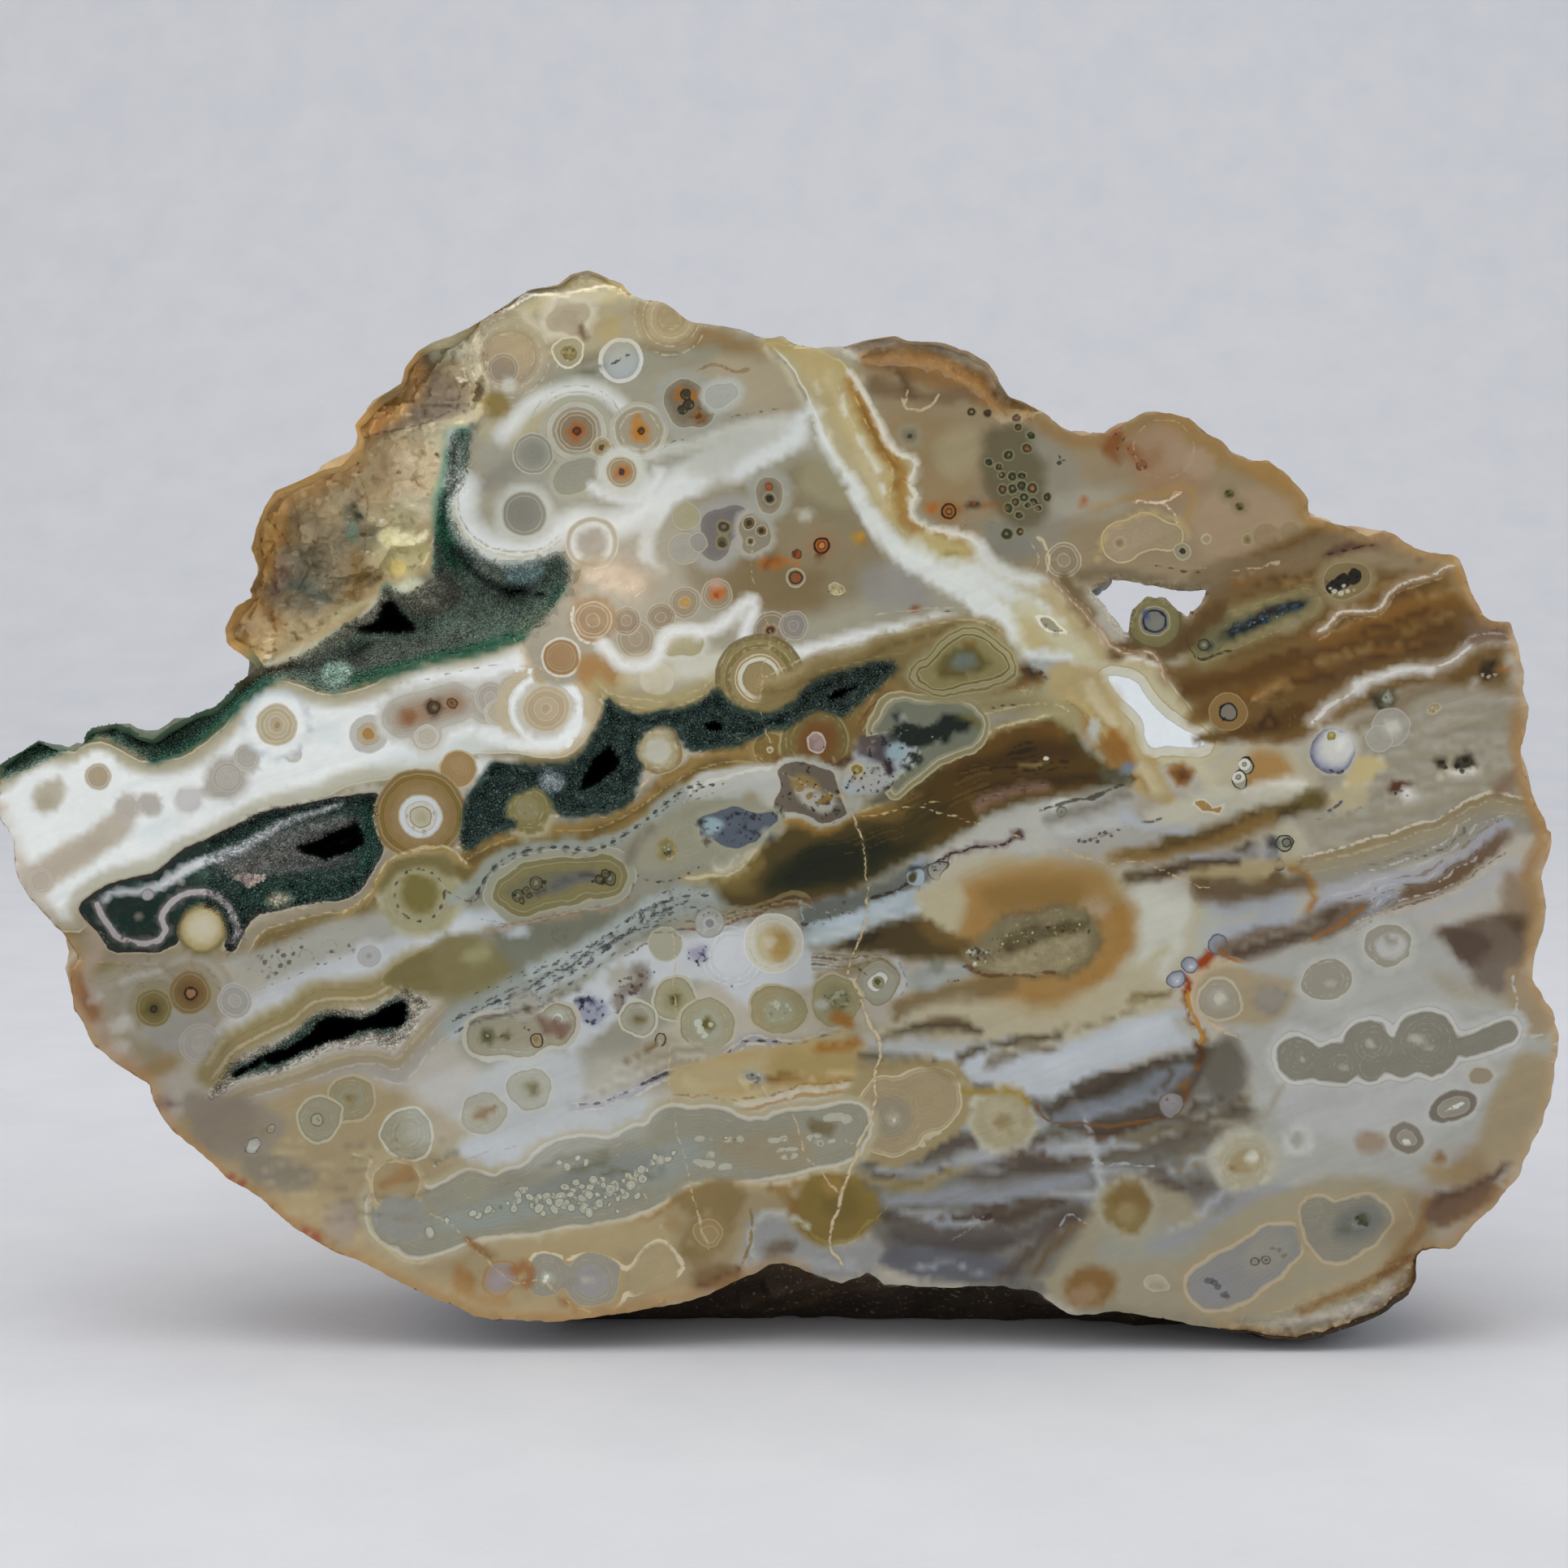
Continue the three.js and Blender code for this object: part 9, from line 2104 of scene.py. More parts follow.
CRK = [(1319, 1336), (1326, 1352), (1332, 1372), (1342, 1400), (1348, 1430), (1357, 1462)]
brush(CRK, [2, 2, 2.5, 3, 5, 5], (196, 200, 202), 2.5, 0.85, 2)
line([(1306, 1512), (1318, 1492), (1330, 1498), (1344, 1514), (1340, 1524)], (172, 174, 176), 1.6, 0.7, 2)
line([(1344, 1432), (1376, 1430), (1400, 1434), (1424, 1436)], (190, 194, 194), 1.8, 0.7, 2)
RL = [(1460, 1226), (1466, 1240), (1466, 1252), (1476, 1266), (1480, 1276), (1478, 1300), (1482, 1312), (1472, 1332), (1456, 1339)]
brush(RL, 2.6, (142, 98, 40), 2, 0.9, 2)
brush([(1478, 1290), (1484, 1300), (1478, 1312)], 4, (96, 60, 26), 2.5, 0.9)
wash([(1470, 1190), (1500, 1178), (1560, 1190), (1600, 1240), (1580, 1280), (1530, 1276), (1490, 1262), (1466, 1230)], (206, 180, 142), 9, 0.9)
fill(circ(1503, 1230, 24), (196, 172, 142), soft=1.6, line=(224, 208, 180), w=1.6, wob=2)
rings(1503, 1230, (19, 14), (210, 190, 164), 1.2, 0.7)
fill(circ(1503, 1230, 10), (214, 200, 182), soft=3)
line([(1494, 1236), (1504, 1230), (1514, 1224)], (232, 222, 206), 1.3, 0.7)
line([(1466, 1228), (1482, 1250), (1500, 1266), (1540, 1280), (1562, 1292)], (222, 196, 154), 1.5, 0.85, 2)
brush([(1456, 1206), (1464, 1208), (1466, 1218), (1462, 1222)], 5, (150, 66, 22), 2, 0.95, 2)
brush([(1480, 1186), (1490, 1178), (1502, 1174), (1512, 1172)], 5.5, (158, 70, 24), 2, 0.95, 2)
line([(1464, 1222), (1468, 1240), (1478, 1262), (1475, 1282)], (196, 140, 52), 2.4, 0.9, 2)
for x_, y_, r_ in ((1500, 1164, 13), (1467, 1190, 11), (1449, 1207, 12)):
    fill(circ(x_, y_, r_), (150, 156, 168), soft=1.4, line=(112, 110, 120), w=2.0, wob=2)
    fill(circ(x_ + 1, y_ + 1, r_ * 0.55), (186, 190, 196), soft=2.5)
    dots([(x_ + 2, y_ + 2)], (222, 224, 224), 2.0, 0.9)
line([(1282, 1360), (1284, 1374), (1297, 1384), (1330, 1386), (1352, 1386), (1390, 1384), (1428, 1378)], (134, 92, 44), 2.2, 0.85, 2)
wash([(1340, 1396), (1380, 1388), (1380, 1396), (1344, 1406)], (96, 66, 40), 3, 0.85)
fill(circ(1442, 1360, 17), (150, 146, 144), soft=1.4, line=(116, 96, 70), w=1.6, wob=2)
fill(circ(1441, 1359, 10), (162, 158, 158), soft=2.5)
dots([(1438, 1356), (1446, 1362)], (100, 70, 60), 2.0, 0.75)
brush([(1452, 1352), (1460, 1346)], 3, (122, 78, 34), 2, 0.9)
# amber dark lens top right with rust rim
GAIN = 1.105 * 0.95
wash([(1494, 1164), (1520, 1150), (1560, 1140), (1610, 1128), (1650, 1112), (1700, 1096), (1680, 1130), (1624, 1158), (1570, 1184), (1520, 1180)], (112, 98, 82), 6, 1.0)
fill(poly([(1512, 1170), (1548, 1160), (1600, 1146), (1640, 1122), (1660, 1110), (1640, 1140), (1600, 1164), (1560, 1186), (1530, 1184)], 1), (88, 74, 60), soft=3, wob=2)
line([(1500, 1170), (1516, 1182), (1548, 1188), (1580, 1180), (1612, 1164), (1650, 1140), (1680, 1118)], (148, 96, 40), 2.4, 0.85, 2)
brush([(1540, 1160), (1580, 1150), (1630, 1130)], 4, (140, 132, 118), 3, 0.7)
# lower right: white field with grey chain
wash([(1470, 1210), (1520, 1190), (1600, 1170), (1680, 1130), (1760, 1130), (1790, 1170), (1850, 1190), (1880, 1240), (1910, 1300), (1910, 1380), (1870, 1440), (1840, 1480), (1760, 1500), (1700, 1560), (1600, 1600), (1560, 1480), (1540, 1380), (1550, 1300), (1500, 1260)], (164, 164, 156), 10, 1.0)
wash([(1550, 1330), (1640, 1340), (1740, 1320), (1800, 1310), (1850, 1340), (1780, 1400), (1700, 1420), (1620, 1400), (1560, 1380)], (174, 175, 172), 9, 0.95)
wash([(1590, 1230), (1680, 1210), (1760, 1190), (1830, 1210), (1850, 1250), (1760, 1240), (1660, 1260)], (170, 170, 162), 8, 0.9)
wash([(1740, 1180), (1800, 1200), (1860, 1220), (1880, 1270), (1850, 1240), (1780, 1230)], (158, 152, 134), 8, 0.8)
wash([(1850, 1300), (1910, 1300), (1906, 1380), (1870, 1440), (1800, 1470), (1770, 1440), (1830, 1400)], (154, 140, 112), 9, 0.95)
wash([(1800, 1140), (1880, 1130), (1890, 1200), (1850, 1240), (1810, 1200)], (112, 100, 88), 7, 0.9)
wash([(1780, 1150), (1830, 1140), (1850, 1170), (1800, 1190)], (88, 74, 62), 6, 0.9)
wash([(1860, 1190), (1890, 1190), (1910, 1240), (1896, 1290), (1866, 1280), (1856, 1240)], (154, 136, 108), 6, 0.85)
line([(1862, 1200), (1868, 1240), (1860, 1270), (1880, 1282), (1904, 1276)], (188, 186, 178), 1.8, 0.7, 2)
# orbs on the tan ground below the rust
wash([(1480, 1200), (1520, 1190), (1560, 1204), (1600, 1214), (1596, 1250), (1560, 1270), (1500, 1262), (1476, 1236)], (158, 144, 116), 6, 0.95)
eyeorb(1503, 1231, 24, (152, 146, 128), (176, 168, 146), (150, 136, 110), (160, 156, 142), (190, 186, 170), n=1)
fill(oval(1569, 1232, 26, 20, -10), (138, 132, 118), soft=1.6, line=(158, 148, 124), w=1.6, wob=2)
fill(oval(1566, 1230, 18, 13, -10), (144, 138, 126), soft=3)
for x, y, r, w_ in ((1634, 1207, 33, 0.8), (1711, 1166, 30, 0.95)):
    fill(oval(x, y, r + 6, (r + 6) * w_, 12), (176, 176, 168), soft=2.0, wob=2)
    fill(oval(x, y, r, r * w_, 12), (148, 144, 130), soft=1.2, line=(184, 182, 170), w=1.6, wob=2)
    rim(oval(x, y, r - 7, (r - 7) * w_, 12), -0.7, 0.7, (180, 178, 166), a=0.7)
    rim(oval(x, y, r - 13, (r - 13) * w_, 12), -0.6, 0.6, (174, 170, 156), a=0.6)
    fill(oval(x + 3, y + 2, 8, 5, 20), (168, 168, 156), soft=1.6, wob=2)
fill(oval(1714, 1166, 19, 16, 10), (178, 178, 172), soft=3)
fill(oval(1712, 1160, 8, 6, 0), (148, 144, 132), soft=2)
# grey chain
CHN = [circ(1599, 1302, 28), circ(1630, 1312, 20), circ(1652, 1311, 24), circ(1690, 1288, 31), circ(1690, 1312, 24), circ(1759, 1285, 39), circ(1724, 1302, 26), caps(1806, 1287, 1856, 1272, 14)]
chn = union(*CHN, k=7)
fill(grow(chn, 12), (178, 178, 174), soft=2.5, wob=2)
fill(grow(chn, 6), (188, 188, 182), soft=1.4, line=(164, 162, 152), w=1.2, wob=2)
fill(chn, (131, 128, 116), soft=1.0, line=(154, 150, 138), w=1.5, wob=2, fine=(4.0, 0.03))
for x, y, rs in ((1599, 1302, (20, 14, 9)), (1652, 1313, (15, 9)), (1692, 1287, (23, 17, 11, 6)), (1757, 1284, (31, 24, 17, 10)), (1690, 1314, (16,))):
    rings(x, y, rs, (150, 146, 132), 1.2, 0.75)
for x, y, a_, b_ in ((1600, 1303, 7, 4), (1652, 1313, 5, 3), (1692, 1284, 7, 5), (1745, 1281, 8, 6), (1756, 1292, 8, 3)):
    fill(oval(x, y, a_, b_, -20), (166, 164, 148), soft=1.8, wob=2)
fill(oval(1822, 1324, 19, 16, 20), (176, 174, 164), soft=1.6, wob=2)
fill(oval(1823, 1324, 15, 13, 20), (146, 136, 116), soft=1.2, line=(168, 162, 144), w=1.3, wob=2)
fill(oval(1790, 1364, 36, 25, 12), (180, 180, 174), soft=1.8, wob=2)
fill(oval(1790, 1364, 31, 21, 12), (118, 112, 102), soft=1.2, line=(142, 138, 126), w=1.6, wob=2)
fill(oval(1790, 1365, 22, 14, 12), (144, 140, 128), soft=1.2, line=(160, 156, 142), w=1.2, wob=2)
fill(poly([(1776, 1370), (1790, 1363), (1806, 1358), (1800, 1366), (1784, 1371)], 1), (206, 206, 198), soft=1.2, wob=2)
fill(circ(1735, 1405, 25), (176, 174, 166), soft=1.8, wob=2)
fill(circ(1735, 1405, 21), (126, 120, 108), soft=1.2, line=(150, 144, 130), w=1.4, wob=2)
fill(circ(1735, 1405, 12), (148, 144, 132), soft=1.4, line=(162, 158, 146), w=1.1, wob=2)
fill(oval(1733, 1407, 6, 4, -20), (204, 204, 194), soft=1.2)
fill(oval(1688, 1407, 19, 14, 0), (150, 134, 116), soft=4)
fill(oval(1772, 1427, 10, 8, 0), (140, 114, 80), soft=2.5)
wash([(1740, 1430), (1790, 1440), (1820, 1430), (1800, 1460), (1750, 1460)], (160, 144, 108), 6, 0.8)
# pale orbs on the left of this field
fill(circ(1534, 1433, 44), (170, 168, 152), soft=5, wob=2)
fill(circ(1534, 1433, 34), (166, 160, 136), soft=1.6, line=(184, 180, 162), w=1.8, wob=2)
fill(oval(1536, 1430, 20, 15, 15), (156, 142, 108), soft=4)
fill(oval(1543, 1428, 9, 8, 0), (198, 196, 182), soft=2.0, wob=2)
fill(oval(1520, 1438, 6, 4, 20), (140, 108, 68), soft=2.5)
rings(1534, 1433, (27, 21), (182, 176, 156), 1.1, 0.6)
fill(circ(1599, 1405, 20), (184, 184, 178), soft=3)
fill(circ(1598, 1404, 10), (156, 156, 144), soft=2.5)
brush([(1490, 1380), (1520, 1390), (1560, 1370), (1580, 1340)], 5, (150, 144, 124), 4, 0.7)
# golden orb and the cream ground of the bottom
GAIN = 1.105 * 0.90
wash([(1350, 1470), (1420, 1450), (1460, 1470), (1480, 1500), (1560, 1480), (1640, 1440), (1720, 1450), (1770, 1490), (1750, 1550), (1680, 1590), (1600, 1620), (1500, 1640), (1420, 1640), (1320, 1620), (1290, 1580), (1320, 1540)], (160, 152, 128), 8, 1.0)
wash([(1360, 1500), (1420, 1490), (1460, 1520), (1500, 1510), (1480, 1550), (1400, 1560), (1350, 1550)], (156, 156, 142), 7, 0.9)
brush([(1430, 1530), (1470, 1520), (1520, 1490), (1580, 1466)], 8, (150, 152, 154), 6, 0.85)
brush([(1440, 1516), (1460, 1500), (1500, 1480)], 3, (182, 186, 190), 2.5, 0.7)
fill(circ(1389, 1486, 42), (166, 160, 138), soft=4, wob=2)
fill(circ(1390, 1486, 32), (136, 118, 76), soft=2.5, line=(150, 136, 100), w=1.6, wob=2)
fill(oval(1392, 1478, 24, 16, 0), (128, 106, 62), soft=4)
fill(circ(1390, 1494, 14), (150, 134, 94), soft=4)
fill(oval(1342, 1586, 34, 25, 20), (134, 104, 60), soft=4.5)
fill(oval(1336, 1596, 20, 12, 20), (156, 130, 98), soft=4)
fill(oval(1425, 1584, 17, 11, -10), (176, 170, 148), soft=1.4, line=(188, 182, 160), w=1.4, wob=2)
fill(oval(1425, 1584, 10, 6, -10), (160, 152, 126), soft=1.8)
wash([(1280, 1560), (1310, 1570), (1320, 1610), (1296, 1600)], (160, 150, 122), 5, 0.85)
LBR = [(1468, 1600), (1462, 1580), (1476, 1560), (1500, 1546), (1524, 1536), (1548, 1520), (1570, 1508), (1596, 1512), (1606, 1530), (1600, 1552), (1584, 1570), (1562, 1580), (1540, 1598), (1516, 1612), (1490, 1616)]
lbr = poly(LBR, 1)
fill(grow(lbr, 9), (166, 152, 122), soft=2.0, wob=2)
fill(grow(lbr, 4), (184, 170, 142), soft=1.2, wob=2)
fill(lbr, (144, 142, 136), soft=1.0, line=(166, 156, 136), w=1.8, wob=2, fine=(4.2, 0.03))
fill(oval(1560, 1545, 32, 22, 35), (150, 148, 136), soft=5)
fill(oval(1498, 1585, 24, 18, 20), (142, 142, 142), soft=5)
for x, y in ((1547, 1555), (1561, 1554)):
    fill(circ(x, y, 6.5), (140, 140, 124), soft=0.9, line=(84, 84, 66), w=1.4, wob=2)
    fill(circ(x, y, 2.6), (120, 118, 98), soft=0.9, line=(90, 88, 70), w=0.9, wob=2)
dots([(1496, 1581), (1500, 1586), (1508, 1595), (1490, 1578), (1512, 1598)], (86, 82, 74), 4.0, 0.7)
dots([(1576, 1540), (1569, 1538), (1582, 1546)], (112, 106, 88), 3.2, 0.6)
R2 = [(1606, 1530), (1600, 1504), (1598, 1484), (1612, 1472), (1630, 1476), (1640, 1486), (1662, 1478), (1690, 1474), (1712, 1488), (1716, 1508), (1700, 1528), (1676, 1546), (1650, 1554), (1624, 1550)]
r2 = poly(R2, 1)
fill(grow(r2, 8), (166, 152, 122), soft=2.0, wob=2)
fill(grow(r2, 3), (182, 168, 140), soft=1.2, wob=2)
fill(r2, (142, 138, 122), soft=1.0, line=(164, 154, 130), w=1.6, wob=2, fine=(4.2, 0.03))
rings(1615, 1490, (15, 10, 6), (160, 150, 126), 1.2, 0.8)
fill(oval(1672, 1508, 34, 22, 25), (126, 126, 116), soft=4)
fill(oval(1671, 1508, 22, 13, 25), (116, 118, 110), soft=3)
fill(oval(1678, 1503, 9, 6, 10), (78, 80, 58), soft=2.0, wob=2)
dots([(1672, 1500), (1682, 1508), (1676, 1506)], (58, 60, 40), 3.0, 0.8)
fill(oval(1657, 1516, 8, 5, 0), (104, 104, 92), soft=2.5)
ARC = [(1720, 1470), (1736, 1500), (1726, 1534), (1700, 1560), (1660, 1580), (1610, 1596), (1560, 1612)]
brush(ARC, 7, (170, 156, 124), 5, 0.85, 2)
line([(x + 6, y + 5) for x, y in ARC], (186, 172, 138), 1.4, 0.7, 2)
brush([(1760, 1480), (1742, 1530), (1700, 1572), (1650, 1596), (1600, 1616)], 6, (146, 116, 74), 5, 0.9, 2)
brush([(1700, 1566), (1730, 1548), (1760, 1530)], 4, (122, 88, 50), 3, 0.85)
wash([(1748, 1486), (1790, 1472), (1850, 1450), (1860, 1470), (1810, 1500), (1770, 1512)], (112, 94, 80), 5, 0.95)
brush([(1770, 1480), (1810, 1466), (1850, 1446), (1866, 1430)], 5, (88, 70, 58), 4, 0.85)
brush([(1786, 1500), (1830, 1480), (1866, 1450)], 4, (140, 112, 78), 4, 0.8)
wash([(1720, 1570), (1760, 1540), (1810, 1516), (1830, 1500), (1820, 1530), (1760, 1570), (1720, 1600)], (168, 158, 134), 5, 0.9)
brush([(1460, 1622), (1540, 1636), (1620, 1640), (1700, 1616)], 7, (156, 146, 124), 5, 0.9)
# ------------------------------------------------------------------ big cream orbs left of the streaks
GAIN = 1.105 * 0.93
fill(circ(1098, 1372, 66), (158, 146, 112), soft=4, wob=2)
o1 = union(circ(1098, 1376, 46), circ(1146, 1356, 38), k=16)
fill(grow(o1, 17), (154, 140, 104), soft=2.0, wob=2)
line([(1158, 1398), (1148, 1402), (1138, 1412), (1120, 1420), (1098, 1420), (1080, 1414)], (190, 182, 156), 2.6, 0.85, 2)
fill(grow(o1, 4), (166, 152, 120), soft=1.2, line=(190, 178, 148), w=2.0, wob=2)
fill(o1, (158, 144, 114), soft=1.0, line=(172, 158, 126), w=1.4, wob=2, fine=(4.6, 0.03))
fill(circ(1140, 1356, 25), (160, 146, 114), soft=3)
rings(1098, 1376, (36, 29), (170, 156, 126), 1.2, 0.6)
fill(circ(1100, 1376, 26), (146, 138, 116), soft=3)
fill(circ(1101, 1377, 9), (168, 160, 140), soft=3)
dots([(1102, 1379)], (206, 202, 186), 2.6, 0.9)
brush([(1160, 1310), (1184, 1332), (1192, 1348), (1208, 1352)], 2.5, (180, 172, 146), 2, 0.8)
fill(circ(1237, 1378, 42), (176, 172, 152), soft=1.8, line=(190, 188, 170), w=1.6, wob=2)
fill(circ(1237, 1378, 34), (164, 156, 126), soft=1.6, wob=2)
fill(circ(1238, 1378, 23), (172, 164, 136), soft=1.8, line=(152, 142, 110), w=1.1, wob=2)
fill(oval(1234, 1382, 12, 9, 0), (150, 134, 98), soft=3)
brush([(1190, 1346), (1206, 1350), (1222, 1346), (1244, 1344), (1262, 1350), (1274, 1362)], 2.6, (150, 124, 46), 2, 0.85, 2)
brush([(1066, 1440), (1090, 1456), (1140, 1460), (1180, 1440)], 6, (150, 138, 104), 5, 0.85)
brush([(1090, 1466), (1130, 1456), (1170, 1440)], 2.6, (128, 116, 66), 2.4, 0.75)
brush([(1060, 1316), (1100, 1306), (1140, 1306), (1170, 1318)], 5, (144, 128, 92), 4, 0.8)
brush([(1060, 1300), (1110, 1296), (1150, 1300)], 3, (96, 84, 62), 3, 0.8)
brush([(1060, 1270), (1100, 1262), (1130, 1252)], 5, (168, 164, 142), 4, 0.8)
GAIN = 1.105
# ------------------------------------------------------------------ bottom left and centre: ochre ground
wash([(200, 1370), (280, 1372), (360, 1340), (440, 1330), (520, 1350), (580, 1400), (640, 1440), (800, 1490), (900, 1456), (1000, 1446), (1060, 1440), (1080, 1500), (1040, 1540), (960, 1520), (930, 1500), (920, 1560), (840, 1600), (740, 1630), (600, 1630), (500, 1600), (400, 1550), (300, 1480), (230, 1430)], (150, 136, 106), 9, 1.0)
wash([(556, 1410), (620, 1400), (700, 1396), (780, 1376), (820, 1350), (860, 1360), (780, 1400), (700, 1420), (640, 1440), (590, 1450)], (170, 174, 174), 6, 0.98)
wash([(210, 1340), (260, 1350), (320, 1350), (360, 1380), (340, 1430), (270, 1430), (230, 1400)], (134, 126, 112), 7, 0.95)
wash([(300, 1420), (360, 1430), (400, 1460), (370, 1480), (310, 1460)], (124, 118, 104), 6, 0.85)
wash([(430, 1410), (480, 1400), (500, 1430), (470, 1460), (430, 1450)], (158, 146, 114), 6, 0.9)
# grey mass with pearls
GMS = [(460, 1470), (480, 1452), (512, 1452), (531, 1467), (544, 1460), (561, 1446), (586, 1442), (609, 1451), (622, 1443), (648, 1439), (665, 1417), (700, 1404), (726, 1402), (752, 1408), (774, 1393), (800, 1387), (804, 1369), (822, 1360), (842, 1364), (874, 1366), (900, 1372), (930, 1382), (960, 1370), (995, 1366), (1047, 1357), (1074, 1374), (1070, 1412), (1047, 1430), (1004, 1439), (960, 1449), (917, 1451), (874, 1459), (850, 1466), (830, 1478), (809, 1486), (761, 1502), (709, 1508), (665, 1517), (631, 1518), (592, 1524), (561, 1534), (530, 1546), (512, 1546), (490, 1538), (470, 1530), (456, 1508), (454, 1484)]
gm = poly(GMS, 1)
fill(grow(gm, 11), (160, 152, 126), soft=3.0, wob=2)
fill(grow(gm, 5), (178, 174, 158), soft=1.4, line=(166, 154, 124), w=1.4, wob=2)
fill(gm, (136, 134, 118), soft=1.0, line=(158, 156, 142), w=1.6, wob=2, fine=(4.2, 0.03))
rim(grow(gm, -8), -0.8, 0.8, (152, 150, 132), a=0.6)
rim(grow(gm, -15), -0.8, 0.8, (124, 124, 110), a=0.6)
wash([(530, 1490), (600, 1476), (680, 1450), (780, 1420), (850, 1400), (870, 1430), (800, 1470), (700, 1496), (600, 1506), (530, 1520)], (134, 140, 132), 6, 0.9)
fill(oval(486, 1500, 28, 26, 0), (136, 140, 134), soft=5)
fill(oval(496, 1504, 14, 12, 0), (126, 130, 126), soft=4)
wash([(640, 1470), (700, 1430), (760, 1426), (830, 1410), (800, 1460), (740, 1480), (660, 1490)], (122, 126, 118), 5, 0.8)
brush([(660, 1430), (690, 1424), (720, 1420), (750, 1424)], 4, (108, 106, 88), 3.5, 0.8)
brush([(700, 1438), (730, 1434), (760, 1428)], 3, (104, 102, 84), 2.5, 0.75)
brush([(740, 1450), (770, 1444), (800, 1452), (820, 1446)], 3, (98, 98, 82), 2.5, 0.7)
wash([(880, 1400), (950, 1396), (1000, 1402), (1000, 1440), (920, 1446), (880, 1430)], (140, 130, 106), 5, 0.8)
PRL = [(495, 430), (530, 445), (480, 380), (560, 400), (610, 385), (615, 410), (635, 410), (680, 398), (715, 385), (735, 362), (685, 362), (660, 375), (775, 335), (795, 345), (798, 395), (765, 388), (678, 435), (745, 438), (440, 440), (872, 300), (892, 300), (800, 330), (540, 400), (520, 400), (470, 385), (650, 390), (700, 345), (720, 375), (455, 400), (400, 440), (345, 455), (205, 500), (262, 465), (380, 450), (580, 405), (600, 400), (508, 412), (635, 372), (745, 400), (722, 418), (640, 436), (560, 436), (590, 430), (455, 418), (545, 415), (575, 420), (605, 440), (660, 400), (690, 420), (705, 400), (735, 385), (755, 375), (780, 360), (760, 350), (815, 350), (830, 325), (850, 310), (700, 365), (670, 350), (620, 360), (590, 375), (490, 405), (515, 432), (625, 425), (655, 445), (420, 425), (365, 445), (330, 450), (850, 290), (905, 285), (815, 320), (575, 300), (600, 310), (625, 290), (650, 300)]
for q, (u, v) in enumerate(PRL):
    x, y = 440 + u / 2.306, 1300 + v / 2.306
    r = 4.0 + 1.6 * float(hash3(q, 2, 3, 5)) if q != 31 else 6.5
    fill(circ(x, y, r + 1.2), (116, 116, 102), soft=1.4, wob=2)
    fill(circ(x, y, r), (160, 160, 144), soft=1.0, line=(176, 176, 160), w=1.1, wob=2)
    fill(circ(x, y, r * 0.35), (190, 190, 174) if q % 3 else (120, 122, 108), soft=0.9, wob=2)
for u, v, a_, b_ in ((985, 300, 30, 12), (1040, 310, 22, 10), (1000, 275, 18, 8), (870, 300, 12, 14), (1060, 240, 14, 10), (1085, 238, 10, 9), (1020, 232, 20, 8), (980, 236, 18, 6), (1210, 228, 14, 10), (1180, 236, 22, 7), (1225, 285, 26, 10), (1230, 262, 20, 8), (1315, 248, 12, 10), (1350, 180, 30, 14), (1385, 182, 16, 14), (1310, 226, 14, 8), (1285, 226, 12, 8), (1200, 262, 18, 6), (1355, 250, 14, 6)):
    fill(oval(440 + u / 2.306, 1300 + v / 2.306, a_ / 2.306, b_ / 2.306, 5), (166, 166, 150), soft=1.4, a=0.85, wob=2)
for u, v in ((1070, 240), (1210, 230), (1315, 248), (1050, 236)):
    fill(circ(440 + u / 2.306, 1300 + v / 2.306, 3.2), (184, 184, 166), soft=0.9, line=(112, 110, 90), w=0.9, wob=2)
brush([(1000, 1386), (1016, 1388), (1030, 1390)], 5, (110, 100, 74), 3, 0.85)
brush([(1000, 1392), (1020, 1396)], 4, (104, 94, 68), 2.5, 0.8)
fill(circ(1098 - 4, 1376, 2), (190, 184, 166), soft=1)
# lines under the mass
UL = [(592, 1527), (631, 1520), (652, 1518), (665, 1524), (709, 1514), (744, 1513), (765, 1501), (800, 1496), (817, 1485), (839, 1470), (856, 1458), (908, 1453), (952, 1461), (986, 1451), (1004, 1447), (1030, 1440)]
brush(UL, 3, (184, 174, 148), 2.5, 0.85, 2)
brush([(x, y + 7) for x, y in UL[5:14]], 4, (142, 112, 66), 3.5, 0.85, 2)
wash([(826, 1480), (860, 1460), (912, 1460), (924, 1490), (900, 1540), (860, 1560), (836, 1540), (860, 1510)], (130, 112, 74), 6, 0.95)
wash([(600, 1532), (700, 1520), (800, 1504), (840, 1500), (840, 1540), (760, 1550), (700, 1540), (620, 1552)], (158, 144, 110), 6, 0.95)
wash([(860, 1560), (900, 1550), (930, 1560), (900, 1590), (850, 1596)], (118, 96, 62), 5, 0.9)
brush([(856, 1590), (884, 1576), (920, 1558)], 4, (98, 70, 42), 3, 0.85)
# amber lobe and the white chips left of it
wash([(990, 1464), (1010, 1446), (1050, 1440), (1074, 1450), (1080, 1490), (1070, 1520), (1030, 1534), (1000, 1520), (984, 1500)], (122, 104, 54), 5, 1.0)
fill(oval(1036, 1480, 22, 26, 0), (112, 96, 48), soft=5)
fill(oval(1026, 1462, 14, 12, 0), (136, 112, 64), soft=4)
line([(984, 1500), (1000, 1522), (1030, 1532), (1056, 1522), (1076, 1500), (1090, 1488)], (142, 128, 62), 2.0, 0.8, 2)
wash([(926, 1500), (960, 1494), (980, 1498), (1000, 1526), (1040, 1540), (1080, 1530), (1090, 1560), (1060, 1580), (1000, 1570), (960, 1556), (930, 1556)], (142, 144, 142), 5, 1.0)
wash([(946, 1530), (970, 1518), (990, 1524), (976, 1540), (950, 1546)], (104, 92, 76), 4, 0.9)
brush([(930, 1556), (924, 1530), (932, 1500), (946, 1494), (976, 1494), (990, 1510)], 3, (178, 178, 168), 2.4, 0.85, 2)
line([(912, 1556), (922, 1540), (930, 1514), (926, 1492)], (128, 104, 46), 2.0, 0.8, 2)
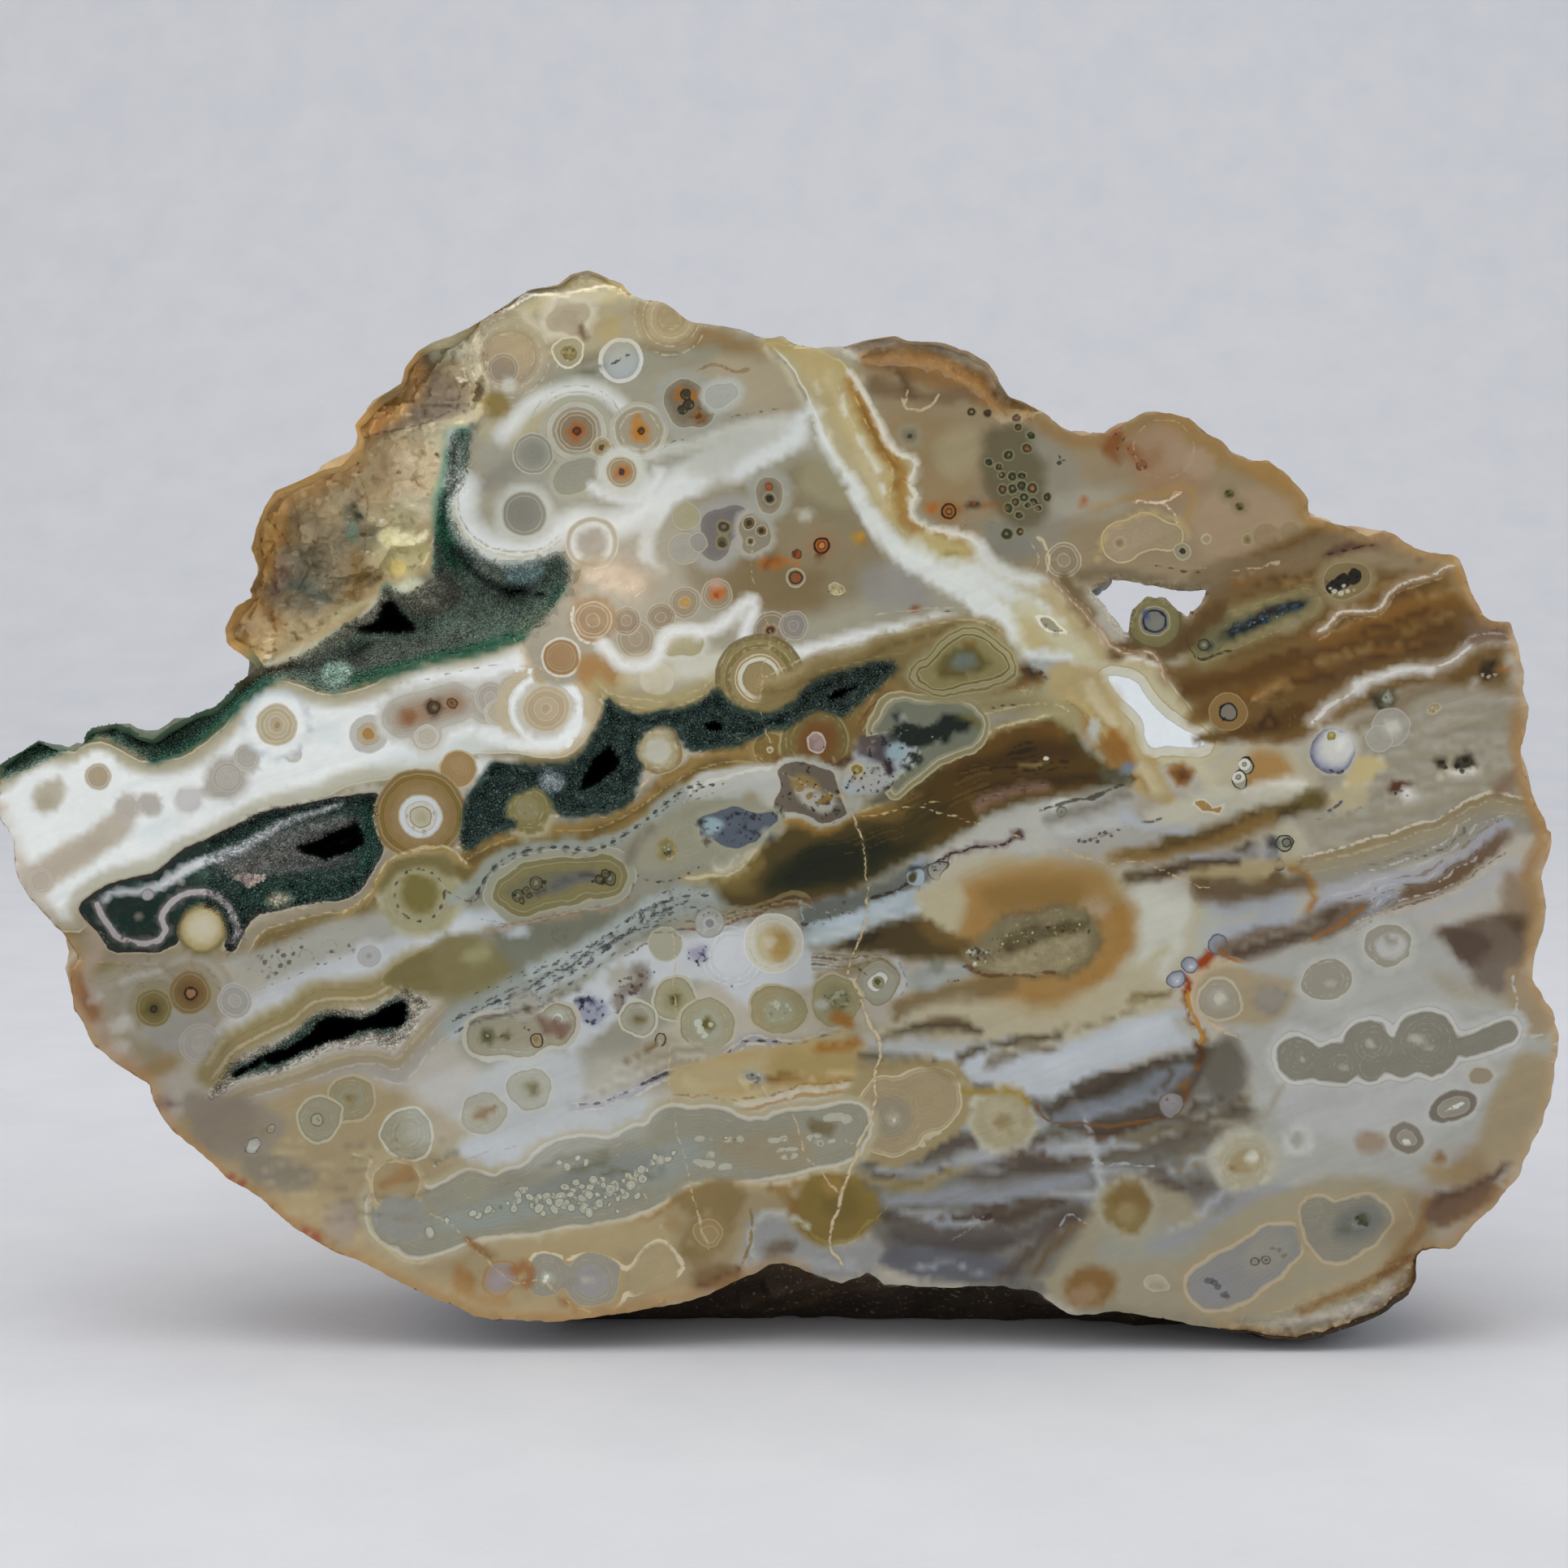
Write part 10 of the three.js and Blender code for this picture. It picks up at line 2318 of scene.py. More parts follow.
brush([(990, 1548), (1020, 1556), (1050, 1556)], 5, (160, 164, 164), 4, 0.8)
brush([(950, 1470), (976, 1480), (990, 1490)], 5, (124, 96, 50), 4, 0.85)
brush([(904, 1466), (950, 1474), (980, 1470)], 4, (168, 156, 122), 3.5, 0.8)
# orbs of the bottom
b1 = union(circ(674, 1573, 26), circ(729, 1576, 34), k=8)
fill(grow(b1, 7), (158, 142, 106), soft=2.0, wob=2)
line([(648, 1560), (656, 1550), (676, 1546), (694, 1552), (706, 1548), (728, 1544), (748, 1550), (766, 1564), (776, 1560), (784, 1546), (800, 1534), (820, 1532), (832, 1544), (842, 1560), (834, 1572), (816, 1576), (808, 1588), (788, 1592), (774, 1588), (768, 1600), (756, 1612)], (196, 186, 158), 3.0, 0.9, 2)
fill(b1, (140, 136, 122), soft=1.0, line=(156, 148, 126), w=1.4, wob=2, fine=(4.2, 0.03))
rings(674, 1573, (19, 13), (152, 146, 130), 1.2, 0.7)
rings(729, 1576, (26, 18), (152, 148, 138), 1.2, 0.6)
fill(circ(728, 1578, 20), (142, 138, 136), soft=4)
fill(circ(674, 1574, 6), (160, 164, 150), soft=1.6)
dots([(674, 1573), (672, 1578)], (206, 206, 190), 2.4, 0.9)
fill(oval(724, 1577, 6, 4, 0), (164, 164, 148), soft=1.6)
fill(union(circ(808, 1562, 28), circ(794, 1572, 22), k=6), (156, 142, 110), soft=1.6, wob=2)
rings(808, 1558, (17, 10), (164, 150, 118), 1.1, 0.5)
fill(circ(615, 1575, 23), (150, 122, 86), soft=1.4, wob=2)
fill(circ(615, 1575, 19.5), (142, 130, 122), soft=1.0, line=(156, 130, 102), w=1.3, wob=2)
fill(circ(613, 1578, 11), (146, 138, 136), soft=3)
brush([(577, 1524), (592, 1538), (606, 1548)], 5, (128, 94, 56), 3.5, 0.85)
brush([(632, 1562), (650, 1556), (658, 1570), (650, 1580)], 7, (140, 100, 60), 4, 0.85)
brush([(560, 1560), (566, 1585), (590, 1602), (620, 1606)], 7, (146, 114, 72), 5, 0.85)
fill(circ(572, 1580, 15), (144, 112, 70), soft=4)
brush([(700, 1598), (724, 1612), (752, 1616)], 5, (132, 92, 52), 4, 0.8)
fill(circ(874, 1521, 25), (136, 118, 82), soft=1.6, line=(152, 136, 104), w=1.4, wob=2)
fill(oval(874, 1521, 18, 17, 0), (146, 126, 88), soft=1.2, line=(164, 148, 112), w=1.6, wob=2)
fill(oval(876, 1522, 11, 10, 0), (148, 130, 96), soft=1.4, line=(164, 150, 116), w=1.2, wob=2)
fill(circ(832, 1510, 13), (150, 132, 94), soft=2.0, line=(158, 144, 108), w=1.1, wob=2)
# orbs of the lower left
for x, y, r, b_, e_ in ((504, 1397, 31, (142, 140, 120), (176, 174, 156)), (431, 1353, 27, (138, 130, 104), (164, 152, 124)), (393, 1380, 25, (140, 136, 114), (168, 162, 140))):
    eyeorb(x, y, r, b_, e_, (128, 122, 98), (138, 134, 112), None, n=2)
fill(circ(504, 1396, 14), (146, 144, 124), soft=2.5)
rings(504, 1397, (20, 15), (158, 156, 136), 1.1, 0.6)
fill(circ(392, 1380, 8), (150, 150, 132), soft=1.2, line=(110, 104, 80), w=1.5, wob=2)
fill(circ(391, 1380, 3), (100, 96, 70), soft=1.2)
fill(circ(431, 1352, 7), (120, 104, 62), soft=2.5)
fill(circ(336, 1392, 6), (150, 146, 128), soft=0.9, line=(104, 100, 82), w=1.4, wob=2)
fill(poly([(298, 1420), (306, 1406), (318, 1402), (324, 1412), (312, 1422)], 0), (150, 150, 142), soft=1.2, line=(104, 98, 84), w=1.4, wob=2)
fill(poly([(186, 1356), (200, 1350), (216, 1354), (220, 1364), (204, 1368), (190, 1366)], 1), (118, 106, 104), soft=2.5, wob=2)
fill(circ(488, 1461, 37), (160, 150, 120), soft=2.0, wob=2)
fill(circ(488, 1461, 31), (148, 134, 102), soft=1.4, line=(176, 162, 128), w=1.8, wob=2)
brush([(466, 1466), (486, 1452), (508, 1450)], 6, (142, 112, 76), 4, 0.85)
fill(circ(496, 1500, 31), (136, 136, 128), soft=2.5, line=(156, 150, 132), w=1.3, wob=2)
fill(circ(529, 1516, 6.5), (166, 168, 158), soft=1.2, line=(120, 120, 106), w=1.1, wob=2)
fill(circ(421, 1508, 26), (144, 134, 120), soft=2.0, line=(164, 150, 124), w=1.4, wob=2)
fill(circ(421, 1508, 13), (138, 132, 126), soft=3)
line([(436, 1420), (460, 1430), (450, 1448), (460, 1470), (456, 1500), (470, 1536), (500, 1548), (520, 1556), (530, 1546)], (178, 164, 132), 2.0, 0.8, 2)
brush([(540, 1440), (552, 1430), (566, 1424)], 3, (112, 108, 90), 2, 0.85)
speck([(528, 1440), (546, 1426), (556, 1430), (540, 1446)], 14, [(60, 56, 44), (190, 188, 172)], 0.8, 1.8, 22)
line([(552, 1434), (580, 1426), (612, 1418), (640, 1410)], (156, 142, 112), 1.3, 0.7, 2)
fill(circ(581, 1462, 20), (140, 138, 120), soft=2.5)
rings(583, 1464, (14,), (152, 148, 130), 1.2, 0.6)
for p_ in ([(258, 1440), (280, 1452), (300, 1462)], [(360, 1508), (382, 1518), (402, 1532)]):
    brush(p_, 5, (118, 74, 44), 3.5, 0.85)
BL = [(216, 1396), (250, 1430), (300, 1464), (352, 1502), (404, 1536), (452, 1562), (500, 1588), (560, 1614), (640, 1624), (720, 1622), (780, 1606), (850, 1590)]
brush(BL, 8, (158, 138, 104), 6, 0.9, 2)
brush([(x - 2, y + 7) for x, y in BL[3:]], 5, (168, 150, 112), 4, 0.85, 2)
for q in range(26):
    x0, y0 = 300 + (q * 71 % 220), 1400 + (q * 43 % 110)
    brush([(x0, y0), (x0 + 14, y0 - 5), (x0 + 34, y0 - 6)], 1.6, [(124, 106, 74), (176, 164, 134), (112, 104, 88)][q % 3], 1.6, 0.5)

# ------------------------------------------------------------------ broad depth of tone, field by field
wash([(966, 820), (1050, 796), (1140, 776), (1230, 790), (1290, 860), (1290, 950), (1120, 1010), (966, 1010)], (36, 30, 16), 20, 0.13)
wash([(805, 1000), (966, 960), (1127, 1010), (1127, 1288), (966, 1288), (950, 1130), (805, 1130)], (40, 36, 26), 22, 0.09)
wash([(1300, 980), (1440, 966), (1610, 960), (1610, 1110), (1440, 1110), (1300, 1070)], (52, 42, 26), 20, 0.11)
wash([(10, 1110), (160, 1140), (300, 1290), (330, 1440), (161, 1400), (60, 1288)], (56, 46, 32), 18, 0.12)
wash([(560, 1040), (800, 1000), (800, 1130), (600, 1180)], (44, 44, 34), 18, 0.09)
wash([(830, 1460), (1110, 1460), (1127, 1600), (830, 1600)], (46, 38, 24), 20, 0.08)
wash([(500, 1340), (560, 1304), (700, 1292), (800, 1310), (810, 1390), (700, 1436), (560, 1440), (500, 1410)], (200, 208, 214), 16, 0.26)
wash([(1740, 1450), (1830, 1400), (1860, 1480), (1780, 1560), (1730, 1600), (1700, 1540)], (96, 62, 30), 16, 0.22)
wash([(600, 400), (640, 370), (700, 345), (770, 350), (820, 380), (860, 400), (800, 430), (680, 440), (620, 460)], (204, 182, 126), 14, 0.2)
wash([(322, 1460), (420, 1480), (480, 1560), (640, 1600), (760, 1600), (640, 1640), (400, 1560)], (206, 182, 138), 14, 0.25)
# thin edges are golden where the light comes through them
RIMS = band(poly(OUTLINE, 0), -3, 9)
fill(both(RIMS, poly([(1560, 640), (1960, 640), (1960, 1700), (1500, 1700), (1500, 1560), (1740, 1560), (1850, 1200), (1840, 800)], 0)), (176, 140, 92), soft=6, a=0.5)
fill(both(RIMS, poly([(60, 1150), (200, 1150), (420, 1500), (640, 1580), (1000, 1540), (1000, 1700), (300, 1700), (40, 1400)], 0)), (170, 128, 80), soft=6, a=0.5)
for x_, y_ in ((284, 1450), (296, 1462), (378, 1518), (388, 1524), (392, 1532)):
    fill(oval(x_, y_, 7, 4, 40), (150, 76, 56), soft=2.5, a=0.75)
# painted highlight: a peach glare over scratches in the polish of the upper mass, where the lamp's glint falls
wash([(716, 700), (760, 695), (796, 708), (794, 736), (764, 745), (730, 733)], (208, 186, 158), 8, 0.6)
for q in range(9):
    x0 = 722 + (q * 37 % 62)
    y0 = 704 + (q * 17 % 30)
    line([(x0, y0 + 7), (x0 + 8, y0), (x0 + 15, y0 - 5)], [(232, 216, 200), (150, 122, 100), (222, 202, 184)][q % 3], 0.8, 0.5)
# ------------------------------------------------------------------ fine grain of the banding in the open fields
streak(poly([(1440, 700), (1700, 660), (1860, 780), (1880, 900), (1600, 920), (1460, 890), (1430, 800)], 1), (84, 62, 34), 0.22, 26)
streak(poly([(1620, 1060), (1880, 960), (1890, 1140), (1700, 1180), (1560, 1180)], 1), (110, 100, 92), 0.20, 26)
streak(poly([(1070, 1390), (1200, 1390), (1330, 1330), (1520, 1300), (1560, 1340), (1500, 1450), (1330, 1520), (1080, 1560)], 1), (92, 84, 78), 0.24, 26)
streak(poly([(870, 1110), (960, 1030), (1100, 990), (1290, 880), (1400, 960), (1200, 1010), (1060, 1090)], 1), (40, 34, 18), 0.12, 20)
streak(poly([(560, 1260), (700, 1180), (860, 1100), (840, 1130), (700, 1220), (590, 1290)], 1), (90, 96, 94), 0.16, 14)

# ------------------------------------------------------------------ healed cracks, drawn over everything
MAINC = [(887, 908), (910, 904), (925, 921), (943, 939), (963, 952), (992, 966), (1022, 976), (1042, 983), (1050, 995), (1057, 1010), (1061, 1036), (1064, 1060), (1065, 1077), (1069, 1092), (1066, 1115), (1061, 1142), (1051, 1168), (1047, 1189), (1047, 1200), (1057, 1215), (1061, 1227), (1063, 1240), (1074, 1260), (1084, 1280), (1084, 1300), (1080, 1326), (1076, 1365), (1064, 1408), (1049, 1439), (1034, 1467), (1032, 1491), (1023, 1508), (1020, 1530), (1030, 1543), (1038, 1556), (1040, 1568)]
line(MAINC[:9], (170, 154, 118), 0.8, 0.75, 2)
brush(MAINC[8:], 2.6, (112, 98, 74), 2.2, 0.3, 2)
line(MAINC[8:19], (182, 166, 130), 1.3, 0.9, 2)
line(MAINC[18:], (186, 172, 140), 1.9, 0.9, 2)
BRC = [(1056, 1004), (1074, 1001), (1092, 999), (1108, 994), (1122, 990), (1136, 993), (1160, 1004), (1204, 1014), (1230, 1020), (1260, 1032), (1300, 1046), (1340, 1058), (1370, 1062), (1405, 1062), (1423, 1071), (1452, 1083), (1475, 1091), (1493, 1091)]
line(BRC, (178, 160, 118), 1.1, 0.9, 2)
line([(1136, 992), (1148, 988), (1158, 989)], (172, 152, 110), 0.8, 0.8)
for pts_, w_ in (([(822, 1150), (829, 1179), (827, 1221), (836, 1264), (833, 1286), (820, 1298), (820, 1328), (824, 1361), (834, 1378), (839, 1408), (848, 1434), (854, 1469), (861, 1495), (867, 1517), (874, 1543)], 2.0),
                 ([(761, 1419), (774, 1439), (787, 1460), (796, 1473), (809, 1499), (826, 1530), (835, 1547), (841, 1560)], 1.5),
                 ([(938, 1339), (948, 1350), (965, 1356), (978, 1378), (987, 1391), (987, 1421), (1004, 1439), (1017, 1458), (1031, 1467)], 2.4),
                 ([(531, 1495), (557, 1504), (583, 1534), (605, 1560), (635, 1582), (648, 1582), (670, 1578), (700, 1604), (735, 1621)], 1.7),
                 ([(632, 785), (655, 812), (690, 838), (735, 860)], 1.6),
                 ([(931, 670), (925, 712), (948, 759), (950, 776), (936, 834), (936, 885), (958, 936)], 1.5)):
    line(pts_, (180, 164, 130), w_ * 0.55, 0.8, 2)
line([(1040, 1400), (1050, 1416), (1064, 1408), (1090, 1420)], (178, 166, 134), 0.9, 0.7, 2)
# =====================================================================================
#  From the survey to the part's own frame (millimetres, then metres)
# =====================================================================================
WIDTH, UNIT = 220.0, 220.0 / 1921.0
MID_X, GROUND_Y, LEAN = 960.5, 1668.0, math.radians(5.0)
DEPTH, FLARE, FLARE_X, FLARE_Y = 56.0, 420.0, 966.0, 966.0
SHIFT = np.array([0.39048, -32.71134, 0.0])


def from_face(u, v, w):
    return np.column_stack([u, v * math.sin(LEAN) + w * math.cos(LEAN), v * math.cos(LEAN) - w * math.sin(LEAN)]) + SHIFT


def place(x, y, w):
    k = 1 + w / FLARE
    return from_face((FLARE_X - MID_X + (x - FLARE_X) * k) * UNIT, (GROUND_Y - FLARE_Y - (y - FLARE_Y) * k) * UNIT, w)


def resample(pts, step):
    p = np.asarray(pts, float)
    q = np.vstack([p, p[:1]])
    s = np.concatenate([[0], np.cumsum(np.hypot(*np.diff(q, axis=0).T))])
    n = int(round(s[-1] / step))
    t = np.arange(n) * s[-1] / n
    return np.column_stack([np.interp(t, s, q[:, 0]), np.interp(t, s, q[:, 1])])


def jag(p, amp, size, seed):
    """Pushes a closed outline in and out along its normal."""
    d = np.roll(p, -1, 0) - np.roll(p, 1, 0)
    nrm = np.column_stack([d[:, 1], -d[:, 0]]) / np.hypot(*d.T)[:, None]
    a = 0.62 * noise2(p[:, 0] / size, p[:, 1] / size, seed) + 0.38 * noise2(p[:, 0] / size * 2.3, p[:, 1] / size * 2.3, seed + 1)
    return p + nrm * (a * amp)[:, None]


def triangulate(points, loops):
    """Delaunay triangles over points; the first ones are the loops, whose edges are kept."""
    edges, k = [], 0
    for n in loops:
        edges += [(k + i, k + (i + 1) % n) for i in range(n)]
        k += n
    out = mathutils.geometry.delaunay_2d_cdt([mathutils.Vector(p) for p in points.tolist()], edges, [], 0, 1e-5, True)
    co = np.array([(v[0], v[1]) for v in out[0]])
    tri = np.array(out[2], int)
    src = np.array([o[0] if o else -1 for o in out[3]])
    return co, tri, src


# ---- the front sheet ------------------------------------------------------------------
edge_loop = jag(resample(OUTLINE, 4.7), 2.0, 13, 101)
hole_loop = jag(resample(THROUGH, 3.6), 1.6, 9, 103)
NE, NH = len(edge_loop), len(hole_loop)


rings = []
for name, offs, step in (
    ("hole_a", (0, 3), 3.8), ("hole_b", (0, 3), 3.8), ("hole_c", (0,), 3.2), ("hole_d", (0,), 3.2), ("slot", (0, 3), 3.8),
    ("cave", (0, 3), 4.0), ("lens_a", (0, 3), 3.8), ("lens_b", (0, 3), 3.8), ("slot_rim", (0, 3), 4.0), ("recess", (0,), 4.2),
):
    rings.append(resample(dict(hole_a=HOLE_A, hole_b=HOLE_B, hole_c=HOLE_C, hole_d=HOLE_D, slot=SLOT, cave=CAVE, lens_a=LENS_A, lens_b=LENS_B, slot_rim=SLOT_RIM, recess=RECESS)[name], step))

COARSE, FINE = 8.6, 4.05


def hexgrid(h, seed):
    nx, ny = int(1960 / h), int(1340 / (h * 0.866))
    i, j = np.meshgrid(np.arange(nx), np.arange(ny))
    x = -10 + (i + 0.5 * (j % 2)) * h
    y = 325 + j * h * 0.866
    p = np.column_stack([x.ravel(), y.ravel()])
    r = np.arange(len(p))
    return p + np.column_stack([hash3(r, 1, 1, seed), hash3(r, 2, 1, seed)]) * h * 0.16


edge_shape, hole_shape = poly(edge_loop, 0), poly(hole_loop, 0)
coarse, fine = hexgrid(COARSE, 5), hexgrid(FINE, 6)


def inside_front(p, m):
    i = edge_shape.f(p)
    j = -hole_shape.f(p)
    return (i > m) & (j > m)


coarse, fine = coarse[inside_front(coarse, 4.0)], fine[inside_front(fine, 2.6)]
cell = 6.0
gx, gy = np.meshgrid(np.arange(0, 1932, cell) + 3, np.arange(324, 1668, cell) + 3)
G0 = np.column_stack([gx.ravel(), gy.ravel()])
near = feature_distance(G0)
_, g_rough, g_druse, g_tan, _ = relief(G0)
need = (near < FINE_REACH) | (g_rough > 0.15) | (g_druse > 0.15)
need = need.reshape(gx.shape)
wide = need.copy()
for a in (-1, 0, 1):
    for b in (-1, 0, 1):
        wide |= np.roll(np.roll(need, a, 0), b, 1)


def lookup(mask, p):
    i = np.clip(((p[:, 1] - 324) / cell).astype(int), 0, mask.shape[0] - 1)
    j = np.clip((p[:, 0] / cell).astype(int), 0, mask.shape[1] - 1)
    return mask[i, j]


fine = fine[lookup(need, fine)]
coarse = coarse[~lookup(need, coarse)]
pts = np.vstack([edge_loop, hole_loop, np.vstack(rings), fine, coarse])
# drop grid points that crowd a ring or a loop
keep = np.ones(len(pts), bool)
bucket = {}
for k, (x, y) in enumerate(pts.tolist()):
    key = (int(x // 4), int(y // 4))
    clash = False
    if k >= NE + NH:
        lim = 2.1 if k < NE + NH + sum(map(len, rings)) else 2.5
        for a in (-1, 0, 1):
            for b in (-1, 0, 1):
                for (px, py) in bucket.get((key[0] + a, key[1] + b), ()):
                    if (px - x) ** 2 + (py - y) ** 2 < lim * lim:
                        clash = True
        if clash:
            keep[k] = False
            continue
    bucket.setdefault(key, []).append((x, y))
pts = pts[keep]
co, tri, src = triangulate(pts, [NE, NH])
mid = co[tri].mean(1)
ok = (edge_shape.f(mid) > 0) & (hole_shape.f(mid) < 0)
tri = tri[ok]
back_of = np.full(len(pts), -1)
for new, old in enumerate(src):
    if old >= 0 and back_of[old] < 0:
        back_of[old] = new
loop_f, hole_f = back_of[:NE], back_of[NE:NE + NH]
# anticlockwise on the drawing with y down faces the viewer once y is turned up
ar = (co[tri[:, 1], 0] - co[tri[:, 0], 0]) * (co[tri[:, 2], 1] - co[tri[:, 0], 1]) - (co[tri[:, 2], 0] - co[tri[:, 0], 0]) * (co[tri[:, 1], 1] - co[tri[:, 0], 1])
tri[ar > 0] = tri[ar > 0][:, ::-1]
front_xy, front_tri = co, tri
W, M_ROUGH, M_DRUSE, M_TAN, M_DEEP = relief(front_xy)
front_co = place(front_xy[:, 0], front_xy[:, 1], W)
print("front", len(front_xy), "points", len(front_tri), "triangles")

# ---- the back sheet: a disc whose rim is the outline -----------------------------------
MIDDLE = np.array([985.0, 1010.0])
PROFILE = np.array([[0, 1], [0.07, 1.012], [0.2, 1.02], [0.36, 1.0], [0.52, 0.955], [0.68, 0.875], [0.82, 0.76], [0.92, 0.62], [0.975, 0.46], [1, 0.28], [1.0, 0.0]])
face30 = resample([(x, y) for x, y in OUTLINE], 30)
soft30 = face30.copy()
for _ in range(14):
    soft30 = (np.roll(soft30, 1, 0) + 2 * soft30 + np.roll(soft30, -1, 0)) / 4
# dense, seamless versions of both outlines, in step along the outline
s30 = np.arange(len(face30) + 1) / len(face30)
sE = np.arange(NE) / NE


def around(loop, s):
    """A point of a closed loop at share s of its length."""
    n = len(loop)
    q = np.vstack([loop, loop[:1]])
    t = (np.asarray(s) % 1.0) * n
    i = np.floor(t).astype(int)
    f = (t - i)[:, None]
    return q[i] * (1 - f) + q[i + 1] * f


seg = np.hypot(*(np.diff(PROFILE, axis=0) * [DEPTH / UNIT, 640]).T)
T_KNOT = np.concatenate([[0], np.cumsum(seg)])
T_END = T_KNOT[-1]


def at_profile(t):
    """share of the depth and the outline's size at a distance t along the meridian (softened knots)."""
    sh = sum(np.interp(np.clip(t + o, 0, T_END), T_KNOT, PROFILE[:, 0]) for o in (-45, -15, 15, 45)) / 4
    gr = sum(np.interp(np.clip(t + o, 0, T_END), T_KNOT, PROFILE[:, 1]) for o in (-45, -15, 15, 45)) / 4
    e = smooth(0, 60, t)
    f = smooth(T_END - 60, T_END, t)
    sh = mix(np.interp(t, T_KNOT, PROFILE[:, 0]), sh, e * (1 - f)) + 0
    gr = mix(np.interp(t, T_KNOT, PROFILE[:, 1]), gr, e * (1 - f))
    return sh, gr


def tuck(u, v, w):
    """Draws in whatever of the back would look past the face's outline from the front, the foot excepted."""
    k = 1 + w / FLARE
    x = FLARE_X + (u / UNIT - FLARE_X + MID_X) / k
    y = FLARE_Y + (GROUND_Y - FLARE_Y - v / UNIT) / k
    for _ in range(4):
        q = np.column_stack([x, y])
        d = _EDGE.f(q)
        gx_ = _EDGE.f(q + [1.5, 0]) - _EDGE.f(q - [1.5, 0])
        gy_ = _EDGE.f(q + [0, 1.5]) - _EDGE.f(q - [0, 1.5])
        gl_ = np.maximum(np.hypot(gx_, gy_), 1e-6)
        free = smooth(560, 620, x) * (1 - smooth(1500, 1620, x)) * smooth(1460, 1520, y)
        need = np.clip(2.2 * smooth(0, 3, w) - d, 0, 12) * (1 - free)
        x, y = x + gx_ / gl_ * need, y + gy_ / gl_ * need
    return (FLARE_X - MID_X + (x - FLARE_X) * k) * UNIT, (GROUND_Y - FLARE_Y - (y - FLARE_Y) * k) * UNIT


def back_map(s, t):
    """Face coordinates (u, v, w) in mm for a place on the back sheet."""
    share, g = at_profile(t)
    fx = around(edge_loop, s)
    sx_ = around(soft30, s)
    blend = smooth(0, 0.4, share)[:, None]
    p = fx * (1 - blend) + sx_ * blend
    sxy = MIDDLE + (p - MIDDLE) * g[:, None]
    thick = DEPTH * mix(0.72, 1.0, smooth(80, 900, sxy[:, 0])) * (1 + 0.06 * noise3(sxy[:, 0] / 260, sxy[:, 1] / 260, 1.0))
    on = smooth(0, 40, t)
    lump = on * (2.0 * noise3(sxy[:, 0] / 170, sxy[:, 1] / 170, share * 4 + 9) + 0.9 * noise3(sxy[:, 0] / 70, sxy[:, 1] / 70, share * 9 + 4))
    w = share * thick + smooth(0.8, 0.95, share) * lump
    u, v = (sxy[:, 0] - MID_X) * UNIT, (GROUND_Y - sxy[:, 1]) * UNIT
    r = np.maximum(np.hypot(*(sxy - MIDDLE).T), 30)
    u = u + (sxy[:, 0] - MIDDLE[0]) / r * lump * 0.7
    v = v - (sxy[:, 1] - MIDDLE[1]) / r * lump * 0.7
    foot = smooth(590, 690, fx[:, 0]) * (1 - smooth(1440, 1560, fx[:, 0])) * smooth(1480, 1540, fx[:, 1])
    reach = smooth(8, 22, w) * (1 - smooth(36, 47, w))
    low = (-1.5 + w * math.sin(LEAN)) / math.cos(LEAN)
    v = mix(v, low, foot * reach)
    return u, v, w, foot * reach


# conformal disc: radius falls off with the way along the meridian
tt = np.linspace(0, T_END, 400)
_, gg = at_profile(tt)
mean_r = 880 * np.maximum(gg, 0.004) + 4
rho = np.exp(-np.concatenate([[0], np.cumsum(np.diff(tt) / (0.5 * (mean_r[1:] + mean_r[:-1])))]))
rho_of = lambda t: np.interp(t, tt, rho)
t_of = lambda r: np.interp(-r, -rho, tt)

disc = [np.column_stack([np.cos(2 * np.pi * sE), np.sin(2 * np.pi * sE)])]
t, row = 0.0, 0
while True:
    h = 5.2 + (BACK_STEP - 5.2) * float(smooth(0, 95, t))
    t += h * 0.9
    if t > T_END - 30:
        break
    g = float(np.interp(t, tt, gg))
    n = max(6, int(6050 * max(g, 0.02) / h))
    a = 2 * np.pi * (np.arange(n) + 0.5 * (row % 2)) / n
    a += hash3(np.arange(n), row, 5, 9) * 0.18 * 2 * np.pi / n
    r = rho_of(t + hash3(np.arange(n), row, 6, 9) * h * 0.16)
    disc.append(np.column_stack([r * np.cos(a), r * np.sin(a)]))
    row += 1
disc = np.vstack(disc)

# where the hole comes out at the back: the walls flare, so it is larger there
gs, gt = np.meshgrid(np.linspace(0, 1, 1400, endpoint=False), np.linspace(T_KNOT[4], T_END - 5, 260))
gs, gt = gs.ravel(), gt.ravel()
gu, gv, gw, _ = back_map(gs, gt)
soft_hole = resample(THROUGH, 3.6)


def outward(loop):
    """Unit normals of a closed loop, pointing away from what it encloses."""
    d = np.roll(loop, -2, 0) - np.roll(loop, 2, 0)
    n = np.column_stack([d[:, 1], -d[:, 0]])
    n /= np.maximum(np.hypot(*n.T), 1e-6)[:, None]
    if poly(loop, 0).f(loop + 2.0 * n).mean() > 0:
        n = -n
    for _ in range(2):
        n = (np.roll(n, 1, 0) + n + np.roll(n, -1, 0)) / 3
    return n / np.maximum(np.hypot(*n.T), 1e-6)[:, None]


W_OUT = 44.0
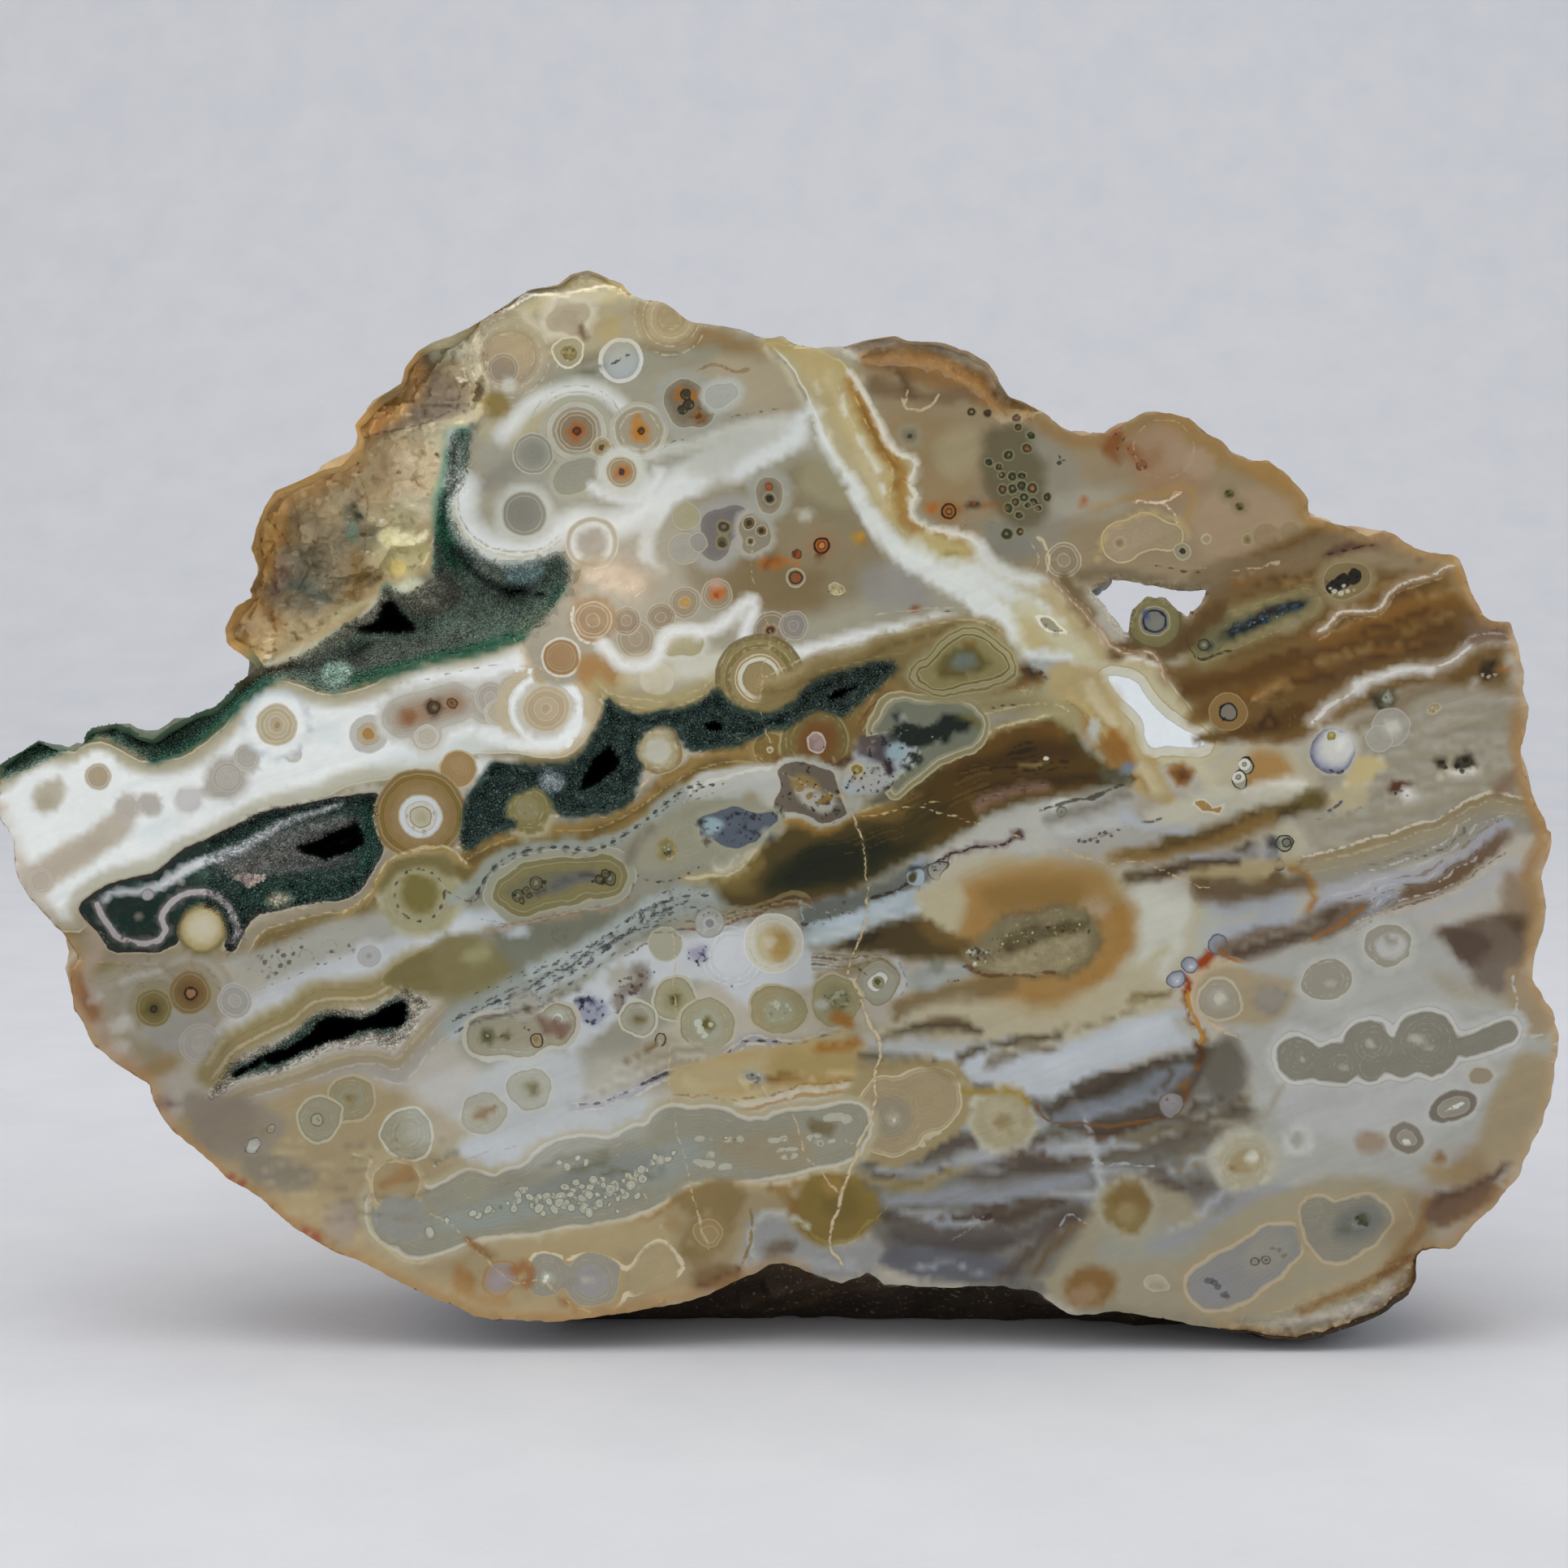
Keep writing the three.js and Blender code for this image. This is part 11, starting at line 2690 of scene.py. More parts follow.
# the walls draw back behind the rim, but for a dark shelf in the upper left corner
shelf = np.exp(-(((soft_hole[:, 0] - 1352) / 17) ** 2 + ((soft_hole[:, 1] - 720) / 12) ** 2) ** 1.5)
exit_xy = soft_hole + outward(soft_hole) * (11 - 21 * shelf)[:, None]
for _ in range(2):
    exit_xy = (np.roll(exit_xy, 1, 0) + exit_xy + np.roll(exit_xy, -1, 0)) / 3
k = 1 + W_OUT / FLARE
eu = (FLARE_X - MID_X + (exit_xy[:, 0] - FLARE_X) * k) * UNIT
ev = (GROUND_Y - FLARE_Y - (exit_xy[:, 1] - FLARE_Y) * k) * UNIT
sel = (np.abs(gu - eu.mean()) < 30) & (np.abs(gv - ev.mean()) < 30) & (gw > 20)
gs, gt, gu, gv = gs[sel], gt[sel], gu[sel], gv[sel]
ex = []
for a, b in zip(eu, ev):
    d = (gu - a) ** 2 + (gv - b) ** 2
    j = np.argsort(d)[:4]
    wt = 1 / (d[j] + 1e-3)
    ang = np.angle((np.exp(2j * np.pi * gs[j]) * wt).sum())
    r = (rho_of(gt[j]) * wt).sum() / wt.sum()
    ex.append((r * math.cos(ang), r * math.sin(ang)))
exit_disc = np.array(ex)
for _ in range(2):
    exit_disc = (np.roll(exit_disc, 1, 0) + 2 * exit_disc + np.roll(exit_disc, -1, 0)) / 4
exit_shape = poly(exit_disc, 0)
r_loc = float(np.hypot(*exit_disc.mean(0)))
m_loc = 7.0 / 880 * r_loc / max(float(np.interp(t_of(r_loc), tt, gg)), 0.1)
body_pts = disc[NE:]
body_pts = body_pts[exit_shape.f(body_pts) < -m_loc]
allp = np.vstack([disc[:NE], exit_disc, body_pts])
dco, dtri, dsrc = triangulate(allp, [NE, NH])
dmid = dco[dtri].mean(1)
inside_rim = poly(disc[:NE], 0).f(dmid) > -1e-9
dtri = dtri[inside_rim & (exit_shape.f(dmid) < 0)]
dback = np.full(len(allp), -1)
for new, old in enumerate(dsrc):
    if old >= 0 and dback[old] < 0:
        dback[old] = new
loop_b, hole_b = dback[:NE], dback[NE:NE + NH]
s_b = (np.arctan2(dco[:, 1], dco[:, 0]) / (2 * np.pi)) % 1.0
t_b = t_of(np.hypot(dco[:, 0], dco[:, 1]))
s_b[loop_b] = sE
t_b[loop_b] = 0.0
U, V, WB, FOOT = back_map(s_b, t_b)
U, V = tuck(U, V, WB)
back_co = from_face(U, V, WB)
ar = (dco[dtri[:, 1], 0] - dco[dtri[:, 0], 0]) * (dco[dtri[:, 2], 1] - dco[dtri[:, 0], 1]) - (dco[dtri[:, 2], 0] - dco[dtri[:, 0], 0]) * (dco[dtri[:, 1], 1] - dco[dtri[:, 0], 1])
dtri[ar < 0] = dtri[ar < 0][:, ::-1]
print("back", len(dco), "points", len(dtri), "triangles")

# ---- join: front, back, and the walls of the hole ------------------------------------------
NF = len(front_co)
new_id = np.full(len(dco), -1)
new_id[loop_b] = loop_f
rest = np.flatnonzero(new_id < 0)
new_id[rest] = NF + np.arange(len(rest))
verts = np.vstack([front_co, back_co[rest]])
kind = np.concatenate([np.zeros(NF), np.ones(len(rest))])  # 0 front, 1 back
t_all = np.concatenate([np.zeros(NF), t_b[rest]])
foot_all = np.concatenate([np.zeros(NF), FOOT[rest]])
bt = new_id[dtri]


def rim_edges(tris):
    e = np.vstack([tris[:, [0, 1]], tris[:, [1, 2]], tris[:, [2, 0]]])
    return e


def edge_sense(tris, a, b):
    e = rim_edges(tris)
    return bool(((e[:, 0] == a) & (e[:, 1] == b)).any())


# both sheets must run along the shared outline in opposite senses
if edge_sense(front_tri, loop_f[0], loop_f[1]) == edge_sense(bt, loop_f[0], loop_f[1]):
    bt = bt[:, ::-1]
hb = new_id[hole_b]
# line up the two ends of the hole
pa, pb = verts[hole_f], verts[hb]
ca, cb = pa.mean(0), pb.mean(0)
best, shift_by, flip = 1e9, 0, False
for fl in (False, True):
    q = pb[::-1] if fl else pb
    for sft in range(NH):
        c = (((pa - ca) - (np.roll(q, -sft, 0) - cb)) ** 2).sum()
        if c < best:
            best, shift_by, flip = c, sft, fl
hb = np.roll(hb[::-1] if flip else hb, -shift_by)
steps = [0.06, 0.15, 0.28, 0.42, 0.56, 0.7, 0.84, 0.93]
away = outward(hole_loop)
away = np.column_stack([away[:, 0], np.zeros(NH), -away[:, 1]])
wall_rows = [hole_f]
new_v = []
base_n = len(verts)
for q, f in enumerate(steps):
    pos = verts[hole_f] * (1 - f) + verts[hb] * f
    swell = 1.1 * math.sin(math.pi * min(1, f * 1.25)) + 0.7 * noise3(pos[:, 0] / 4, pos[:, 1] / 4, pos[:, 2] / 4, 111) + 0.35 * noise3(pos[:, 0] / 1.4, pos[:, 1] / 1.4, pos[:, 2] / 1.4, 112)
    swell = np.maximum(swell, -0.1 if f < 0.3 else -0.8)
    pos = pos + away * swell[:, None]
    new_v.append(pos)
    wall_rows.append(base_n + q * NH + np.arange(NH))
wall_rows.append(hb)
verts = np.vstack([verts] + new_v)
kind = np.concatenate([kind, np.full(NH * len(steps), 2.0)])
t_all = np.concatenate([t_all, np.full(NH * len(steps), 500.0)])
foot_all = np.concatenate([foot_all, np.zeros(NH * len(steps))])
wt = []
for r0, r1 in zip(wall_rows[:-1], wall_rows[1:]):
    a, b, c, d = r0, np.roll(r0, -1), r1, np.roll(r1, -1)
    wt += [np.column_stack([a, b, d]), np.column_stack([a, d, c])]
wt = np.vstack(wt)
if edge_sense(front_tri, hole_f[0], hole_f[1]) == edge_sense(wt, hole_f[0], hole_f[1]):
    wt = wt[:, ::-1]
NFT, NBT = len(front_tri), len(bt)
tris = np.vstack([front_tri, bt, wt])

# ---- relief of the crust: knobs, shells, pits -------------------------------------------------
def normals(v, f):
    n = np.cross(v[f[:, 1]] - v[f[:, 0]], v[f[:, 2]] - v[f[:, 0]])
    out = np.zeros_like(v)
    for q in range(3):
        np.add.at(out, f[:, q], n)
    return out / np.maximum(np.linalg.norm(out, axis=1), 1e-12)[:, None]


vol = np.einsum("ij,ij->i", verts[tris[:, 0]], np.cross(verts[tris[:, 1]], verts[tris[:, 2]])).sum() / 6
if vol < 0:
    tris = tris[:, ::-1]
    vol = -vol
nb = normals(verts, tris)
crust = np.flatnonzero(kind == 1)
c = verts[crust]
near_rim = smooth(0, 26, t_all[crust])
far_rim = smooth(30, 150, t_all[crust])
x, y, z = c.T
# grape-like knobs of chalcedony, in patches
f1, f2, ids, off = cells3(x / 11.5, y / 11.5, z / 11.5, 121)
rad = 0.52 + 0.16 * hash3(ids[0], ids[1], ids[2], 5)
knob = np.sqrt(np.maximum(0, 1 - (f1 / rad) ** 2))
f1b, f2b, idb, _ = cells3(x / 5.2, y / 5.2, z / 5.2, 127)
knob2 = np.sqrt(np.maximum(0, 1 - (f1b / 0.6) ** 2))
patch = smooth(-0.15, 0.35, noise3(x / 30, y / 30, z / 30, 131) + 0.25)
# broken planes elsewhere
g1, g2, gid, goff = cells3(x / 13, y / 13, z / 13, 141)
plane = sum(hash3(gid[0], gid[1], gid[2], 150 + q) * goff[q] for q in range(3)) * 1.7 + 0.6 * hash3(gid[0], gid[1], gid[2], 160)
h1, h2, hid, hoff = cells3(x / 5.6, y / 5.6, z / 5.6, 171)
plane2 = sum(hash3(hid[0], hid[1], hid[2], 180 + q) * hoff[q] for q in range(3)) * 1.5
d = patch * (2.0 * knob + 0.7 * knob2) + (1 - patch) * (1.5 * plane + 0.7 * plane2)
d = d * mix(0.35, 1.0, far_rim) + 0.35 * noise3(x / 2.1, y / 2.1, z / 2.1, 191) + 0.7 * noise3(x / 6.5, y / 6.5, z / 6.5, 192)
d = d - 0.8
d *= near_rim * (1 - 0.75 * foot_all[crust])
verts[crust] = c + nb[crust] * d[:, None]
KNOB = np.zeros(len(verts))
KNOB[crust] = patch * knob
verts[:, 2] = np.maximum(verts[:, 2], 0.0)

# every edge is shared by exactly two triangles, in opposite senses
e = rim_edges(tris)
codes = e[:, 0].astype(np.int64) * len(verts) + e[:, 1]
rev = e[:, 1].astype(np.int64) * len(verts) + e[:, 0]
assert len(np.unique(codes)) == len(codes), "an edge is used twice in one sense"
assert np.array_equal(np.sort(codes), np.sort(rev)), "the stone's mesh has an open edge"
print("stone", len(verts), "points", len(tris), "triangles, volume", round(vol / 1000, 1), "cm3")
# =====================================================================================
#  Colours on the mesh
# =====================================================================================
def to_linear(c):
    c = np.clip(np.asarray(c, float), 0, 1)
    return np.where(c <= 0.04045, c / 12.92, ((c + 0.055) / 1.055) ** 2.4)


C5, V2, FINE_G = paint(front_xy, front_tri)
print("layers", len(LAYERS), "streaks", len(STREAKS))
NT = len(tris)
nv = len(verts)

# crust: colour of the back, the sides, the underside and the walls of the hole
bx_, by_, bz_ = verts.T
lay = bz_ - 0.40 * bx_ + 0.25 * by_ + 5.0 * noise3(bx_ / 34, by_ / 34, bz_ / 34, 201)  # the layering goes right through
cr = np.tile(col("crust"), (nv, 1))


def blend_in(c, m):
    global cr
    cr = cr + (col(c) - cr) * np.clip(m, 0, 1)[:, None]


n_a = fbm3(bx_ / 26, by_ / 26, bz_ / 26, 4, 211)
n_b = fbm3(bx_ / 11, by_ / 11, bz_ / 11, 4, 221)
n_c = fbm3(bx_ / 4, by_ / 4, bz_ / 4, 3, 231)
l_n = noise2(lay / 5.5, 0 * lay, 241)
l_m = noise2(lay / 2.1, 0 * lay + 7, 242)
blend_in("crust_dark", smooth(0.0, 0.5, n_a + 0.4 * l_n))
blend_in("crust_pale", smooth(0.1, 0.55, -n_a + 0.5 * l_m) * 0.85)
blend_in("crust_olive", smooth(0.15, 0.5, l_n + 0.3 * n_b) * 0.7)
blend_in("crust_white", smooth(0.28, 0.55, l_m + 0.5 * n_b) * 0.75)
blend_in("crust_ochre", smooth(0.12, 0.5, n_b) * 0.75)
blend_in("crust_rust", smooth(0.34, 0.6, n_b + 0.35 * n_c) * 0.8)
blend_in("crust_grey", smooth(0.30, 0.62, -n_b + 0.3 * l_n) * 0.7)
blend_in("crust_pale", np.clip(KNOB, 0, 1) ** 2 * 0.55)
blend_in("crust_dark", smooth(0.25, 0.75, n_c) * 0.35)
# green druse stays near the top left, on the rims that carry it in front
gcen = place(np.array([300.0]), np.array([880.0]), np.array([16.0]))[0]
gd = np.sqrt(((verts - gcen) / [42, 26, 14]) ** 2 @ np.ones(3))
blend_in("grey_green", smooth(1.15, 0.75, gd + 0.35 * n_b) * 0.7)
# the crest of the broken tip is pale and thin, and is painted paler still as light shining through it
tcen = place(np.array([706.0]), np.array([352.0]), np.array([8.0]))[0]
td = np.sqrt(((verts - tcen) / [13, 20, 6]) ** 2 @ np.ones(3))
blend_in("crest", smooth(1.2, 0.6, td + 0.3 * n_b) * 0.85)
# painted shade on the underside: the crust is darkened towards the table, where shadow falls
underside_shade = smooth(17, 5, bz_) * smooth(16, -6, by_)
# walls of the hole: grey and white druse over tan
wallm = kind == 2
cr[wallm] = mix(col("grey_druse"), col("cream"), np.clip(0.5 + 0.6 * n_c[wallm], 0, 1)[:, None]) * 0.8
crust_mask = np.where(kind == 0, 0.0, 1.0)
if True:
    # carry the face's own colours a little way round the arris
    edge_col = C5[0][..., :3]
    vc = np.zeros((nv, 3))
    cnt = np.zeros(nv)
    for q in range(3):
        np.add.at(vc, front_tri[:, q], edge_col[:, q])
        np.add.at(cnt, front_tri[:, q], 1)
    vc = vc / np.maximum(cnt, 1)[:, None]
    on_rim = vc[loop_f]
    for _ in range(3):
        on_rim = (np.roll(on_rim, 1, 0) + on_rim + np.roll(on_rim, -1, 0)) / 3
    tb = t_b[rest]
    sidx = np.round(s_b[rest] * NE).astype(int) % NE
    wgt = smooth(140, 10, tb + 30 * n_b[NF:NF + len(rest)]) * 0.9
    tone = on_rim[sidx] * [1.0, 0.96, 0.89]
    ids_ = NF + np.arange(len(rest))
    cr[ids_] = cr[ids_] + (tone - cr[ids_]) * wgt[:, None]
    cr[loop_f] = on_rim * [0.98, 0.95, 0.9]
    # painted shade: the underside is pulled towards a near-black brown
    cr = cr + (np.array(col((40, 33, 26))) - cr) * (underside_shade * 0.92)[:, None]
edge_fade = cr

corner = np.zeros((5, NT, 3, 3), np.float32)
corner[:, :NFT] = C5
corner[:, NFT:] = edge_fade[tris[NFT:]]
vec = np.zeros((2, NT, 3, 3), np.float32)
vec[..., 0] = -50.0
vec[:, :NFT] = V2
finea = np.zeros((NT, 3, 3), np.float32)
finea[:NFT] = FINE_G

STREAK_C, STREAK_A = streaks(front_xy)
sc = np.tile(col("crust_dark"), (nv, 1))
sa = np.full(nv, 0.35)
sc[:NF], sa[:NF] = STREAK_C, STREAK_A

m_rough = np.ones(nv)
m_rough[:NF] = M_ROUGH
m_druse = np.zeros(nv)
m_druse[:NF] = M_DRUSE
m_druse[wallm] = 0.8
m_crust = crust_mask.copy()
m_tan = np.zeros(nv)
m_tan[:NF] = M_TAN
m_deep = np.zeros(nv)
m_deep[:NF] = M_DEEP

if (tris[:, 0] == tris[:, 1]).any():
    raise RuntimeError("a triangle has two corners on one point")
# corner data follows the triangles' own corner order, so flipped triangles are put in step
order_front = tris[:NFT]
if not np.array_equal(order_front, front_tri):
    corner[:, :NFT] = corner[:, :NFT][:, :, ::-1]
    vec[:, :NFT] = vec[:, :NFT][:, :, ::-1]
    finea[:NFT] = finea[:NFT][:, ::-1]


def make_mesh(name, v_mm, f):
    me = bpy.data.meshes.new(name)
    me.vertices.add(len(v_mm))
    me.vertices.foreach_set("co", (np.asarray(v_mm) * 0.001).astype(np.float32).ravel())
    me.loops.add(len(f) * 3)
    me.loops.foreach_set("vertex_index", f.astype(np.int32).ravel())
    me.polygons.add(len(f))
    me.polygons.foreach_set("loop_start", (np.arange(len(f)) * 3).astype(np.int32))
    me.update(calc_edges=True)
    me.validate(verbose=False)
    ob = bpy.data.objects.new(name, me)
    bpy.context.scene.collection.objects.link(ob)
    return ob


def attr(me, name, kind_, domain, data):
    a = me.attributes.new(name, kind_, domain)
    if kind_ == "FLOAT_COLOR":
        d = np.concatenate([data.reshape(-1, 3), np.ones((data.size // 3, 1))], 1)
        a.data.foreach_set("color", d.astype(np.float32).ravel())
    elif kind_ == "FLOAT_VECTOR":
        a.data.foreach_set("vector", data.astype(np.float32).ravel())
    else:
        a.data.foreach_set("value", data.astype(np.float32).ravel())


def deepen(c, v):
    """The polish lays a faint grey veil of room light over the face, so the pigment under it is deeper."""
    return c * c / (c + v)


VEIL = (0.033 * (1 - 0.6 * m_druse) * (1 - 0.5 * m_crust) * (1 - 0.3 * m_tan))[tris][..., None]
stone = make_mesh("ocean_jasper_stone", verts, tris)
me = stone.data
assert len(me.polygons) == NT, "the mesh lost faces"
for q, nm in enumerate(("c_under", "c_line_1", "c_fill_1", "c_line_2", "c_fill_2")):
    attr(me, nm, "FLOAT_COLOR", "CORNER", deepen(to_linear(corner[q]), VEIL))
attr(me, "edge_1", "FLOAT_VECTOR", "CORNER", vec[0])
attr(me, "edge_2", "FLOAT_VECTOR", "CORNER", vec[1])
attr(me, "bands", "FLOAT_VECTOR", "CORNER", finea)
attr(me, "c_streak", "FLOAT_COLOR", "POINT", deepen(to_linear(sc), 0.03))
attr(me, "mask_a", "FLOAT_VECTOR", "POINT", np.column_stack([m_rough, m_druse, m_crust]))
attr(me, "mask_b", "FLOAT_VECTOR", "POINT", np.column_stack([m_tan, m_deep, sa]))
me.polygons.foreach_set("use_smooth", np.ones(NT, bool))
me.set_sharp_from_angle(angle=math.radians(38))

# =====================================================================================
#  Materials
# =====================================================================================
class Graph:
    def __init__(self, name):
        self.mat = bpy.data.materials.new(name)
        self.mat.use_nodes = True
        self.t = self.mat.node_tree
        self.t.nodes.clear()

    def node(self, kind_, **props):
        n = self.t.nodes.new(kind_)
        for k_, v_ in props.items():
            setattr(n, k_, v_)
        return n

    def put(self, socket, value):
        if isinstance(value, bpy.types.NodeSocket):
            self.t.links.new(value, socket)
        elif value is not None:
            socket.default_value = value

    def attr(self, name, out="Color"):
        n = self.node("ShaderNodeAttribute", attribute_name=name)
        return n.outputs[out]

    def math(self, op, a, b=None, c=None, clamp=False):
        n = self.node("ShaderNodeMath", operation=op, use_clamp=clamp)
        for s_, v_ in zip(n.inputs, (a, b, c)):
            self.put(s_, v_)
        return n.outputs[0]

    def vmath(self, op, a, b=None, scale=None):
        n = self.node("ShaderNodeVectorMath", operation=op)
        self.put(n.inputs[0], a)
        if b is not None:
            self.put(n.inputs[1], b)
        if scale is not None:
            self.put(n.inputs["Scale"], scale)
        return n.outputs[0]

    def split(self, v):
        n = self.node("ShaderNodeSeparateXYZ")
        self.put(n.inputs[0], v)
        return n.outputs

    def remap(self, v, a, b, c=0.0, d=1.0, kind_="SMOOTHSTEP"):
        n = self.node("ShaderNodeMapRange", interpolation_type=kind_, clamp=True) if kind_ == "LINEAR" else self.node("ShaderNodeMapRange", interpolation_type=kind_)
        for s_, v_ in zip(n.inputs, (v, a, b, c, d)):
            self.put(s_, v_)
        return n.outputs[0]

    def mixc(self, f, a, b, mode="MIX"):
        n = self.node("ShaderNodeMix", data_type="RGBA", blend_type=mode, clamp_factor=True)
        self.put(n.inputs[0], f)
        self.put(n.inputs[6], a)
        self.put(n.inputs[7], b)
        return n.outputs[2]

    def mixf(self, f, a, b):
        n = self.node("ShaderNodeMix", data_type="FLOAT", clamp_factor=True)
        self.put(n.inputs[0], f)
        self.put(n.inputs[2], a)
        self.put(n.inputs[3], b)
        return n.outputs[0]

    def noise(self, vec_, scale, detail=2.0, rough=0.5, dist=0.0, out="Fac"):
        n = self.node("ShaderNodeTexNoise", noise_dimensions="3D")
        self.put(n.inputs["Vector"], vec_)
        n.inputs["Scale"].default_value = scale
        n.inputs["Detail"].default_value = detail
        n.inputs["Roughness"].default_value = rough
        n.inputs["Distortion"].default_value = dist
        return n.outputs["Fac"] if out == "Fac" else n.outputs["Color"]

    def voronoi(self, vec_, scale, feature="F1", out="Distance"):
        n = self.node("ShaderNodeTexVoronoi", feature=feature)
        self.put(n.inputs["Vector"], vec_)
        n.inputs["Scale"].default_value = scale
        return n.outputs[out]

    def mapping(self, vec_, rot=(0, 0, 0), scale=(1, 1, 1)):
        n = self.node("ShaderNodeMapping")
        self.put(n.inputs["Vector"], vec_)
        n.inputs["Rotation"].default_value = rot
        n.inputs["Scale"].default_value = scale
        return n.outputs[0]

    def rgb(self, c):
        return (*to_linear(col(c)), 1.0)


def stone_material():
    g = Graph("jasper_polished_and_crust")
    pos = g.node("ShaderNodeTexCoord").outputs["Object"]
    ma = g.split(g.attr("mask_a", "Vector"))
    mb = g.split(g.attr("mask_b", "Vector"))
    rough_m, druse_m, crust_m = ma[0], ma[1], ma[2]
    tan_m, deep_m, streak_m = mb[0], mb[1], mb[2]
    # fine wander of every drawn edge
    wob = g.math("MULTIPLY", g.math("SUBTRACT", g.noise(pos, 950, 2.0, 0.6), 0.5), 2.6)

    def edge(name):
        s_ = g.split(g.attr(name, "Vector"))
        dd = g.math("ADD", s_[0], wob)
        m_ = g.math("MULTIPLY", g.remap(dd, -0.75, 0.75), s_[2])
        l_ = g.remap(g.math("SUBTRACT", dd, s_[1]), -0.6, 0.6)
        return m_, l_

    m1, l1 = edge("edge_1")
    m2, l2 = edge("edge_2")
    c = g.attr("c_under")
    c = g.mixc(m1, c, g.mixc(l1, g.attr("c_line_1"), g.attr("c_fill_1")))
    c = g.mixc(m2, c, g.mixc(l2, g.attr("c_line_2"), g.attr("c_fill_2")))
    # agate banding
    bnd = g.split(g.attr("bands", "Vector"))
    ph = g.math("ADD", bnd[0], g.math("MULTIPLY", wob, 0.10))
    sn = g.math("SINE", g.math("MULTIPLY", ph, 6.28318))
    sn2 = g.math("SINE", g.math("MULTIPLY", ph, 17.1))
    wave = g.math("MULTIPLY", g.math("ADD", sn, g.math("MULTIPLY", sn2, 0.5)), bnd[1])
    # streaks along the layering
    along = g.mapping(g.mapping(pos, (0, math.radians(20), 0)), (0, 0, 0), (34, 90, 330))
    st = g.noise(along, 1.0, 5.0, 0.62, 0.5)
    along2 = g.mapping(g.mapping(pos, (0, math.radians(22), 0)), (0, 0, 0), (150, 400, 1500))
    st2 = g.noise(along2, 1.0, 3.0, 0.6, 0.8)
    s1 = g.remap(st, 0.47, 0.66)
    s2 = g.remap(st2, 0.52, 0.72)
    smix = g.math("MULTIPLY", streak_m, g.math("ADD", g.math("MULTIPLY", s1, 0.75), g.math("MULTIPLY", s2, 0.35)), clamp=True)
    c = g.mixc(smix, c, g.attr("c_streak"))
    # cloudiness of the chalcedony
    cl = g.noise(pos, 150, 5.0, 0.55)
    cl2 = g.noise(pos, 620, 4.0, 0.6)
    cloud = g.math("ADD", g.math("MULTIPLY", g.math("SUBTRACT", cl, 0.5), 0.20), g.math("MULTIPLY", g.math("SUBTRACT", cl2, 0.5), 0.13))
    gain = g.math("ADD", 1.0, g.math("ADD", cloud, wave))
    c = g.vmath("SCALE", c, scale=gain)
    # rough breaks and crust: stronger mottling and grains
    gr = g.noise(pos, 900, 6.0, 0.7)
    gr2 = g.noise(pos, 330, 5.0, 0.65, 0.4)
    grain = g.math("ADD", g.math("MULTIPLY", g.math("SUBTRACT", gr, 0.5), 0.9), g.math("MULTIPLY", g.math("SUBTRACT", gr2, 0.5), 0.9))
    # painted light: colours of the breaks, the golden chunk and the crust are scaled up to make up for their shaded
    # facets and for light glowing through them
    painted_light_gain = g.mixf(crust_m, g.mixf(tan_m, 1.42, 1.75), 1.28)
    rc = g.vmath("SCALE", c, scale=g.math("ADD", painted_light_gain, grain))
    flecks = g.remap(g.noise(pos, 1400, 3.0, 0.6), 0.60, 0.70)
    rc = g.mixc(g.math("MULTIPLY", flecks, 0.35), rc, g.rgb("fleck"))
    c = g.mixc(g.math("MULTIPLY", rough_m, 0.85), c, rc)
    # druse: every grain has its own tone
    vc_ = g.node("ShaderNodeTexVoronoi", feature="F1")
    g.put(vc_.inputs["Vector"], pos)
    vc_.inputs["Scale"].default_value = 2300
    tone = g.split(vc_.outputs["Color"])[0]
    spark = g.remap(tone, 0.86, 0.99)
    dc = g.vmath("SCALE", c, scale=g.math("ADD", 0.70, g.math("MULTIPLY", tone, 0.6)))
    # painted glints: the brightest druse grains are mixed towards the pale sparkle colour
    dc = g.mixc(g.math("MULTIPLY", spark, 0.25), dc, g.rgb("sparkle"))
    dmask = g.math("MULTIPLY", druse_m, g.math("SUBTRACT", 1.0, g.math("MULTIPLY", deep_m, 0.9)))
    c = g.mixc(dmask, c, dc)
    # painted shade: deep holes are darkened almost to black
    c = g.mixc(g.math("MULTIPLY", deep_m, 0.93), c, (0.0035, 0.0045, 0.004, 1.0))
    # gloss
    wear = g.noise(pos, 700, 3.0, 0.6)
    r_pol = g.math("ADD", 0.13, g.math("MULTIPLY", wear, 0.10))
    r_rgh = g.math("ADD", 0.30, g.math("MULTIPLY", gr, 0.30))
    r_cru = g.math("ADD", 0.48, g.math("MULTIPLY", gr2, 0.30))
    r_ = g.mixf(rough_m, r_pol, r_rgh)
    r_ = g.mixf(crust_m, r_, r_cru)
    r_ = g.mixf(dmask, r_, g.math("ADD", 0.16, g.math("MULTIPLY", tone, 0.25)))
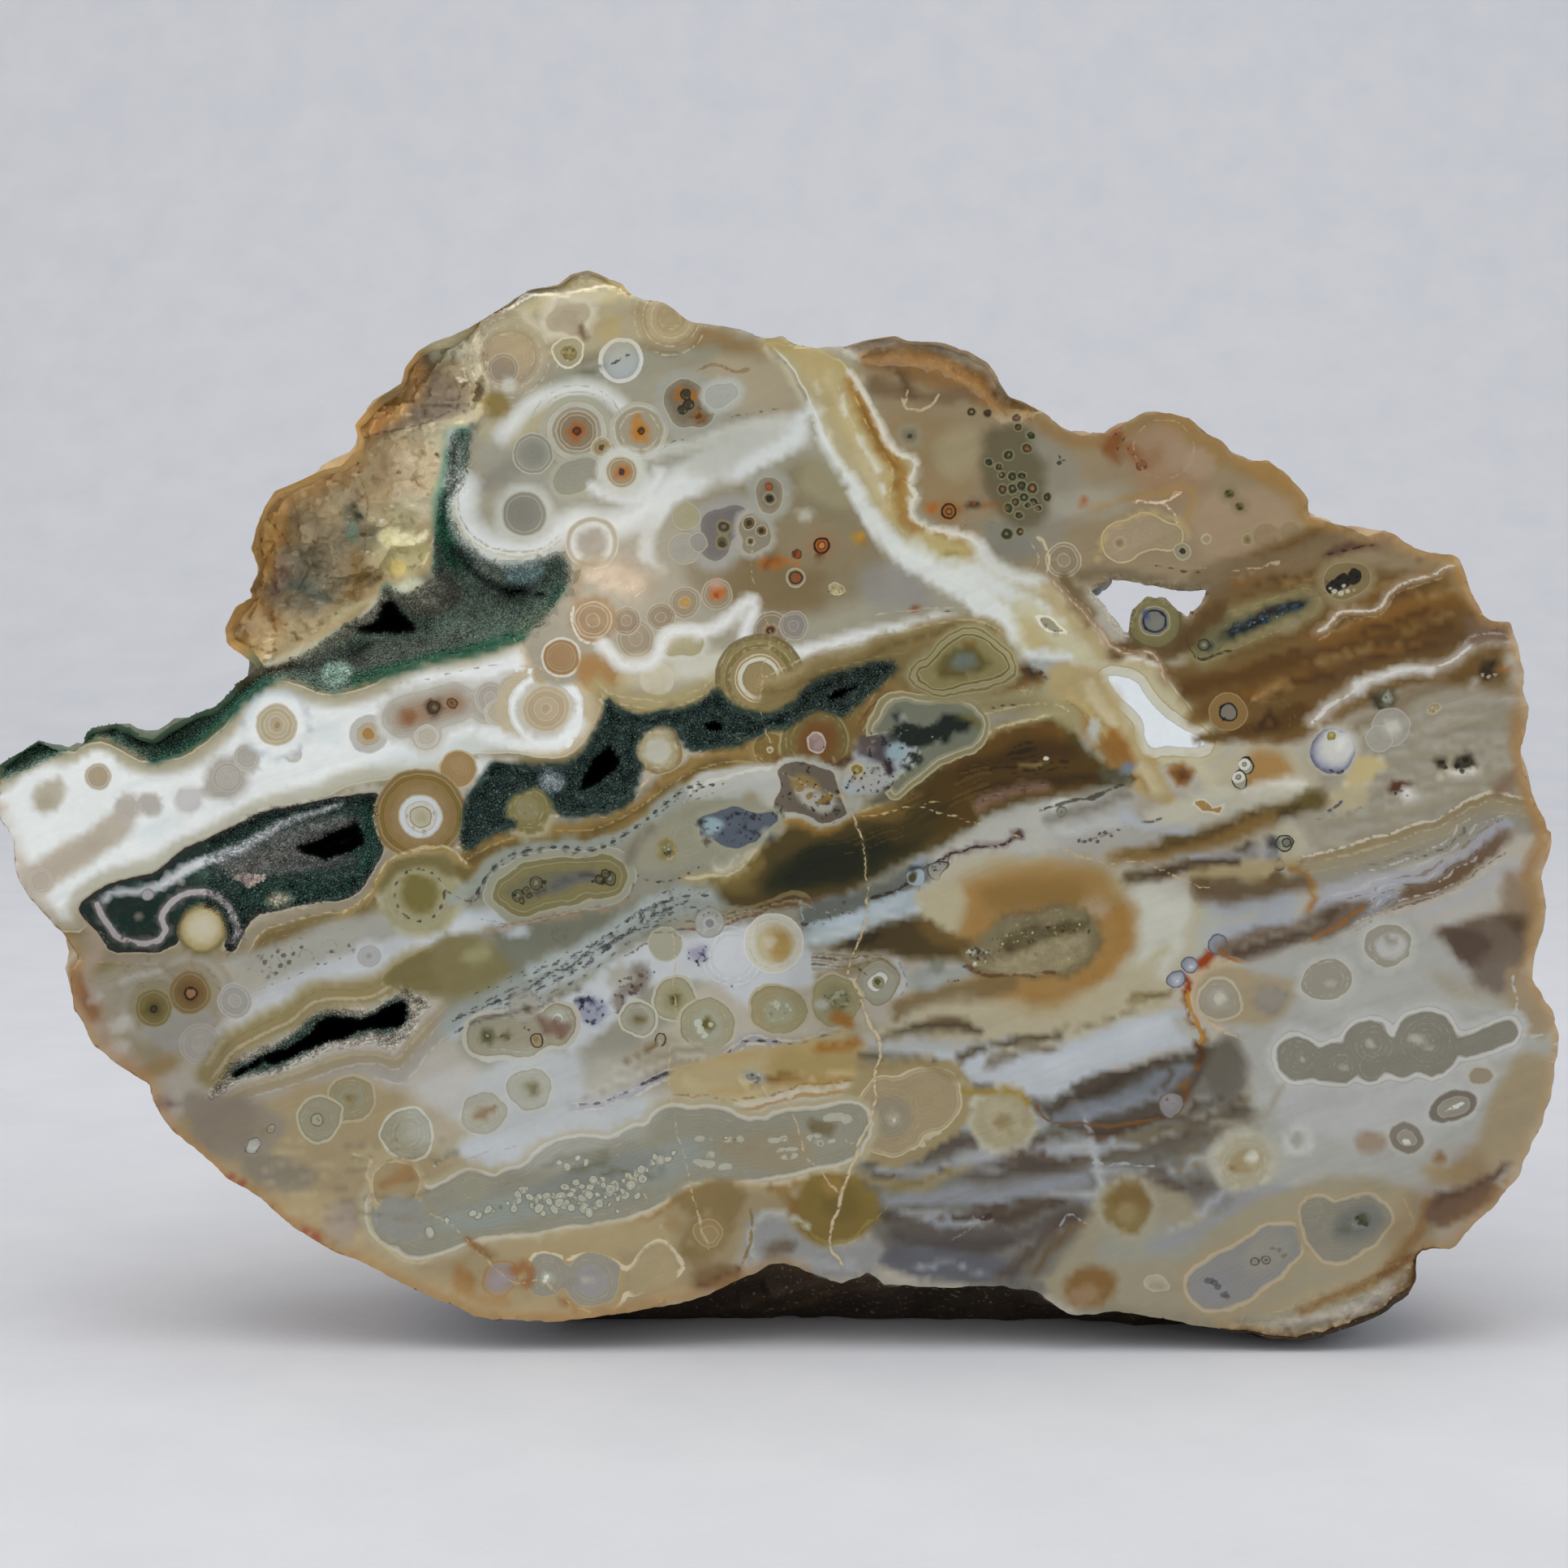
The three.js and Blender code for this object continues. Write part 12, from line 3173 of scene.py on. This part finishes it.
    # surface: fine scratches on the polish, grains on the breaks, crystals on the druse
    scr = g.noise(g.mapping(g.mapping(pos, (0, math.radians(-38), 0)), (0, 0, 0), (260, 260, 5200)), 1.0, 2.0, 0.5)
    h_pol = g.math("MULTIPLY", scr, 0.0000025)
    h_rgh = g.math("ADD", g.math("MULTIPLY", gr, 0.00013), g.math("MULTIPLY", gr2, 0.00032))
    h_dru = g.math("MULTIPLY", g.math("SUBTRACT", 1.0, vc_.outputs["Distance"]), 0.00030)
    h = g.mixf(rough_m, h_pol, h_rgh)
    h = g.math("ADD", h, g.math("MULTIPLY", dmask, h_dru))
    bump = g.node("ShaderNodeBump")
    bump.inputs["Strength"].default_value = 1.0
    bump.inputs["Distance"].default_value = 1.0
    g.put(bump.inputs["Height"], h)
    b = g.node("ShaderNodeBsdfPrincipled")
    g.put(b.inputs["Base Color"], c)
    g.put(b.inputs["Roughness"], r_)
    g.put(b.inputs["Normal"], bump.outputs[0])
    b.inputs["IOR"].default_value = 1.54
    b.inputs["Specular IOR Level"].default_value = 0.3
    o = g.node("ShaderNodeOutputMaterial")
    g.t.links.new(b.outputs[0], o.inputs[0])
    return g.mat


me.materials.append(stone_material())

# =====================================================================================
#  Druse: real quartz grains on the pockets, one closed mesh
# =====================================================================================
def crystals():
    a, b, c = (verts[front_tri[:, q]] for q in range(3))
    area = np.linalg.norm(np.cross(b - a, c - a), axis=1) / 2
    fm = M_DRUSE[front_tri].mean(1) * (1 - M_DEEP[front_tri].mean(1) * 0.85)
    fm *= smooth(0.62, 0.9, fm)
    wgt = area * fm
    total = wgt.sum()
    n = N_CRYSTALS
    cum = np.cumsum(wgt) / total
    r = np.arange(n)
    pick = np.searchsorted(cum, (r + 0.5 + 0.48 * hash3(r, 3, 3, 31)) / n)
    pick = np.clip(pick, 0, len(cum) - 1)
    r1, r2 = 0.5 + 0.5 * hash3(r, 1, 4, 32), 0.5 + 0.5 * hash3(r, 2, 5, 33)
    s_ = np.sqrt(r1)
    u_, v_, w_ = 1 - s_, s_ * (1 - r2), s_ * r2
    p = a[pick] * u_[:, None] + b[pick] * v_[:, None] + c[pick] * w_[:, None]
    nn = np.cross(b - a, c - a)[pick]
    if (nn[:, 1].mean()) > 0:
        nn = -nn
    nn /= np.maximum(np.linalg.norm(nn, axis=1), 1e-9)[:, None]
    nn = 0.6 * nn + 0.4 * np.array([0, -1.0, 0.05])
    tilt = np.column_stack([hash3(r, q, 7, 34) for q in (1, 2, 3)]) * 0.75
    ax = nn + tilt
    ax /= np.linalg.norm(ax, axis=1)[:, None]
    ref = np.where(np.abs(ax[:, :1]) < 0.8, np.array([[1.0, 0, 0]]), np.array([[0, 0, 1.0]]))
    e1 = np.cross(ax, ref)
    e1 /= np.linalg.norm(e1, axis=1)[:, None]
    e2 = np.cross(ax, e1)
    rad = 0.13 + 0.15 * (0.5 + 0.5 * hash3(r, 9, 9, 35)) ** 2
    ln = rad * (1.1 + 0.7 * (0.5 + 0.5 * hash3(r, 8, 9, 36)))
    ph = np.pi * hash3(r, 6, 6, 37)
    vs = []
    vs.append(p - ax * (ln * 0.8)[:, None])
    for q in range(6):
        an = ph + q * np.pi / 3
        vs.append(p + ax * (ln * 0.25)[:, None] + (e1 * np.cos(an)[:, None] + e2 * np.sin(an)[:, None]) * rad[:, None])
    vs.append(p + ax * (ln * 1.25)[:, None])
    V_ = np.stack(vs, 1)
    f_ = []
    for q in range(6):
        f_.append((0, 1 + (q + 1) % 6, 1 + q))
        f_.append((7, 1 + q, 1 + (q + 1) % 6))
    F_ = (np.array(f_)[None] + (r * 8)[:, None, None]).reshape(-1, 3)
    V_ = V_.reshape(-1, 3)
    t3 = V_[F_]
    vol_ = np.einsum("ij,ij->i", t3[:, 0], np.cross(t3[:, 1], t3[:, 2])).sum()
    if vol_ < 0:
        F_ = F_[:, ::-1]
    V_[:, 2] = np.maximum(V_[:, 2], 0.0)
    # the colour of the face under each grain, edges and lines included
    base = C5[0][pick].mean(1)
    for e_ in (0, 1):
        dd_, ww_, ss_ = V2[e_][pick].mean(1).T
        m_ = (smooth(-0.75, 0.75, dd_) * ss_)[:, None]
        l_ = smooth(-0.6, 0.6, dd_ - ww_)[:, None]
        li_, fi_ = C5[1 + 2 * e_][pick].mean(1), C5[2 + 2 * e_][pick].mean(1)
        base = base + (li_ + (fi_ - li_) * l_ - base) * m_
    return V_, F_, base, r


CV, CF, CB, CR = crystals()
druse = make_mesh("ocean_jasper_druse", CV, CF)
tone_ = (0.75 + 0.5 * (0.5 + 0.5 * hash3(CR, 5, 5, 41)))[:, None]
# painted glints: a few crystals are paled towards the sparkle colour
pale = smooth(0.80, 0.97, 0.5 + 0.5 * hash3(CR, 5, 6, 42))[:, None] * 0.35
cc = CB * tone_
cc = cc + (col("sparkle") - cc) * pale
attr(druse.data, "c_grain", "FLOAT_COLOR", "POINT", to_linear(np.repeat(cc, 8, 0)))
print("druse", len(CF), "triangles")


def druse_material():
    g = Graph("green_quartz_druse")
    pos = g.node("ShaderNodeTexCoord").outputs["Object"]
    c = g.attr("c_grain")
    nz = g.noise(pos, 3000, 3.0, 0.6)
    c = g.vmath("SCALE", c, scale=g.math("ADD", 0.8, g.math("MULTIPLY", nz, 0.4)))
    b = g.node("ShaderNodeBsdfPrincipled")
    g.put(b.inputs["Base Color"], c)
    g.put(b.inputs["Roughness"], g.math("ADD", 0.16, g.math("MULTIPLY", nz, 0.20)))
    b.inputs["IOR"].default_value = 1.55
    b.inputs["Transmission Weight"].default_value = 0.25
    o = g.node("ShaderNodeOutputMaterial")
    g.t.links.new(b.outputs[0], o.inputs[0])
    return g.mat


druse.data.materials.append(druse_material())

# =====================================================================================
#  Stage, lights and camera
# =====================================================================================
def stage_sheet():
    ys = [-5.0, -3.2, -2.2, -1.6, -1.0, -0.6, -0.3, -0.1, 0.1, 0.3, 0.5, 0.7]
    prof = [(y_, 0.0) for y_ in ys]
    R_ = 0.55
    for q in range(1, 19):
        an = q / 18 * math.pi / 2
        prof.append((0.7 + R_ * math.sin(an), R_ * (1 - math.cos(an))))
    prof += [(0.7 + R_, R_ + h_) for h_ in (0.3, 0.8, 1.5)]
    xs = np.linspace(-5.0, 5.0, 41)
    v_ = [(x_, y_, z_ - 0.00002) for (y_, z_) in prof for x_ in xs]
    f_ = []
    nx_ = len(xs)
    for j_ in range(len(prof) - 1):
        for i_ in range(nx_ - 1):
            a_ = j_ * nx_ + i_
            f_.append((a_, a_ + 1, a_ + nx_ + 1, a_ + nx_))
    m_ = bpy.data.meshes.new("paper_sweep")
    m_.from_pydata(v_, [], f_)
    for p_ in m_.polygons:
        p_.use_smooth = True
    ob = bpy.data.objects.new("paper_sweep", m_)
    bpy.context.scene.collection.objects.link(ob)
    g = Graph("pale_paper")
    pos = g.node("ShaderNodeTexCoord").outputs["Object"]
    n_ = g.noise(pos, 40, 4.0, 0.6)
    b_ = g.node("ShaderNodeBsdfPrincipled")
    g.put(b_.inputs["Base Color"], g.mixc(n_, g.rgb("paper_a"), g.rgb("paper_b")))
    b_.inputs["Roughness"].default_value = 0.75
    b_.inputs["Specular IOR Level"].default_value = 0.25
    fb = g.node("ShaderNodeBump")
    fb.inputs["Strength"].default_value = 0.15
    fb.inputs["Distance"].default_value = 0.0004
    g.put(fb.inputs["Height"], g.noise(pos, 900, 3.0, 0.6))
    g.put(b_.inputs["Normal"], fb.outputs[0])
    o_ = g.node("ShaderNodeOutputMaterial")
    g.t.links.new(b_.outputs[0], o_.inputs[0])
    m_.materials.append(g.mat)
    return ob


stage_sheet()


def area(name, loc, aim, size, power, colour=(1, 1, 1), size_y=None):
    l_ = bpy.data.lights.new(name, "AREA")
    l_.energy = power
    l_.color = colour
    l_.shape = "RECTANGLE"
    l_.size = size
    l_.size_y = size_y or size
    ob = bpy.data.objects.new(name, l_)
    bpy.context.scene.collection.objects.link(ob)
    ob.location = loc
    ob.rotation_euler = (mathutils.Vector(aim) - mathutils.Vector(loc)).to_track_quat("-Z", "Y").to_euler()
    return ob


area("overhead_soft", (0.05, -0.15, 1.25), (0, 0, 0.05), 1.6, P_TOP, (1.0, 0.985, 0.96), 1.3)
area("left_soft", (-1.25, -0.75, 0.75), (0, 0, 0.08), 1.0, P_LEFT, (1.0, 0.98, 0.95))
area("right_soft", (1.25, -0.75, 0.75), (0, 0, 0.08), 1.0, P_RIGHT, (0.96, 0.98, 1.0))
world = bpy.data.worlds.new("soft_room")
bpy.context.scene.world = world
world.use_nodes = True
bgn = world.node_tree.nodes["Background"]
bgn.inputs["Color"].default_value = (0.93, 0.95, 1.0, 1.0)
bgn.inputs["Strength"].default_value = P_WORLD

# camera square to the cut face, as far in front of it as the survey was made from
cam_data = bpy.data.cameras.new("camera")
cam = bpy.data.objects.new("camera", cam_data)
bpy.context.scene.collection.objects.link(cam)
bpy.context.scene.camera = cam
cam_data.sensor_width = 36.0
cam_data.lens = 36.0 * FLARE / (1932 * UNIT)
cam_data.clip_start, cam_data.clip_end = 0.02, 20.0
f0 = place(np.array([FLARE_X]), np.array([FLARE_Y]), np.array([0.0]))[0]
out_n = np.array([0.0, -math.cos(LEAN), math.sin(LEAN)])
cam.location = mathutils.Vector((f0 + out_n * FLARE) * 0.001)
cam.rotation_euler = mathutils.Matrix(((1, 0, 0), (0, math.sin(LEAN), math.cos(LEAN)), (0, math.cos(LEAN), -math.sin(LEAN)))).transposed().to_euler()
# the columns of the camera's turn are its right, its up and its back
R3 = mathutils.Matrix(((1, 0, 0), (0, math.sin(LEAN), -math.cos(LEAN)), (0, math.cos(LEAN), math.sin(LEAN))))
cam.rotation_euler = R3.to_euler()
# a small warm lamp just left of and above the camera leaves one soft glint on the polish
glint_at = np.array(f0 + out_n * FLARE) + np.array([-50.0, 57.0 * math.sin(LEAN), 57.0 * math.cos(LEAN)])
gl = place(np.array([745.0]), np.array([715.0]), np.array([0.0]))[0]
area("glint", tuple(glint_at * 0.001), tuple(gl * 0.001), 0.016, P_GLINT, (1.0, 0.78, 0.62), 0.012)

bpy.context.scene.view_settings.view_transform = "Standard"
bpy.context.scene.view_settings.look = "None"
bpy.context.scene.view_settings.exposure = 0.0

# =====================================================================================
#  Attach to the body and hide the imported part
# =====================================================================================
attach(stone, "root")
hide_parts("ocean_jasper")
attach(druse, "root")
bpy.context.view_layer.update()
